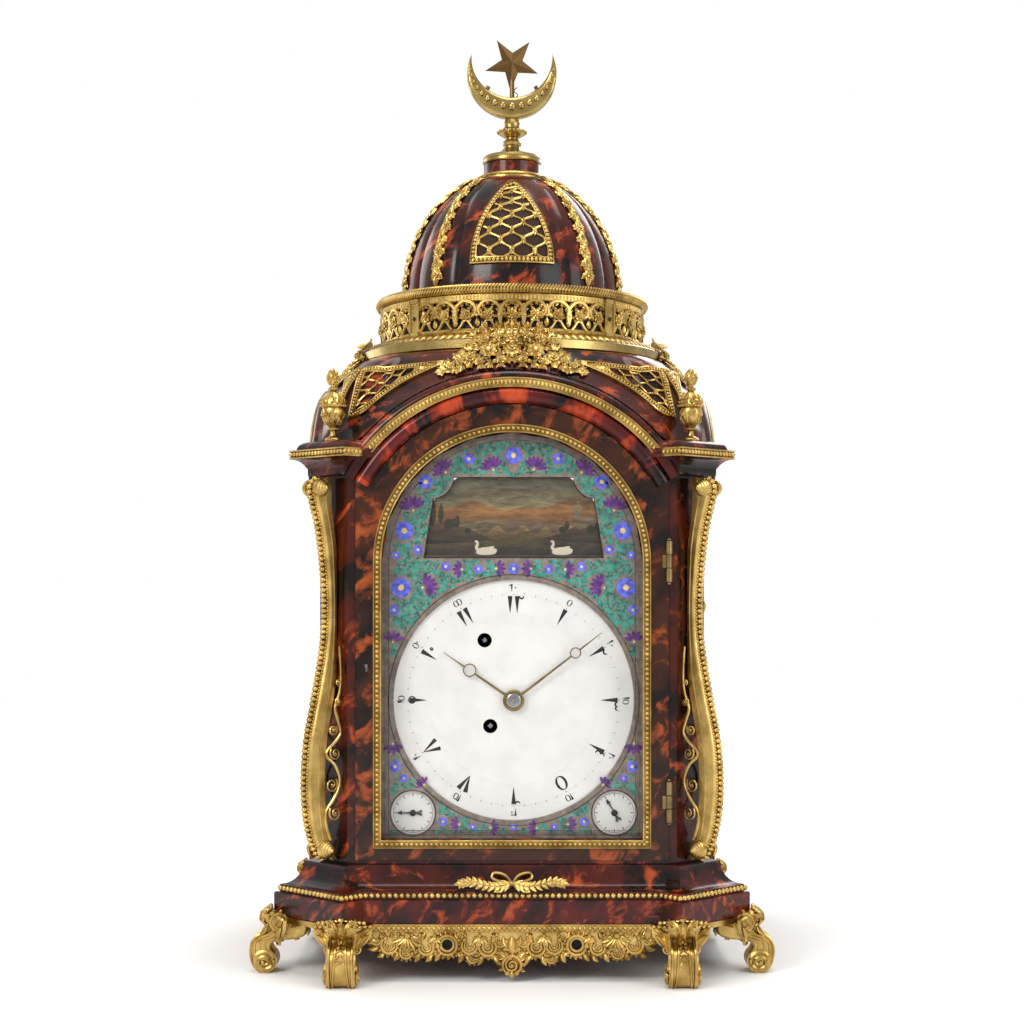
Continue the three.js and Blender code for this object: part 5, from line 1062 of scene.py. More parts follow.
console = Relief()
sections = []
half = CONSOLE_HALF
for reach, height, depth in console_line:
    out = off_wall(reach, 0.9)
    inner = max(out - depth, 0.3)
    line = out - (out - inner) * 0.55
    steps = [(out, half * 0.45), (out - 0.5, half * 0.8), (out - 1.6, half), (line + 0.7, half)]
    steps += [(line, half - 0.8), (line - 0.7, half - 0.3), (inner + 0.6, half - 0.5), (inner, half - 1.4)]
    sections.append([(u, height, w) for u, w in steps] + [(u, height, -w) for u, w in steps[::-1]])
console.add(*rings(sections))
SNAIL = [(0, 4.5), (6.4, 4.5), (6.4, 7), (5.6, 7.5), (5.5, 8.6), (4.5, 9), (4.3, 10.2), (3.2, 10.6)]
SNAIL += [(3, 11.8), (2, 12.2), (1.7, 13.2), (0, 14)]
for (reach, height), size in (((143.8, 355.4), 1.0), ((140.6, 92.0), 1.05)):
    for side in (-1, 1):
        centre = (off_wall(reach) - 1.0, height)
        console.add(*lathe([(r * size, side * w * size) for r, w in SNAIL], 16, "Z", centre))
VINE = [(0.8, 99), (0.97, 112), (0.85, 121), (0.35, 131), (0.08, 142), (0.35, 153), (0.85, 160), (0.8, 165)]
VINE += [(0.3, 172), (0.05, 178), (0.3, 187), (0.6, 196), (0.2, 208), (0.08, 222), (0.3, 240)]
CURLS = (118.5, 0.42, 3.9, -1), (139.5, 0.62, 4.0, 1), (162.0, 0.4, 3.4, -1), (179.5, 0.7, 2.9, 1)
CURLS += (199.5, 0.3, 2.1, -1), (214, 0.65, 1.8, 1)
inner_line = [max(off_wall(reach, 0.9) - depth, 0.5) for reach, _, depth in console_line]


def gap(height):
    """The space between the wall and the console's back."""
    return float(np.interp(height, console_line[:, 1], inner_line)) + 2.2


for side in (-1, 1):
    console.tube([(q * gap(z), z, side * (9.5 - 4 * q)) for q, z in smooth(VINE, 64)], 1.1)
    for height, q, radius, hand in CURLS:
        curl = Relief()
        curl.scroll((0, 0), 1.45 * radius, 1.5, 40 if hand < 0 else 140, 1.5, 0, hand)
        place = q * gap(height)
        console.add([(place + u, height + v, side * (8.4 + w)) for u, v, w in curl.points], curl.faces)
mounts("scroll_console", console.laid(beside_corner), console.faces, CORNERS, "console")
spine = [(off_wall(reach) - 0.2, height) for reach, height, _ in console_line[2:-3]]
middle = np.array([beside_corner(u, z, 0) for u, z in spine])
beside = [np.array([beside_corner(u - 0.9, z, side * 3.1) for u, z in spine]) for side in (-1, 1)]
beads("console_beads", [(turned(middle, k), False) for k in range(4)], 3.8, (2.0, 2.6, 2.5))
seed_rows = [(turned(row, k), False) for row in beside for k in range(4)]
beads("console_seed_beads", seed_rows, 2.25, (0.95, 0.95, 0.95), facets=6)

# Roof frets. Two pierced gilt panels meet beside each corner of the roof: a beaded frame round
# a slanting net of wires that part and meet at stars.


def lattice(shapes, inside, wide, rows, slant=0.0, thickness=0.95, spike=4.0):
    """Wires that meet at starry nodes and part between them, kept where they are inside."""
    for column in range(-24, 25):
        run = []
        for r in range(len(rows) - 1):
            for f in np.linspace(0, 1, 8, endpoint=False):
                g = min(max((f - 0.16) / 0.68, 0), 1)
                ease = g * g * (3 - 2 * g)
                x = (column + 0.07 + 0.86 * (ease if (r + column) % 2 == 0 else 1 - ease)) * wide
                v = rows[r] + (rows[r + 1] - rows[r]) * f + slant * x
                if inside(x, v):
                    run.append((x, v, 1.0))
                    continue
                if len(run) > 2:
                    shapes.tube(run, thickness, 5)
                run = []
        if len(run) > 2:
            shapes.tube(run, thickness, 5)
    for r, height in enumerate(rows):
        for column in range(-24, 25):
            x, v = column * wide, height + slant * column * wide
            if (r + column) % 2 == 0 and inside(x, v):
                for angle, reach in ((90, 1), (270, 1), (35, 0.6), (145, 0.6), (215, 0.6), (325, 0.6)):
                    out = aimed(angle) * reach * spike
                    if inside(*((x, v) + 1.3 * out)):
                        shapes.leaf((x, v, 1.6), (*((x, v) + out), 1.3), 0.55 * spike, 1.1, 0, 4)


FRET_TIP, FRET_CORNER, FRET_HEEL = (50.6, 449.4), (112.6, 445.6), (119.6, 407.6)
FRET_ARCH = 157.5


def fret_loop(inset):
    """The panel's outline in front view: along the arch, up the corner and back to the tip."""
    turn = math.asin((409.5 - ARCH_CENTRE) / FRET_ARCH)
    reach = FRET_ARCH + inset
    tip = math.acos((FRET_TIP[0] + 5.2 * inset) / reach)
    lower = arc((0, ARCH_CENTRE), reach, math.degrees(tip), math.degrees(turn + 0.008 * inset), 22)
    heel = (FRET_HEEL[0] - 1.1 * inset, FRET_HEEL[1] + inset)
    corner = (FRET_CORNER[0] - 1.2 * inset, FRET_CORNER[1] - inset)
    end = (lower[0][0], FRET_TIP[1] - 1.25 * inset)
    return np.vstack([lower, np.linspace(heel, corner, 9), np.linspace(corner, end, 16)[1:]])


def in_fret(x, z):
    lower = x > FRET_TIP[0] and math.hypot(x, z - ARCH_CENTRE) > FRET_ARCH + 3.0
    side = x < FRET_HEEL[0] - 3.4 - (z - FRET_HEEL[1]) * 0.184
    return lower and side and FRET_HEEL[1] + 3 < z < FRET_TIP[1] - 3.4 - (x - FRET_TIP[0]) * 0.061


panel = Relief()
lattice(panel, in_fret, 5.9, list(np.arange(400, 560, 5.0)), -0.5, 0.62, 2.2)
steps = [(0, 0.2), (0, 2.0), (0.8, 2.2), (1.0, 1.3), (3.0, 1.3), (3.2, 2.0), (3.9, 2.0), (3.9, 0.2)]
panel.add(*rings([lifted(fret_loop(inset), w) for inset, w in steps], closed=True))
panel.points = [tuple(roof_at(*point)) for point in panel.points]
panel_frame = np.array([roof_at(x, z, 1.6) for x, z in fret_loop(1.9)])
panel.add(across_corner(panel.points), [face[::-1] for face in panel.faces])
mounts("roof_fret", *panel, CORNERS, "corner_fret")
frame_rows = [(turned(row, k), True) for k in range(4) for row in (panel_frame, across_corner(panel_frame))]
beads("fret_beads", frame_rows, 2.5, (1.1, 1.0, 1.2), facets=6)

# Urns. A turned and chased gilt urn with a pine-cone knob stands on each corner of the cornice.

URN_PLACE = (131.4, -131.4)
URN_FOOT = 390.8
URN_PROFILE = [
    (0, 0), (5.9, 0), (6.1, 0.9), (5.6, 1.6), (4.4, 2.4), (2.6, 3.4), (1.9, 5.4), (2.0, 7.0), (3.3, 7.8),
    (3.4, 9.0), (2.9, 9.6), (4.4, 11.2), (6.2, 13.6), (7.6, 17.0), (8.2, 20.2), (8.0, 22.4), (7.4, 24.0),
    (8.8, 24.8), (9.0, 26.2), (8.2, 27.0), (7.8, 29.2), (6.8, 31.8), (5.0, 34.2), (3.0, 35.8), (2.4, 36.6),
    (3.0, 37.4), (3.0, 38.8), (2.0, 39.6), (1.9, 40.6), (3.2, 42.2), (4.2, 45.0), (4.1, 47.2), (3.0, 50.0),
    (1.4, 52.2), (0, 53.2)
]
URN_RADII, URN_HEIGHTS = np.array(URN_PROFILE[1:-1]).T


def urn_ground(turn, z, proud):
    """Round an urn in degrees, up it and out of it."""
    reach = float(np.interp(z, URN_HEIGHTS, URN_RADII)) + proud
    return (*(URN_PLACE + aimed(turn) * reach), URN_FOOT + z)


urn = Relief()
urn.add(*lathe([(r, URN_FOOT + z) for r, z in URN_PROFILE], 28, "Z", URN_PLACE))
NINTHS = np.linspace(0, 1, 9)
for turn in range(0, 360, 30):
    for curl in (-1, 1):
        vine = [
            urn_ground(turn + curl * (4 + 11 * math.sin(2.6 * f)), 11.5 + 10.5 * f, 0.1) for f in NINTHS
        ]
        urn.tube(vine, 0.25 + 0.45 * np.sin(0.2 + 2.7 * NINTHS), 5)
    urn.ball(urn_ground(turn, 14 if turn % 60 == 0 else 19, 0.1), 1.3)
    lid_leaf = [urn_ground(turn, z, 0.1) for z in np.linspace(27.4, 34.5, 6)]
    urn.tube(lid_leaf, [1.2, 1.6, 1.5, 1.2, 0.9, 0.5], 5)
    for z, size in ((25.5, 1.15), (38.1, 0.6), (8.4, 0.7)):
        for half_step in (0, 15):
            urn.ball(urn_ground(turn + half_step, z, 0.2), size)
for turn in range(0, 360, 45):
    scale = [urn_ground(turn + 70 * f, 41 + 11 * f, 0) for f in NINTHS]
    urn.tube(scale, 0.3 + 0.75 * np.sin(0.3 + 2.6 * NINTHS), 5)
mounts("chased_urn", *urn, CORNERS, "urn")

# Drum band. A plain burnished ring on the roof, with a row of cast leaves leaning in over it.

BAND_FOOT, BAND_TOP = 460.8, 474.5
ROUND = 180


def ring_tree():
    """Geometry nodes: one unit repeated evenly round the clock's upright axis."""
    sizes = ("Count", "Int"), ("Finish", "Material")
    tree, start, end, found = grower("units round the axis", "Unit", sizes, "Ring")
    kinds = "Points", "InputIndex", "InstanceOnPoints", "RealizeInstances", "SetMaterial"
    points, index, place, real, paint = [tree.nodes.new("GeometryNode" + kind) for kind in kinds]
    share, angle = [tree.nodes.new("ShaderNodeMath") for _ in range(2)]
    share.operation, angle.operation = "DIVIDE", "MULTIPLY"
    angle.inputs[1].default_value = 2 * math.pi
    turn = tree.nodes.new("ShaderNodeCombineXYZ")
    wire(
        tree, (start, "Count", points, "Count"), (index, "Index", share, 0), (start, "Count", share, 1),
        (share, "Value", angle, 0), (angle, "Value", turn, "Z"), (points, "Points", place, "Points"),
        (start, "Unit", place, "Instance"), (turn, "Vector", place, "Rotation"),
        (place, "Instances", real, "Geometry"), (real, "Geometry", paint, "Geometry"),
        (start, "Finish", paint, "Material"), (paint, "Geometry", end, "Ring")
    )
    return tree, found


RING_TREE, RING_SIZES = ring_tree()


def round_the_axis(name, shapes, count):
    """Repeats a relief round the upright axis as one plain mesh."""
    inputs = dict(zip(RING_SIZES.values(), (count, gilt)))
    made = grown(meshed(name, *shapes), name, RING_TREE, inputs, "case", gilt)
    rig.slot(made, "gilt_bronze")


burnished = gilding("burnished gilding", (0.34, 0.235, 0.075), (0.48, 0.345, 0.125), 0.26)
band_steps = [(100, 0), (119.3, 0), (120, 0.8), (120, 6.8), (119.2, 7.6), (117.6, 8.0), (116.4, 9.4)]
band_steps += [(112.0, 11.0), (108.6, 12.6), (107.6, BAND_TOP - BAND_FOOT), (100, BAND_TOP - BAND_FOOT)]


def round_ring(profile, foot=0.0, count=ROUND, centre=(0, 0)):
    """A closed hollow ring from a profile of [radius, height] above a foot."""
    return lathe([(r, foot + z) for r, z in profile], count, "Z", centre, closed=True)


band = piece("burnished_band", *round_ring(band_steps, BAND_FOOT), burnished)
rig.replaces(band, "drum_band")
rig.slot(band, "gilt_bronze")
cast_leaf = Relief()
cast_leaf.leaf((0, 0, 0), (0, 12.4, 0), 6.4, 1.7, stations=6)
cast_leaf.leaf((3.1, 1.0, -0.5), (3.1, 9.0, -0.4), 3.6, 1.1, stations=5)
slope = unit(np.array((-10, 6.2)))
cast_leaf.points = [
    (u, -(118.4 + slope[0] * v + slope[1] * w), BAND_FOOT + 7.6 + slope[1] * v - slope[0] * w)
    for u, v, w in cast_leaf.points
]
round_the_axis("band_leaves", cast_leaf, 118)

# Bouquets. On each side a cast spray of flowers and leaves lies on the roof's shoulder and
# rises before the band. Two screws through rings hold it.

def bouquet_ground(u, v, w):
    """Across, and up from the roof's rim: on the roof below it, upright before the band above."""
    if v < 0:
        return roof_at(u, ROOF_TOP + v, w + 1.2)
    angle = math.asin(min(max(u / BAND_RADIUS, -1), 1))
    reach = BAND_RADIUS + 1.6 - 9 * min(max(v - 10, 0) / 8, 1) + w
    return reach * math.sin(angle), -reach * math.cos(angle), ROOF_TOP + v


bouquet = Relief()
SPRIGS = (
    (8, -13, -90, 8), (15, -13, -70, 8), (23, -14, -100, 8), (29, -12, -60, 8), (36, -14, -80, 8),
    (41, -17, -100, 7), (47, -18, -20, 10), (50, -19, -45, 6), (44, -15, 30, 8), (37, -10, 35, 8),
    (33, -6, 10, 7), (27, -3, 40, 8), (24, 2, 10, 9), (26, 8, 50, 8), (17, 9, 70, 8), (11, 13, 80, 8),
    (5, 14, 110, 8), (13, 3, -20, 8), (8, -5, -60, 8), (22, -10, 150, 8), (32, -12, 170, 8), (9, 4, 200, 8),
    (30, 0, 100, 7), (4, -9, -110, 7), (18, 3, 60, 8), (20, 14, 60, 8)
)
for u, v, angle, length in SPRIGS:
    out, side = aimed(angle), aimed(angle + 90)
    bouquet.leaf((u, v, 0.3), (*((u, v) + out * length), 0.9), 4.2, 1.8, 0.12, 6)
    for turn in (115, -115):
        bouquet.leaf((u, v, 0.1), (*((u, v) + 5.5 * aimed(angle + turn)), 0.5), 3.6, 1.2, 0.1, 5)
    base = (u, v) + out
    for hand in (-1, 1):
        bouquet.leaf((*base, 0.2), (*(base + out * length * 0.6 + side * hand * 3.4), 0.6), 2.6, 1.4, 0, 5)


def rose(shapes, u, v, radius, height=1.0):
    """A full-blown rose: a ring of broad petals round a tighter one."""
    shapes.flower((u, v, height), radius, 8, radius * 0.42, u)
    shapes.flower((u, v, height + radius * 0.22), radius * 0.55, 5, radius * 0.4, u + 0.5)


ROSES = (30.5, -9.5, 4.6), (38, -13, 3.6), (44.5, -16.5, 2.9), (21, 6, 5.0), (8, -12, 3.7), (24, -12.8, 3.5)
for u, v, radius in (*ROSES, (10.5, 10, 4.0), (14, -1, 3.2)):
    rose(bouquet, u, v, radius)
bouquet.flower((17.2, -5, 1.6), 7.0, 10, 3.2, 0.2)
bouquet.ball((17.2, -5, 3.4), (2.1, 2.1, 1.2), 10)
bouquet.tube(lifted(arc((31.8, -1.6), 2.9, 0, 360, 16), 2.4), 1.0)
bouquet.ball((31.8, -1.6, 1.4), (2.2, 2.2, 0.8), 8)
for u, v in ((51, -20), (13, -8), (34, -15), (26, 0), (5, 3), (25, 13), (15, 14), (41, -12)):
    bouquet.ball((u, v, 1.6), 1.3)
for u, v in ((3, 17), (7.5, 16.5), (12, 15.5), (17, 14), (22, 12)):
    bouquet.leaf((u, v, 0.4), (u + 1, v + 1, 7.5), 2.6, 1.8, 0, 6)
bouquet.mirrored()
fan(bouquet, (0, -9), 11, 7, 50, 130, 1.2)
rose(bouquet, 0, 8.5, 6.4, 1.6)
rose(bouquet, 0, -1.5, 4.6, 2.0)
bouquet.leaf((0, 14, 0.6), (0, 22, 1.0), 5, 2)
mounts("flower_bouquet", bouquet.laid(bouquet_ground), bouquet.faces, SIDES, "bouquet")

# Gallery. A pierced frieze of running scrolls and flowers between two rails and four posts,
# before a near-black wall of painted shade, under a fluted strip and a ring cast as a twisted rope.

FRIEZE_FOOT, FRIEZE_TOP = 474.8, 503.3
FRIEZE_RADIUS = 104
RISE = FRIEZE_TOP - FRIEZE_FOOT
# The wall behind the frieze is near black as painted shade.
wall = piece("frieze_wall", *round_ring(oblong(99.6, 101.2, 0, RISE), FRIEZE_FOOT), shade)
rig.slot(wall, "shell_veneer")
rails = Relief()
rails.add(*round_ring([(101.5, 0), (104.8, 0), (105.2, 1.2), (104.2, 3), (101.5, 3)], FRIEZE_FOOT))
rails.add(*round_ring([(101.5, -5.2), (104, -5.2), (104.8, -4.4), (104.8, 0), (101.5, 0)], FRIEZE_TOP))
post = Relief().add(*upright(oblong(-5.5, 5.5, 0.2, RISE - 0.2), 101, 105.2))
for sides in ((-5.5, -3.9, 0.2, 28.3), (3.9, 5.5, 0.2, 28.3), (-5.5, 5.5, 0.2, 3), (-5.5, 5.5, 25, 28.3)):
    post.add(*upright(oblong(*sides), 105, 106.2))
for k in range(4):
    c, s = aimed(45 + 90 * k)
    rails.add([(x * c - y * s, x * s + y * c, FRIEZE_FOOT + z) for x, y, z in post.points], post.faces)
rails = piece("gallery_rails", *rails, gilt)
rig.replaces(rails, "gallery")
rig.slot(rails, "gilt_bronze")

BAY = math.radians(82.5)


def frieze_ground(u, v, w):
    angle = u / FRIEZE_RADIUS
    out = FRIEZE_RADIUS - 0.8 + w
    return out * math.sin(angle), -out * math.cos(angle), FRIEZE_FOOT + v


bay = Relief()
PERIOD = FRIEZE_RADIUS * BAY / 2 / 4.25
for i in range(5):
    middle = i * PERIOD
    hand = 1 if i % 2 else -1
    stem = [(-6.5, 2.5), (-4.5, 4.5), (-2, 8.2), (0, 9), (2, 8.2), (4.5, 4.5), (6.5, 2.5)]
    bay.tube(lifted(smooth(stem, 16) + (middle, 0), 1.0), 1.15)
    rose(bay, middle, 13.4, 4.7, 1.6)
    for angle in (200, 240, 300, 340, 60, 120):
        low, high = [(*((middle, 13.4) + aimed(angle) * reach), 0.8) for reach in (3, 7)]
        bay.leaf(low, high, 3.2, 1.5, 0.2, 5)
    if i < 4 or hand < 0:
        hoop = [
            (-8.6, 6), (-9.8, 12), (-8.2, 18.5), (-2.5, 23.4), (4, 22.6), (7.6, 18), (7.0, 13.6),
            (4.4, 12.2)
        ]
        hoop = smooth([(middle + hand * u, v) for u, v in hoop], 26)
        bay.tube(lifted(hoop, 1.0), 1.1 + 0.75 * np.sin(np.linspace(0.3, math.pi - 0.2, 26)))
        for k in range(3, 24, 3):
            along = unit(hoop[k + 1] - hoop[k - 1])
            side = np.array((-along[1], along[0])) * -hand
            tip = hoop[k] + along * 2.4 + side * 3.6
            tip[1] = min(max(tip[1], 3.2), 24)
            bay.leaf((*(hoop[k] + side * 0.6), 1.2), (*tip, 1.0), 2.9, 1.6, 0.15 * hand, 5)
    between = middle + PERIOD / 2
    if i < 4:
        bay.leaf((between, 4, 0.8), (between, 11, 1.2), 4.0, 1.8)
        bay.leaf((between, 14, 0.8), (between, 21.5, 1.2), 4.4, 1.8)
        bay.ball((between, 12.6, 1.4), 1.6, 8)
bay.mirrored()
mounts("frieze_scrolls", bay.laid(frieze_ground), bay.faces, SIDES)
flute = [(r, FRIEZE_TOP - 4.6 + z) for r, z in ((0, 0), (0.85, 0), (0.85, 3.6), (0, 3.6))]
round_the_axis("fluted_strip", Relief().add(*lathe(flute, 6, "Z", (0, -104.6))), 230)
screw = Relief().ball((*(105.4 * aimed(225)), FRIEZE_FOOT + 13.4), (1.7, 1.7, 1.9), 10)
screws = Relief()
for k in range(4):
    screws.add(turned(screw.points, k), screw.faces)
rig.slot(piece("gallery_screws", *screws, shade), "gilt_bronze")

rope_steps = [
    (79, 1), (104.5, 0.2), (106.6, 1), (107.4, 3.4), (106.6, 6), (104.6, 7.1), (100, 7.4), (79, 7.4)
]
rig.slot(piece("rope_core", *round_ring(rope_steps, FRIEZE_TOP), gilt), "gilt_bronze")
strand_path = []
for f in np.linspace(-1, 1, 7):
    out, up = (104.6, FRIEZE_TOP + 3.7) + 3.6 * aimed(20 + 80 * f)
    strand_path.append((out * math.sin(0.026 * f), -out * math.cos(0.026 * f), up))
strand = Relief().tube(strand_path, [0.5, 0.8, 0.92, 0.92, 0.92, 0.8, 0.5], 5)
round_the_axis("rope_twist", strand, 270)

# Dome. A lobed shell-veneered cupola, open at the front and the back behind pointed vents that
# are lined with dark cloth.

DOME_FOOT = 511.1
DOME_RADIUS, DOME_SEMI, DOME_RISE, DOME_WALL, DOME_LOBE, DOME_EYE = 87, 103, 96, 5, 0.035, 17
VENT_HALF, VENT_FOOT, VENT_TOP = 32, 18, 89


def dome_radius(height):
    return DOME_RADIUS * math.sqrt(max(1 - (height / DOME_SEMI) ** 2, 0))


def lobe_share(degrees):
    """Wide lobes at the front and the back, narrower ones between, with valleys where they meet."""
    around = degrees % 180
    wide = around < 30 or around > 150
    share = ((around + 30) % 180) / 60 if wide else (around % 30) / 30
    return 1 - DOME_LOBE * (1 - math.sqrt(max(math.sin(math.pi * share), 0)))


def dome_point(degrees, height):
    reach = dome_radius(height) * lobe_share(degrees)
    angle = math.radians(degrees)
    return np.array((reach * math.sin(angle), -reach * math.cos(angle), DOME_FOOT + height))


def dome_ground(middle):
    """A ground on the dome about an angle: across in millimetres, up above its foot."""

    def ground(u, v, w):
        v = min(max(v, 0.5), DOME_RISE)
        degrees = middle + math.degrees(math.asin(u / max(dome_radius(v), abs(u) + 1)))
        steep = (DOME_RADIUS / DOME_SEMI) ** 2 * v / max(dome_radius(v), 8)
        return dome_point(degrees, v) + unit(np.array((*aimed(degrees - 90), steep))) * w

    return ground


def vent_half(height, spread=0.0):
    """Half width of the pointed vent at a height above the dome's foot."""
    share = (height - VENT_FOOT + spread) / (VENT_TOP - VENT_FOOT + 2 * spread)
    return (VENT_HALF + spread) * max(math.cos(min(max(share, 0), 1) * math.pi / 2), 0) ** 0.8


heights = DOME_RISE * np.sin(np.linspace(0, math.pi / 2, 36))
outside = [[dome_point(a, h) for a in np.linspace(0, 360, 240, endpoint=False)] for h in heights]
inside = [(DOME_EYE, DOME_RISE)]
inside += [(max(dome_radius(h) * (1 - DOME_LOBE) - DOME_WALL, DOME_EYE), h) for h in heights[::-1][3:]]
inside = [turned(circle(reach, 240, height=DOME_FOOT + h), 3) for reach, h in inside]
dome = piece("lobed_dome", *rings(outside + inside, closed=True), shell)
rise = np.linspace(VENT_FOOT + 3, VENT_TOP - 3, 14)
opening = [(vent_half(h, -3), DOME_FOOT + h) for h in rise]
opening += [(-half, z) for half, z in opening[-2::-1]]
carve(dome, upright(opening, 100, -100))
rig.replaces(dome, "dome_shell")
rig.slot(dome, "shell_veneer")

cloth = finish("dark cloth", (0.030, 0.013, 0.007), 0.95)
roughen(cloth, noise(cloth, 1500, 1, 0.5), 0.5, 0.0004)
weave_rows = []
for h in np.linspace(VENT_FOOT + 1, VENT_TOP - 1, 16):
    half = max(vent_half(h, -1), 0.4)
    weave_rows.append(np.linspace((-half, h), (half, h), 9))


def sheet(rows, ground, low, high):
    """A closed sheet between two heights over a ground, from rows of [across, up]."""
    columns, count = len(rows[0]), sum(map(len, rows))
    points = [ground(u, v, w) for w in (high, low) for row in rows for u, v in row]
    grid = np.arange(count).reshape(-1, columns)
    faces = []
    for a in grid[:-1, :-1].ravel():
        quad = (a, a + 1, a + columns + 1, a + columns)
        faces += [quad, tuple(count + i for i in quad[::-1])]
    rim = [*grid[0], *grid[1:, -1], *grid[-1, -2::-1], *grid[-2:0:-1, 0]]
    faces += [(b, a, count + a, count + b) for a, b in zip(rim, rim[1:] + rim[:1])]
    return points, faces


for k, side in ((0, "front"), (2, "back")):
    points, faces = sheet(weave_rows, dome_ground(0), 0.15, 0.5)
    made = piece(f"vent_cloth_{side}", turned(points, k), faces, cloth)
    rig.slot(made, "shell_veneer")

# Dome mounts. Two pointed vents with a beaded frame and a net of hexagons and stars, eight
# garlands of flowers down the valleys between the lobes, and a collar under the finial.

NODE_ROWS = [10, 19.5, 28, 36.5, 44, 51.2, 57.6, 63.8, 69, 74, 78.5, 83]


def vent_loop(inset):
    """The vent's outline, drawn in by an inset."""
    foot = VENT_FOOT + inset
    top = VENT_TOP - 1.6 * inset
    right = [(vent_half(h, -inset), h) for h in np.linspace(foot, top, 24)]
    across = np.linspace(-right[0][0], right[0][0], 12, endpoint=False)
    return [(u, foot) for u in across] + right + [(-u, h) for u, h in right[-2:0:-1]]


def in_vent(x, h):
    return VENT_FOOT + 4.6 < h < VENT_TOP - 6 and abs(x) < vent_half(h, -4.6) + 0.4


vent = Relief()
lattice(vent, in_vent, 8.6, NODE_ROWS)
steps = [(0.2, 0.3), (0.2, 2.2), (1.0, 2.4), (1.2, 1.2), (4.2, 1.2), (4.4, 2.2), (5.2, 2.2), (5.2, 0.3)]
vent.add(*rings([lifted(vent_loop(inset), w) for inset, w in steps], closed=True))
vent_points = vent.laid(dome_ground(0))

garland = Relief()
garland.tube([(1.2 * math.sin(h / 4), h, 0.8) for h in np.linspace(8, 94, 50)], 1.0, 5)
for i, h in enumerate(np.linspace(12, 90, 9)):
    size = 1.12 - 0.42 * (h / 96)
    if i % 2 == 0:
        rose(garland, 0.8 * (-1) ** (i // 2), h, 5.0 * size)
    for side in (-1, 1):
        out = side * size
        garland.leaf((side * 0.8, h + 3, 0.8), (6.0 * out, h - 3.4, 0.6), 4.4 * size, 2.2, side * 0.2, 6)
        garland.leaf((side * 0.6, h + 5, 1.0), (5.4 * out, h + 10.4, 0.7), 4.2 * size, 2.0, side * -0.2, 6)
        garland.leaf((side * 0.4, h + 6, 1.8), (2.6 * out, h - 1, 2.2), 3.2 * size, 1.8, 0, 5)
        garland.ball((2.6 * out, h + 5, 1.8), 1.5 * size)
garland.leaf((0, 12, 1.4), (0, 2.5, 0.8), 5.4, 2.4)
garland_shapes = Relief()
for middle in (42, 75, 105, 138, -42, -75, -105, -138):
    garland_shapes.add(garland.laid(dome_ground(middle)), garland.faces)
made = piece("dome_garlands", *garland_shapes, gilt)
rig.replaces(made, "dome_mounts")
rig.slot(made, "gilt_bronze")
for k, side in ((0, "front"), (2, "back")):
    made = piece(f"dome_vent_{side}", turned(vent_points, k), vent.faces, gilt)
    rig.slot(made, "gilt_bronze")
    rim = [dome_ground(0)(u, h, 1.7) for u, h in vent_loop(2.7)]
    beads(f"dome_vent_beads_{side}", [(turned(rim, k), True)], 3.3, (1.6, 1.6, 1.9))

COLLAR_FOOT = 607.4
collar = [
    (22.8, 0), (26.6, 0), (27.5, 0.9), (27.5, 2.2), (26.4, 2.8), (26.9, 3.6), (26.4, 4.6), (25, 5.5),
    (22.8, 5.5)
]
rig.slot(piece("dome_collar", *round_ring(collar, COLLAR_FOOT, 64), gilt), "gilt_bronze")

# Finial. A shell-veneered drum with a turned gilt stem, a crescent set with graduated balls,
# and a darker faceted star on a steel stem.

DRUM_FOOT = 607.4
drum = [(0, 0), (21.9, 0), (22.6, 0.6), (22.6, 14.4), (21.9, 15), (0, 15)]
made = piece("veneered_drum", *lathe([(r, DRUM_FOOT + z) for r, z in drum], 72), shell)
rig.replaces(made, "finial_drum")
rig.slot(made, "shell_veneer")
STEM_FOOT = 622.7
stem = [
    (0, 0), (22.6, 0), (23.6, 0.8), (23.6, 2.6), (22.8, 3.4), (23.2, 4.2), (22.6, 5.6), (20.6, 6.4),
    (16, 7.6), (11.8, 9), (8.6, 11), (6.6, 13), (6.4, 14.2), (7.2, 15.2), (7.6, 17), (6.8, 18.8), (5.2, 20),
    (5.2, 21), (7.6, 22.4), (10.2, 24), (11, 25.2), (10.9, 26.6), (9, 28), (6.8, 29), (6.4, 31), (6.8, 33),
    (5.6, 36), (0, 36)
]
made = piece("turned_stem", *lathe([(r, STEM_FOOT + z) for r, z in stem], 56), burnished)
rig.replaces(made, "finial_stem")
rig.slot(made, "gilt_bronze")
knop = circle(11.2, 40, height=STEM_FOOT + 25.9)
beads("stem_beads", [(knop, True)], 3.2, (1.4, 1.2, 1.2), material=burnished)

CRESCENT_RADIUS, CRESCENT_INNER, CRESCENT_LIFT, CRESCENT_HALF = 36.2, 32.2, 13.5, 5
CRESCENT_CENTRE = 695.2
tip = (CRESCENT_RADIUS**2 - CRESCENT_INNER**2 + CRESCENT_LIFT**2) / (2 * CRESCENT_LIFT)
outer_angle = math.asin(tip / CRESCENT_RADIUS)
inner_angle = math.asin((tip - CRESCENT_LIFT) / CRESCENT_INNER)


def crescent_at(s):
    """Outer and inner points at a share from the left tip to the right tip."""
    a = math.pi - outer_angle + (math.pi + 2 * outer_angle) * s
    b = math.pi - inner_angle + (math.pi + 2 * inner_angle) * s
    outer = (0, CRESCENT_CENTRE) + CRESCENT_RADIUS * aimed(math.degrees(a))
    inner = (0, CRESCENT_CENTRE + CRESCENT_LIFT) + CRESCENT_INNER * aimed(math.degrees(b))
    return outer, inner


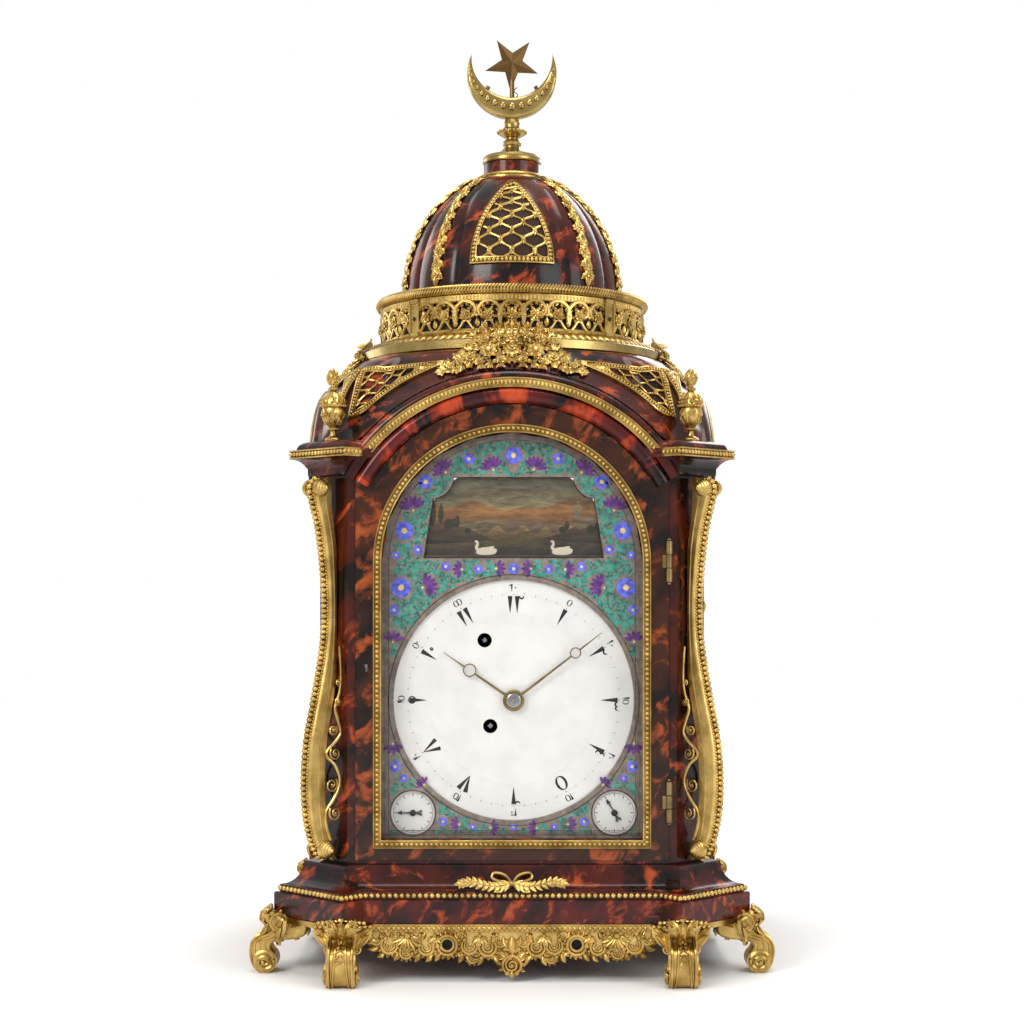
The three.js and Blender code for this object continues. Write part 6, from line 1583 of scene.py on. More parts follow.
sections = []
for s in np.linspace(0.002, 0.998, 72):
    outer, inner = crescent_at(s)
    middle, half = (outer + inner) / 2, (outer - inner) / 2
    depth = CRESCENT_HALF * min(1, 0.35 + np.linalg.norm(half) / 6)
    section = []
    for point in circle(1, 16):
        c, n, _ = [math.copysign(abs(part) ** 0.55, part) for part in point]
        across = middle + half * c
        section.append((across[0], depth * n, across[1]))
    sections.append(section)
made = piece("beaded_crescent", *rings(sections), burnished)
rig.replaces(made, "crescent")
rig.slot(made, "gilt_bronze")
balls = Relief()
for side in (-1, 1):
    s = 0.5
    for i in range(9):
        size = 3.5 * (1 - 0.085 * i)
        outer, inner = crescent_at(s)
        place = outer * 0.46 + inner * 0.54
        balls.ball((place[0], -CRESCENT_HALF + 0.2, place[1]), size, 12)
        s += side * (0.058 - 0.0028 * i)
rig.slot(piece("crescent_balls", *balls, burnished), "gilt_bronze")
bronze = finish("dark bronze", (0.125, 0.072, 0.026), 0.36, 1.0)
clad("star", bronze, "dark_bronze")
fittings = Relief()
for s in (0.30, 0.70):
    outer, inner = crescent_at(s)
    out = unit(inner - outer)
    fittings.tube([(p[0], 0, p[1]) for p in (inner - out, inner + out * 2.6)], 1.7, 8)
spring = [(3.2 + 1.6 * math.sin(t), 0, CRESCENT_CENTRE - 18.2 + 8 * t / 7) for t in np.linspace(0, 7, 20)]
fittings.tube(spring, 0.4, 5)
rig.slot(piece("crescent_fittings", *fittings, bronze), "dark_bronze")

# Doors. The front and the back door are veneered frames, arched like the case, that hang on two
# brass hinges at their right-hand side. A flat glass sits in a rebate behind each frame.

DOOR_HALF, DOOR_FOOT, DOOR_SHOULDER, DOOR_RADIUS = 114, 84.5, 364, 119.5
DOOR_FACE, DOOR_BACK = 144, 132
GLASS_HALF, GLASS_FOOT, GLASS_CENTRE = 95, 99.5, 301
REBATE = 4.5
HINGE_PLACE, HINGE_THIRD = (114.2, -145.6), 10
HINGE_FEET = (112, 287)
LOCK_X, LOCK_Z = -106, 224


def round_head(half, foot, facets=72):
    """A round-headed outline of [across, up]."""
    return np.vstack([[(-half, foot), (half, foot)], arc((0, GLASS_CENTRE), half, 0, 180, facets)])


darkest = (0.008, 0.0045, 0.003), (0.044, 0.013, 0.005)
dark_flecks = (0.13, 0.023, 0.007), (0.34, 0.070, 0.013)
dark_shell = veneer("dark tortoiseshell", darkest, dark_flecks, 66, 0.435)
head_start = math.degrees(math.asin((DOOR_SHOULDER - ARCH_CENTRE) / DOOR_RADIUS))
door_edge = oblong(-DOOR_HALF, DOOR_HALF, DOOR_FOOT, DOOR_SHOULDER)
door_edge[3:3] = arc((0, ARCH_CENTRE), DOOR_RADIUS, head_start, 180 - head_start, 60).tolist()
door_openings = [
    upright(round_head(GLASS_HALF + 1, GLASS_FOOT - 1), DOOR_FACE + 1, DOOR_BACK - 1),
    upright(round_head(GLASS_HALF + REBATE, GLASS_FOOT - REBATE), DOOR_FACE - 4, DOOR_BACK - 1),
    *[lathe([(2.7, z - 1), (2.7, z + 3 * HINGE_THIRD + 1)], 20, "Z", HINGE_PLACE) for z in HINGE_FEET]
]
lock_openings = [
    upright(oblong(-DOOR_HALF - 1, LOCK_X + 1.4, LOCK_Z - 3.3, LOCK_Z + 3.3), 141, 135),
    lathe([(1.7, -145), (1.7, -140)], 20, "Y", (LOCK_X, LOCK_Z + 2.2)),
    upright(oblong(LOCK_X - 0.7, LOCK_X + 0.7, LOCK_Z - 2.4, LOCK_Z + 1.4), 145, 140)
]
for k, side in ((0, "front"), (2, "back")):
    leaf = upright(door_edge, DOOR_FACE, DOOR_BACK)
    door = piece(f"veneered_{side}_door", *leaf, dark_shell, f"{side}_door")
    carve(door, *door_openings, *(lock_openings if side == "front" else []))
    door.data.transform(Matrix.Rotation(k * math.pi / 2, 4, "Z"))
    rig.replaces(door, f"{side}_door")
    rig.slot(door, "shell_veneer")

# Hinges and lock. Brass knuckles turn on a pin, two on the case and one on the door. The lock's
# steel bolt shoots out of the door's left edge.

brass = gilding("hinge brass", (0.20, 0.14, 0.06), (0.34, 0.25, 0.11), 0.35)


def knuckle(shapes, foot, length, radius):
    lip = radius - 0.3
    edge = [(0, 0), (lip, 0), (radius, 0.4), (radius, length - 0.4), (lip, length), (0, length)]
    shapes.add(*lathe([(r, foot + z) for r, z in edge], 24, "Z", HINGE_PLACE))


case_hinges, door_hinges = Relief(), Relief()
for foot in HINGE_FEET:
    low = foot + HINGE_THIRD + 0.3
    knuckle(door_hinges, low, HINGE_THIRD - 0.6, 2.4)
    door_hinges.add(*upright(oblong(109.4, 112.7, low, low + HINGE_THIRD - 0.6), 146.3, 143))
    for place in (foot, foot + 2 * HINGE_THIRD):
        knuckle(case_hinges, place, HINGE_THIRD, 2.52)
    for end in (foot - 0.9, foot + 3 * HINGE_THIRD + 0.9):
        case_hinges.ball((*HINGE_PLACE, end), (1.5, 1.5, 1.2), 12)
for k, side in ((0, "front"), (2, "back")):
    for name, hinges, body in (("case", case_hinges, "case"), ("door", door_hinges, f"{side}_door")):
        made = piece(f"{name}_hinges_{side}", turned(hinges.points, k), hinges.faces, brass, body)
        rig.slot(made, "gilt_bronze")

steel = finish("polished steel", (0.30, 0.30, 0.31), 0.28, 1.0)
roughen(steel, noise(steel, 700, 2, 0.6, 0, (1, 1, 8)), 0.2, 0.0003)
clad("lock_bolt", steel, "blued_steel")

# Bezel and glass. A gilt strip with a rim on each side and a row of beads is pinned round the
# front glass. The glass itself is thin and clear.

BEZEL_BACK, BEZEL_WIDTH = 144.3, 6.2
bezel_section = [(0, 0), (0, 1.7), (0.3, 2.1), (0.8, 2.0), (1.0, 1.0)]
bezel_section += [(BEZEL_WIDTH - inset, out) for inset, out in bezel_section[::-1]]


def round_the_glass(offset, reach):
    return [(x, -reach, z) for x, z in round_head(GLASS_HALF + offset, GLASS_FOOT - offset, 108)]


loops = [round_the_glass(offset, BEZEL_BACK + out) for offset, out in bezel_section]
bezel = piece("beaded_bezel", *rings(loops, closed=True), gilt, "front_door")
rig.replaces(bezel, "front_bezel")
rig.slot(bezel, "gilt_bronze")
middle_loop = round_the_glass(BEZEL_WIDTH / 2, BEZEL_BACK + 1.4)
beads("bezel_beads", [(middle_loop, True)], 3.6, (1.6, 1.75, 1.6), "front_door")
clear = finish("clear glass", (1, 1, 1), 0.0)
for name, value in (("Transmission Weight", 1), ("IOR", 1.08), ("Alpha", 0.1)):
    shader_of(clear).inputs[name].default_value = value
for name in ("front_glass", "back_glass"):
    clad(name, clear, "clear_glass")

# Enamel mask. A copper sheet painted in enamels behind the glass: teal leaves, blue rosettes
# and purple fans on a taupe ground, inside dotted borders. It is pierced for dials and scene.

MASK_FACE, MASK_BACK = 125.7, 123.9
MASK_HALF, MASK_FOOT = 104, 89.5
DIAL_X, DIAL_Z, DIAL_RADIUS = 1.2, 200, 88
SMALL_X, SMALL_Z, SMALL_RADIUS = 74.3, 116.8, 16
OPENING_FOOT, OPENING_SHOULDER, OPENING_TOP = 305, 348.4, 364.3
OPENING_HALF, NOTCH = 66.3, (60.3, 364.8, 16.2)


def enamel(name, low, high, scale=260, roughness=0.34):
    """Fired enamel: a glassy colour, a little uneven."""
    material = finish(name, high, roughness, coat=0.35)
    tone = ramp(material, noise(material, scale, 3, 0.6), (0.36, low), (0.64, high))
    link(material, tone, shader_of(material).inputs["Base Color"])
    return material


taupe = enamel("taupe enamel", (0.15, 0.115, 0.09), (0.27, 0.215, 0.17), 180)
teal = enamel("teal enamel", (0.004, 0.085, 0.068), (0.030, 0.36, 0.27))
blue = enamel("blue enamel", (0.045, 0.060, 0.46), (0.15, 0.19, 0.85))
purple = enamel("purple enamel", (0.050, 0.008, 0.11), (0.16, 0.030, 0.27))
straw = enamel("straw enamel", (0.62, 0.42, 0.11), (0.86, 0.68, 0.30))
umber = enamel("umber enamel", (0.020, 0.012, 0.010), (0.045, 0.028, 0.022))


def scene_opening():
    """The painting's window, with hollow upper corners."""
    side = [(OPENING_HALF, OPENING_FOOT), (59.4, OPENING_SHOULDER), *arc(NOTCH[:2], NOTCH[2], 268, 182, 12)]
    return [(u, z) for u, z in side] + [(-u, z) for u, z in side[::-1]]


def on_mask(shapes):
    """Lays shapes of [across, height, proud] on the mask's face."""
    return [(DIAL_X + u, -(MASK_FACE + w), z) for u, z, w in shapes.points]


mask = piece("painted_mask", *upright(round_head(MASK_HALF, MASK_FOOT), MASK_FACE, MASK_BACK), taupe)
small_holes = [(SMALL_RADIUS, 48, side * SMALL_X, SMALL_Z) for side in (-1, 1)]
for radius, facets, u, z in ((DIAL_RADIUS + 0.6, 128, 0, DIAL_Z), *small_holes):
    carve(mask, lathe([(radius, -127), (radius, -122)], facets, "Y", (DIAL_X + u, z)))
carve(mask, upright([(DIAL_X + u, z) for u, z in scene_opening()], 127, 122))
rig.replaces(mask, "enamel_mask")
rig.slot(mask, "painted_enamel")

ROSETTES = [
    (33, 378, 4.4, 6), (65, 361, 5.6, 7), (80.5, 325, 7.2, 8), (70.5, 311, 3.6, 6), (86.5, 307, 3.2, 6),
    (26, 296.6, 3.4, 6), (50, 298.5, 3.6, 6), (83, 283, 7.6, 8), (88, 266.5, 3.8, 6), (87.5, 151, 4.4, 7),
    (81, 142.5, 3.2, 6), (52, 110.5, 3.4, 6), (30, 106.5, 2.7, 6)
]
MIDDLE_ROSETTES = [(0, 380.5, 6.6, 8), (0, 297, 4.2, 6), (0, 106.3, 2.7, 6)]
FANS = [
    (15, 370, 10.5, 70, 7), (50, 368, 10.5, 50, 7), (74, 340, 11.5, 78, 7), (67, 283, 11.5, 165, 7),
    (38, 296.5, 7.5, 0, 5), (13, 297, 7.5, 180, 5), (89, 243, 8.5, 95, 5), (89, 168, 8.5, -95, 5),
    (66, 137.5, 6.5, 45, 5), (40, 108.5, 7, 0, 5), (17, 106, 7, 180, 5)
]


def free_of(u, z, spare):
    """True where leaves may grow: off the borders, dials, opening, rosettes and fans."""
    u = abs(u)
    if z < GLASS_CENTRE and (u > 90.5 - spare or z < 102 + spare):
        return False
    if z >= GLASS_CENTRE and math.hypot(u, z - GLASS_CENTRE) > 91.5 - spare:
        return False
    if math.hypot(u, z - DIAL_Z) < 93 + spare or math.hypot(u - SMALL_X, z - SMALL_Z) < 17.5 + spare:
        return False
    half = OPENING_HALF - (z - OPENING_FOOT) * 0.16 + 0.8 + spare
    if OPENING_FOOT - 1.6 - spare < z < OPENING_TOP + 1.2 + spare and u < half:
        if math.hypot(u - NOTCH[0], z - NOTCH[1]) > NOTCH[2] - 0.8 - spare:
            return False
    if any(
        math.hypot(u - x, z - y) < radius + 0.4 + spare for x, y, radius, _ in ROSETTES + MIDDLE_ROSETTES
    ):
        return False
    for x, y, radius, angle, _ in FANS:
        if math.hypot(*((u - x, z - y) - radius * 0.55 * aimed(angle))) < radius * 0.58 + spare:
            return False
    return True


def petal(shapes, base, tip, width, height, fullness=0.5):
    """A flat pointed leaf with its widest place at a share of its length."""
    base, tip = np.asarray(base, float), np.asarray(tip, float)
    along = tip - base
    side = np.array((-along[1], along[0])) / max(np.linalg.norm(along), 1e-6) * width / 2
    edge = [(fullness * 0.45, 0.75), (fullness, 1), (fullness + (1 - fullness) * 0.6, 0.68)]
    left, right = [[base + along * f + side * hand * s for f, s in edge] for hand in (1, -1)]
    shapes.add(*prism([base, *left, tip, *right[::-1]], 0, height))


leaves, petals, eyes, fans = [Relief() for _ in range(4)]
scatter = np.random.default_rng(7)
for row, z in enumerate(np.arange(103, 393, 2.55)):
    for column in range(32):
        u = (column + 0.5 * (row % 2)) * 3.0 + scatter.uniform(-0.7, 0.7)
        z_here = z + scatter.uniform(-0.7, 0.7)
        flow = 1.5 * math.sin(u / 10.0) + 1.4 * math.cos(z_here / 8.5) + 0.6 * math.sin((u + z_here) / 6)
        angle = flow + (0.75 if (row + column) % 2 else -0.75) + scatter.uniform(-0.3, 0.3)
        reach = scatter.uniform(2.1, 3.2)
        out = np.array((math.cos(angle), math.sin(angle))) * reach
        if free_of(u, z_here, 0.7) and free_of(u + out[0], z_here + out[1], 0.1) and u > 0.9:
            centre = np.array((u, z_here))
            width, height = scatter.uniform(1.7, 2.4), scatter.uniform(0.07, 0.14)
            petal(leaves, centre - out, centre + out, width, height)


def rosette(u, z, radius, count):
    """Blue petals round a straw-coloured eye."""
    width = 2.2 * radius * math.sin(math.pi / count)
    for k in range(count):
        out = aimed(math.degrees(0.2) + 360 * k / count) * radius
        petal(petals, (u, z) + out * 0.2, (u, z) + out, width, 0.15 + 0.05 * (k % 2), 0.62)
    eyes.ball((u, z, 0.1), (radius * 0.32, radius * 0.32, 0.3), 10)


for row in ROSETTES:
    rosette(*row)
for x, y, radius, angle, count in FANS:
    for spread in np.linspace(angle - 62, angle + 62, count):
        out = aimed(spread) * radius
        petal(fans, (x, y) + out * 0.16, (x, y) + out, radius * 1.75 / count, 0.13, 0.66)
    eyes.ball((x, y, 0.1), (0.9, 0.9, 0.2), 8)
for shapes in (leaves, petals, eyes, fans):
    shapes.mirrored()
for row in MIDDLE_ROSETTES:
    rosette(*row)
for shapes, material, name in (
    (leaves, teal, "leaves"), (petals, blue, "rosettes"), (eyes, straw, "flower_eyes"),
    (fans, purple, "fans")
):
    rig.slot(piece(f"mask_{name}", on_mask(shapes), shapes.faces, material), "painted_enamel")


def dotted(name, outline, radius):
    """A row of flat umber dots along a ring on the mask."""
    values = (2.1 / 1000, [radius / 1000, radius / 1000, 0.0001], 6, umber)
    path = path_object(name, [([(x, -MASK_FACE - 0.12, z) for x, z in outline], True)])
    made = grown(path, name, BEAD_TREE, dict(zip(BEAD_SIZES.values(), values)), "case", umber)
    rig.slot(made, "painted_enamel")


for i, radius in enumerate((89.7, 91.3)):
    dotted(f"dial_border_dots_{i}", arc((DIAL_X, DIAL_Z), radius, 1.1 * i, 359 + 1.1 * i, 180), 0.62)
for i, spare in enumerate((1.6, 3.2)):
    dotted(f"edge_border_dots_{i}", round_head(GLASS_HALF - spare + 0.4, GLASS_FOOT + spare, 96), 0.8)
lines = Relief()
edge_line = round_head(GLASS_HALF - 4.1, GLASS_FOOT + 4.3, 96) - (DIAL_X, 0)
for outline, radius in ((edge_line, 0.22), (np.array(scene_opening()), 0.3)):
    lines.tube(lifted(np.vstack([outline, outline[:1]]), 0.1), radius, 4)
for centre, radius in (((0, DIAL_Z), 92.6), ((SMALL_X, SMALL_Z), 16.9), ((-SMALL_X, SMALL_Z), 16.9)):
    lines.tube(lifted(arc(centre, radius, 0, 360, 96), 0.1), 0.3, 4)
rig.slot(piece("mask_border_lines", on_mask(lines), lines.faces, umber), "painted_enamel")

# Dials. White enamel fired on copper: a gently domed main dial with wedge-shaped numerals,
# a minute track and two winding holes, and two flat dials in the lower corners.

white = enamel("white enamel", (0.67, 0.665, 0.645), (0.73, 0.725, 0.70), 40, 0.25)
ink = finish("black enamel", (0.012, 0.011, 0.012), 0.35)
DIAL_BACK, DIAL_EDGE, DIAL_CROWN = 121.4, 123.6, 3.0
DIAL_HOLE = 3.6
WINDING = ((-16, 180.9), (-20.2, 244.2))
WINDING_RADIUS = 5.3
HOUR_TRACK, MINUTE_TRACK, MINUTE_NUMBERS = 65.0, 78.2, 79.9


def dial_face(radius):
    return DIAL_EDGE + DIAL_CROWN * (1 - (radius / DIAL_RADIUS) ** 2)


profile = [(DIAL_HOLE, -DIAL_BACK), (90.5, -DIAL_BACK), (90.5, -DIAL_EDGE)]
profile += [(r, -dial_face(r)) for r in np.linspace(DIAL_RADIUS, DIAL_HOLE, 20)]
dial = piece("domed_dial", *lathe(profile, 144, "Y", (DIAL_X, DIAL_Z), closed=True), white)
carve(dial, *[lathe([(WINDING_RADIUS, -130), (WINDING_RADIUS, -120)], 40, "Y", place) for place in WINDING])
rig.replaces(dial, "main_dial")
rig.slot(dial, "white_enamel")


def stroke(shapes, path, halves):
    """A flat pen stroke through [across, up] points with a half width at each."""
    path = np.asarray(path, float)
    halves = np.broadcast_to(halves, len(path))
    sections = []
    for i, point in enumerate(path):
        along = unit(path[min(i + 1, len(path) - 1)] - path[max(i - 1, 0)])
        side = np.array((-along[1], along[0])) * halves[i]
        left, right = point - side, point + side
        sections.append([(*left, -0.1), (*right, -0.1), (*right, 0.12), (*left, 0.12)])
    shapes.add(*rings(sections))


CURLS_OF = {
    0: [(0, 0.55, 0.07, 0, 350)], 2: [(0.26, 0.98, 0.13, 170, 370)],
    3: [(0.26, 0.98, 0.13, 170, 370), (0.5, 0.98, 0.11, 170, 370)],
    4: [(0.22, 1.0, 0.12, 90, 270), (0.22, 0.72, 0.14, 90, 300)], 6: [(-0.24, 0.98, 0.13, -170, 20)],
    9: [(0.02, 0.86, 0.2, 60, 420)]
}
WEDGES_OF = {7: [(0, -0.24, 0.145), (0, 0.24, 0.145)], 8: [(-0.3, 0.3, 0.12), (0.3, -0.3, 0.12)]}
WEDGES_OF |= {digit: [(0, 0, 0.145)] for digit in (1, 2, 3, 4, 6, 9)}


def numeral(shapes, digit, across, up, size):
    """One wedge-shaped Eastern digit, its point towards the dial's middle."""
    for x, lean, width in WEDGES_OF.get(digit, ()):
        wide, point = (across + (x + lean) * size, up + size), (across + x * size, up)
        path = [point, wide] if digit == 8 else [wide, point]
        stroke(shapes, path, [width * size, 0.012 * size])
    for x, y, radius, start, end in CURLS_OF.get(digit, ()):
        turns = arc((across + x * size, up + y * size), radius * size, start, end, 10)
        stroke(shapes, turns, 0.035 * size * (0.5 + np.sin(np.linspace(0.2, math.pi - 0.2, 10))))
    if digit == 5:
        loop = arc((0, 0), 1, 0, 360, 22) * (0.27 * size, 0.42 * size) + (across, up + 0.5 * size)
        stroke(shapes, loop, 0.022 * size + 0.055 * size * np.abs(np.cos(np.linspace(0, 2 * math.pi, 22))))


def number(shapes, value, up, size, gap):
    digits = [int(figure) for figure in str(value)]
    for i, digit in enumerate(digits):
        numeral(shapes, digit, (i - (len(digits) - 1) / 2) * gap * size, up, size)


def round_dial(shapes, degrees):
    """Turns shapes of [across, radius, proud] to an angle on the main dial."""
    c, s = aimed(degrees)
    places = [(u * c + v * s, v * c - u * s, w) for u, v, w in shapes.points]
    return [(DIAL_X + x, -(dial_face(math.hypot(x, z)) + w), DIAL_Z + z) for x, z, w in places]


marks = Relief()
for hour in range(1, 13):
    local = Relief()
    number(local, hour, HOUR_TRACK - 0.6, 12.4, 0.42)
    number(local, hour * 5, MINUTE_NUMBERS, 5.6, 0.5)
    marks.add(round_dial(local, hour * 30), local.faces)
for minute in range(60):
    local = Relief()
    low, high, half = (-0.8, 0.8, 0.13) if minute % 5 else (-0.9, 0.3, 0.2)
    stroke(local, [(0, MINUTE_TRACK + low), (0, MINUTE_TRACK + high)], half)
    marks.add(round_dial(local, minute * 6), local.faces)
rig.slot(piece("dial_numerals", *marks, ink), "white_enamel")
faint = finish("faint grey enamel", (0.60, 0.59, 0.57), 0.3)
circles = Relief()
for radius in (62.5, MINUTE_TRACK):
    local = Relief()
    stroke(local, arc((0, 0), radius, 0, 360, 145), 0.10)
    circles.add(round_dial(local, 0), local.faces)
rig.slot(piece("dial_track_lines", *circles, faint), "white_enamel")
for side, name in ((-1, "strike_dial"), (1, "tune_dial")):
    clad(name, white, "white_enamel")
    small = Relief()
    for i in range(24):
        low, high, half = (13.0, 13.8, 0.16) if i % 2 else (12.2, 14.0, 0.32)
        stroke(small, [aimed(90 - 15 * i) * reach for reach in (low, high)], half)
    stroke(small, arc((0, 0), 14.6, 0, 360, 61), 0.12)
    points = [(DIAL_X + side * SMALL_X + u, -(DIAL_EDGE + w), SMALL_Z + v) for u, v, w in small.points]
    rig.slot(piece(f"{name}_marks", points, small.faces, ink), "white_enamel")

# Hands. Slim brass poker hands with an open ring; a steel nut holds them on a brass collet.
# Two small hands of dark steel stand on the corner dials.

hand_brass = gilding("hand brass", (0.20, 0.14, 0.05), (0.36, 0.26, 0.10), 0.3)
blued = finish("dark steel", (0.06, 0.055, 0.05), 0.3, 1.0)
roughen(blued, noise(blued, 900, 2, 0.5), 0.15, 0.0003)


def hand_shapes(length, ring, ring_radius, front, thick):
    """A hand that points up, in [across, along, reach]."""
    shapes = Relief()
    levels = ((1, front - thick), (1, front - 0.3), (0.6, front))
    reach = ring_radius - 0.4
    for foot, a, tip, b in ((0, 1.05, ring - reach, 0.65), (ring + reach, 0.62, length, 0.22)):
        bar = [(-a, foot), (a, foot), (b, tip), (-b, tip)]
        shapes.add(*rings([[(u * s, v, r) for u, v in bar] for s, r in levels]))
    steps = [
        (0.85, 0.3), (0.85, thick - 0.3), (0.6, thick), (0.2, thick), (0, thick - 0.3), (0, 0.3), (0.4, 0)
    ]
    steps = [(ring_radius - inset, out) for inset, out in steps]
    return shapes.add(*round_ring(steps, front - thick, 32, (0, ring)))


def hung(shapes, degrees, x, z):
    """Turns a hand that points up to its angle, clockwise from the top."""
    c, s = aimed(degrees)
    return [(x + u * c + v * s, -r, z + v * c - u * s) for u, v, r in shapes.points]


MINUTE_FRONT, HOUR_FRONT, HAND_THICK = 130.8, 128.8, 1.2
MINUTE_BOSS = [
    (0, 129.6), (7.6, 129.6), (7.9, 129.9), (7.9, 130.6), (7.2, 131.1), (5.9, 131.1), (5.6, 130.7),
    (0, 130.7)
]
HOUR_BOSS = [(0, 127.6), (6.4, 127.6), (6.4, 128.8), (0, 128.8)]
for body, boss, sizes, angle in (
    ("minute_hand", MINUTE_BOSS, (82, 57.4, 4.2, MINUTE_FRONT, HAND_THICK), 52.5),
    ("hour_hand", HOUR_BOSS, (62.3, 39.2, 5.0, HOUR_FRONT, HAND_THICK), 304.4)
):
    shapes = hand_shapes(*sizes).add(*lathe(boss, 40))
    made = piece(f"{body}_blade", hung(shapes, angle, DIAL_X, DIAL_Z), shapes.faces, hand_brass, body)
    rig.replaces(made, body)
    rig.slot(made, "hand_brass")
NUT = [
    (0, 130.6), (5.4, 130.6), (5.4, 131.2), (4.6, 131.7), (3.6, 131.8), (3.3, 132.3), (2.0, 132.6),
    (1.6, 133.2), (0, 133.2)
]
nut = Relief().add(*lathe(NUT, 40)).add(*lathe([(0, 100), (1.8, 100), (1.8, 130.7), (0, 130.7)], 16))
made = piece("hand_nut", hung(nut, 0, DIAL_X, DIAL_Z), nut.faces, steel, "minute_hand")
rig.slot(made, "hand_brass")
pipe = Relief().add(*round_ring([(3.2, 108), (3.2, 127.8), (2.1, 127.8), (2.1, 108)], 0, 20))
made = piece("hour_pipe", hung(pipe, 0, DIAL_X, DIAL_Z), pipe.faces, hand_brass, "hour_hand")
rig.slot(made, "hand_brass")
for side, body, angle in ((-1, "strike_hand", 270), (1, "tune_hand", 330)):
    small = Relief()
    front, back = 125.05, 124.25
    for outline in (
        [(-0.5, 0), (0.5, 0), (0.45, 8), (1.6, 8.2), (0, 12), (-1.6, 8.2), (-0.45, 8)],
        [(-0.6, 0), (-0.5, -3), (0.5, -3), (0.6, 0)]
    ):
        small.add(*prism(outline, back, front))
    for x, y, radius in ((0, -4.2, 1.3), (-1.3, -5.8, 0.9), (1.3, -5.8, 0.9)):
        hoop = [(radius, back), (radius, front), (radius * 0.45, front), (radius * 0.45, back)]
        small.add(*round_ring(hoop, 0, 14, (x, y)))
    boss = [
        (0, 119), (1.05, 119), (1.05, back), (2.3, back), (2.4, front), (1.8, front + 0.4), (0, front + 0.5)
    ]
    small.add(*lathe(boss, 20))
    points = hung(small, angle, DIAL_X + side * SMALL_X, SMALL_Z)
    made = piece(f"{body}_pointer", points, small.faces, blued, body)
    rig.replaces(made, body)
    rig.slot(made, "blued_steel")

# Painted scene. A board behind the mask with a plain lakeside view in oils: hills, trees and a
# bridge. Before it a strip with two swans slides to and fro while the music plays.


def painted(name, foot, top, stops):
    """Oil paint that changes with height, in cloudy strokes."""
    material = finish(name, (0.1, 0.08, 0.05), 0.5, coat=0.25)
    place = node(material, "ShaderNodeTexCoord")
    split = node(material, "ShaderNodeSeparateXYZ")
    link(material, place.outputs["Object"], split.inputs["Vector"])
    share = node(material, "ShaderNodeMapRange", From_Min=foot / 1000, From_Max=top / 1000)
    link(material, split.outputs["Z"], share.inputs["Value"])
    cloud = node(material, "ShaderNodeMath", operation="MULTIPLY_ADD")
    cloud.inputs[1].default_value = 0.35
    link(material, noise(material, 60, 5, 0.65, 0.4, (3, 3, 1)), cloud.inputs[0])
    link(material, share.outputs["Result"], cloud.inputs[2])
    ground = ramp(material, cloud.outputs["Value"], *stops)
    bristles = noise(material, 190, 6, 0.7, 0.8, (4, 4, 1))
    strokes = ramp(material, bristles, (0.36, (0.35, 0.30, 0.24)), (0.64, (1, 1, 1)))
    link(
        material, mixed(material, 1.0, ground, strokes, "MULTIPLY"),
        shader_of(material).inputs["Base Color"]
    )
    roughen(material, noise(material, 800, 3, 0.6, 0, (3, 3, 1)), 0.25, 0.0004)
    return material


sky = [(0.10, (0.020, 0.017, 0.010)), (0.30, (0.045, 0.034, 0.016)), (0.48, (0.13, 0.086, 0.032))]
sky += [(0.62, (0.34, 0.235, 0.098)), (0.85, (0.21, 0.178, 0.090)), (1.15, (0.115, 0.105, 0.062))]
clad("scene_board", painted("painted sky and water", 305, 364, sky), "scene_paint")
far_tones = [(0.2, (0.15, 0.075, 0.026)), (0.7, (0.34, 0.16, 0.042)), (1.1, (0.16, 0.088, 0.034))]
far_paint = painted("painted far hills", 330, 350, far_tones)
near_tones = [(0.2, (0.016, 0.014, 0.006)), (0.7, (0.052, 0.036, 0.014)), (1.2, (0.10, 0.064, 0.022))]
near_paint = painted("painted near bank", 312, 334, near_tones)
tree_paint = painted(
    "painted trees", 318, 350, [(0.3, (0.012, 0.012, 0.005)), (0.9, (0.048, 0.038, 0.014))]
)
stone_paint = painted(
    "painted stone", 320, 345, [(0.3, (0.085, 0.060, 0.034)), (0.9, (0.22, 0.165, 0.095))]
)
cream_paint = finish("cream paint", (0.52, 0.47, 0.36), 0.5)
BOARD_FACE = 122.15


def on_board(name, shapes, lift, material):
    points = [(DIAL_X + u, -(BOARD_FACE + lift + w), z) for u, z, w in shapes.points]
    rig.slot(piece(name, points, shapes.faces, material), "scene_paint")


FAR_RIDGE = [(-72, 339), (-58, 344), (-46, 342), (-31, 347.5), (-18, 343), (-6, 340), (6, 342), (20, 341)]
FAR_RIDGE += [(33, 346), (47, 349), (58, 346), (72, 341)]
NEAR_RIDGE = [(-72, 334), (-50, 337), (-34, 340), (-20, 336), (0, 334), (22, 336.5), (44, 340), (72, 336)]
hills, bank, stone, trees = [Relief() for _ in range(4)]
hills.add(*prism([*smooth(FAR_RIDGE, 40), (72, 331), (-72, 331)], 0, 0.05))
hills.add(*prism([*smooth(NEAR_RIDGE, 40), (72, 329), (-72, 329)], 0, 0.08))
on_board("painted_hills", hills, 0, far_paint)
left = smooth([(-72, 329), (-60, 331), (-44, 329.5), (-30, 325), (-20, 320.5), (-14, 318.6)], 22)
right = smooth([(22, 319), (34, 323), (46, 328), (60, 330), (72, 331)], 22)
for shore in ([*left, (-30, 316.5), (-72, 315)], [*right, (72, 316), (40, 316.6)]):
    bank.add(*prism(shore, 0, 0.1))
on_board("painted_banks", bank, 0.02, near_paint)
BRIDGE = [
    (-38, 324), (-38, 331), (-16, 333.4), (8, 333.4), (34, 330), (34, 324), (29, 323.5), (24, 328.5),
    (17, 323)
]
BRIDGE += [
    (14, 323), (7, 330.4), (-1, 323), (-5, 323), (-12, 330), (-20, 323), (-24, 323), (-29, 327.5),
    (-34, 323.5)
]
MILL = [(44, 326), (51, 326), (50, 342), (45, 342)]
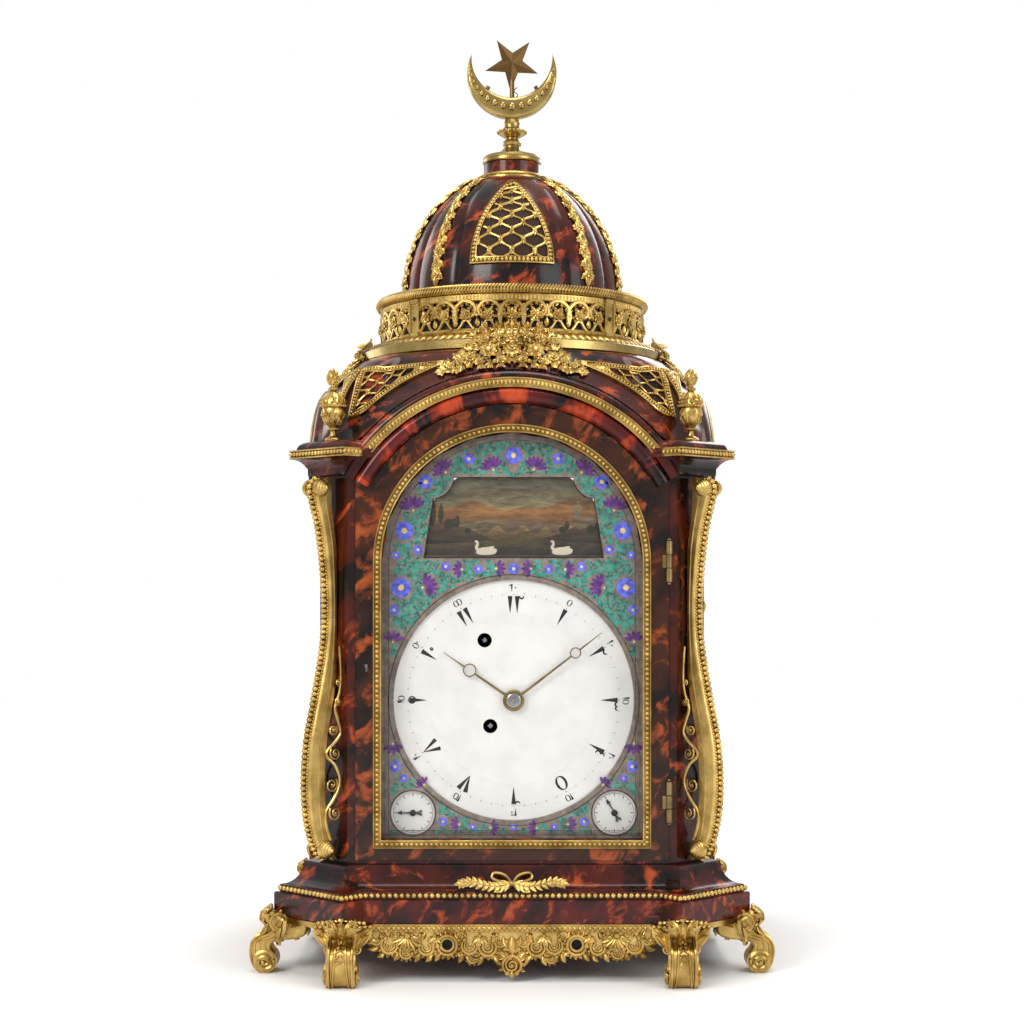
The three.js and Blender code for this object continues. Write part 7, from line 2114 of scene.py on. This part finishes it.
CAP = [(43.8, 341.6), (51.2, 341.6), (47.5, 347)]
HOUSE = [(51, 327), (62, 327), (62, 334), (56.5, 338), (51, 334)]
for outline, proud in ((BRIDGE, 0.09), (MILL, 0.12), (CAP, 0.13), (HOUSE, 0.11)):
    stone.add(*prism(outline, 0, proud))
on_board("painted_bridge_and_mill", stone, 0.02, stone_paint)
POPLARS = (-60, 328, 22, 5), (-54, 329, 17, 4.4), (-66, 329, 15, 4.6), (66, 328, 20, 5), (70, 327, 15, 4.4)
for u, z, height, width in (*POPLARS, (-42, 327, 10, 4), (39, 325, 8, 4)):
    petal(trees, (u, z), (u + 0.6, z + height), width, 0.14, 0.42)
BUSHES = (-48, 330, 4), (-44, 331, 3.2), (57, 326, 3.2), (36, 326, 2.6), (-34, 325, 2.4), (63, 328, 3.4)
for u, z, radius in (*BUSHES, (-70, 327, 3.6)):
    trees.add(*prism(arc((u, z), radius, 0, 330, 12), 0, 0.15 + 0.05 * radius))
on_board("painted_trees", trees, 0.02, tree_paint)

ripples = [(0.2, (0.022, 0.022, 0.016)), (0.5, (0.060, 0.056, 0.038)), (0.8, (0.11, 0.10, 0.070))]
clad("scene_strip", painted("painted ripples", 297, 318, ripples), "scene_paint")
SWAN = [
    (8.6, 308.4), (9.4, 311.4), (5, 312.4), (0, 312.8), (-4, 311.6), (-5.6, 309), (-3, 307.4), (4, 307.2)
]
NECK = [(-3.6, 310.4), (-5.6, 312.6), (-4.6, 315.0), (-5.0, 317.0), (-6.6, 317.2)]
swans = Relief()
for middle in (34, -22):
    swans.add(*prism(smooth(SWAN, 26, ring=True) + (middle, 0), 0, 0.25))
    stroke(swans, smooth(NECK, 16) + (middle, 0), np.linspace(1.1, 0.6, 16))
    petal(swans, (middle - 1, 309.6), (middle + 8, 313.4), 3.4, 0.4, 0.4)
points = [(DIAL_X + u, -(123.65 + max(w, 0)), z) for u, z, w in swans.points]
made = piece("painted_swans", points, swans.faces, cream_paint, "scene_strip")
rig.slot(made, "scene_paint")

# Movement. Two brass plates on pillars carry a going train and a music train: grooved fusees,
# a barrel set with pins, a nest of four bells, an hour hammer and a short bob pendulum.

plain_brass = gilding("movement brass", (0.34, 0.22, 0.075), (0.56, 0.39, 0.15), 0.3)
bell_bronze = gilding("bell metal", (0.40, 0.27, 0.15), (0.60, 0.43, 0.26), 0.24)
for name in ("movement_frame", "going_fusee", "music_fusee", "music_barrel", "pendulum"):
    clad(name, plain_brass, "movement_brass")
clad("bell_nest", bell_bronze, "bell_metal")
clad("hour_hammer", steel, "blued_steel")
for body, place in (("going_fusee", WINDING[0]), ("music_fusee", WINDING[1])):
    profile = [(0, -122.6), (1.9, -122.6), (2.3, -122.2), (2.3, -110), (0, -110)]
    square = Relief().add(*lathe(profile, 4, "Y", place))
    ridges = Relief()
    for i in range(9):
        y, coil = -54 - 2.3 * i, arc(place, 19.8 - 0.66 * i, 0, 360, 33)
        ridges.tube([(x, y, z) for x, z in coil], 0.75, 5)
    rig.slot(piece(f"{body}_square", *square, steel, body), "movement_brass")
    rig.slot(piece(f"{body}_turns", *ridges, plain_brass, body), "movement_brass")
# Near-black cups sit behind the winding holes as painted shade, for the dark inside the holes.
hole_shade = finish("dark hollow", (0.004, 0.004, 0.004), 0.9)
wells = Relief()
for place in WINDING:
    cup = [(5.9, -121.2), (5.9, -112), (0, -112), (0, -112.6), (5.2, -112.6), (5.2, -121.2)]
    wells.add(*lathe(cup, 24, "Y", place))
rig.slot(piece("winding_wells", *wells, hole_shade), "movement_brass")
pins = Relief()
scatter = np.random.default_rng(11)
for i in range(420):
    angle, y = scatter.uniform(0, 2 * math.pi), -94 + 1.15 * (i % 48)
    out = np.array((math.cos(angle), 0, math.sin(angle)))
    base = np.array((42.3, y, 232)) + out * 19.6
    pins.tube([base, base + out * 1.5], 0.22, 4)
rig.slot(piece("barrel_pins", *pins, steel, "music_barrel"), "movement_brass")

# Repeat knob. A small turned gilt knob on a steel rod, on the case's right-hand side.

clad("repeat_knob", gilt, "gilt_bronze")

# Sprig. Two laurel branches under a ribbon bow are pinned to the middle of the plinth's hollow.

SPRIG_UP = 16
cove_line = quarter_hollow(BEAD_GROOVE, PLINTH_TOP_REACH, COVE_BOTTOM, PLINTH_TOP, 20)
cove_ground, _ = along_curve(cove_line, 0)
sprig = Relief()
branch = smooth([(1, -0.5), (9, -3.0), (19, -2.4), (29, 0.4), (36, -0.4)], 30)
branch += (0, SPRIG_UP)
sprig.tube(lifted(branch, 0.9), 0.6, 5)
for i in range(1, 29, 3):
    here, along = branch[i], unit(branch[min(i + 1, 29)] - branch[i - 1])
    across = np.array((-along[1], along[0]))
    length = 8.6 - 2.6 * i / 30
    for side in (-1, 1):
        tip = here + along * length * 0.62 + across * side * length * 0.6
        sprig.leaf((*here, 0.7), (*tip, 1.5), 3.4, 2.0, side * 0.15, 6)
    if i % 4 == 1:
        sprig.ball((*(here + across * 1.6), 1.6), 0.9)
sprig.leaf((*branch[-1], 0.8), (42, SPRIG_UP - 1.4, 1.0), 3.2, 1.5)
loop = smooth([(0.5, 0), (5, 5.4), (12.5, 7.0), (14, 3.8), (7, 0.8), (0.5, 0)], 22)
sprig.tube(lifted(loop + (0, SPRIG_UP), 2.2), 1.2, 5, 1.4)
tail = smooth([(0.5, -0.4), (3.6, -4), (7, -4.6), (9.4, -7.4), (12.4, -6.6)], 16)
sprig.tube(lifted(tail + (0, SPRIG_UP), 1.8), 0.85, 5, 1.4)
sprig.mirrored()
sprig.ball((0, SPRIG_UP, 2.2), (1.9, 1.7, 1.4), 8)
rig.slot(piece("laurel_sprig", sprig.laid(cove_ground), sprig.faces, gilt), "gilt_bronze")

# The stage is a plain pale floor and soft studio lamps. The camera stands level in front of
# the clock, at the photograph's distance and height.

FLOOR = 3.0
floor_finish = finish("floor", (0.86, 0.86, 0.86), 0.9)
floor_mesh = bpy.data.meshes.new("floor")
floor_mesh.from_pydata(lifted(oblong(-FLOOR, FLOOR, -FLOOR, FLOOR), 0).tolist(), [], [(0, 1, 2, 3)])
floor = placed("floor", floor_mesh)
floor_mesh.materials.append(floor_finish)
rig.stage(floor)

world = bpy.data.worlds.new("studio")
world.use_nodes = True
bpy.context.scene.world = world


def looked_at(tree):
    """One where the camera sees a surface, also through the glass, and nought for its light."""
    ray = tree.nodes.new("ShaderNodeLightPath")
    either = tree.nodes.new("ShaderNodeMath")
    either.operation = "MAXIMUM"
    for k, kind in enumerate(("Is Camera Ray", "Is Transmission Ray")):
        tree.links.new(ray.outputs[kind], either.inputs[k])
    return either.outputs["Value"]


air = world.node_tree
level = air.nodes.new("ShaderNodeMapRange")
level.inputs["To Min"].default_value = 0.66
level.inputs["To Max"].default_value = 1.0
air.links.new(looked_at(air), level.inputs["Value"])
air.links.new(level.outputs["Result"], air.nodes["Background"].inputs["Strength"])
air.nodes["Background"].inputs["Color"].default_value = (1, 1, 1, 1)
# For camera rays the floor glows, a painted light that is nought near the clock and grows to full white away from it.
place = node(floor_finish, "ShaderNodeTexCoord")
reach = node(floor_finish, "ShaderNodeVectorMath", operation="LENGTH")
link(floor_finish, place.outputs["Object"], reach.inputs[0])
away = node(floor_finish, "ShaderNodeMapRange", From_Min=0.21, From_Max=1.3, To_Min=0.0, To_Max=1.0)
link(floor_finish, reach.outputs["Value"], away.inputs["Value"])
glow = node(floor_finish, "ShaderNodeMath", operation="MULTIPLY")
link(floor_finish, looked_at(floor_finish.node_tree), glow.inputs[0])
link(floor_finish, away.outputs["Result"], glow.inputs[1])
shader_of(floor_finish).inputs["Emission Color"].default_value = (1, 1, 1, 1)
link(floor_finish, glow.outputs["Value"], shader_of(floor_finish).inputs["Emission Strength"])


def lamp(name, place, aim, size, watts, colour=(1, 0.97, 0.93)):
    """A square soft box at a place, aimed at a point."""
    light = bpy.data.lights.new(name, "AREA")
    light.size = size
    light.energy = watts
    light.color = colour
    made = placed(name, light)
    made.location = place
    direction = Vector(aim) - Vector(place)
    made.rotation_euler = direction.to_track_quat("-Z", "Y").to_euler()


MIDDLE = (0, 0, 0.36)
lamp("key", (-1.3, -1.7, 1.5), MIDDLE, 0.9, 26)
lamp("fill", (1.7, -1.4, 0.9), MIDDLE, 1.2, 13, (0.93, 0.96, 1))
lamp("top", (0.1, -0.2, 2.1), MIDDLE, 1.0, 16)
lamp("back", (0.9, 1.8, 1.5), MIDDLE, 1.2, 16)
lamp("back left", (-1.6, 1.4, 1.0), MIDDLE, 1.2, 10)

LENS, SHIFT = 66.48, 0.0732
camera = bpy.data.cameras.new("camera")
camera.lens = LENS
camera.sensor_width = 36
camera.shift_y = SHIFT
viewer = placed("camera", camera)
viewer.location = (0, -1.520, 0.2835)
viewer.rotation_euler = (math.pi / 2, 0, 0)
bpy.context.scene.camera = viewer
bpy.context.scene.view_settings.view_transform = "Standard"

dressed_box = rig.bounds()
with open("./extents.json", "w") as sizes:
    json.dump([np.asarray(cad_box).tolist(), np.asarray(dressed_box).tolist()], sizes)
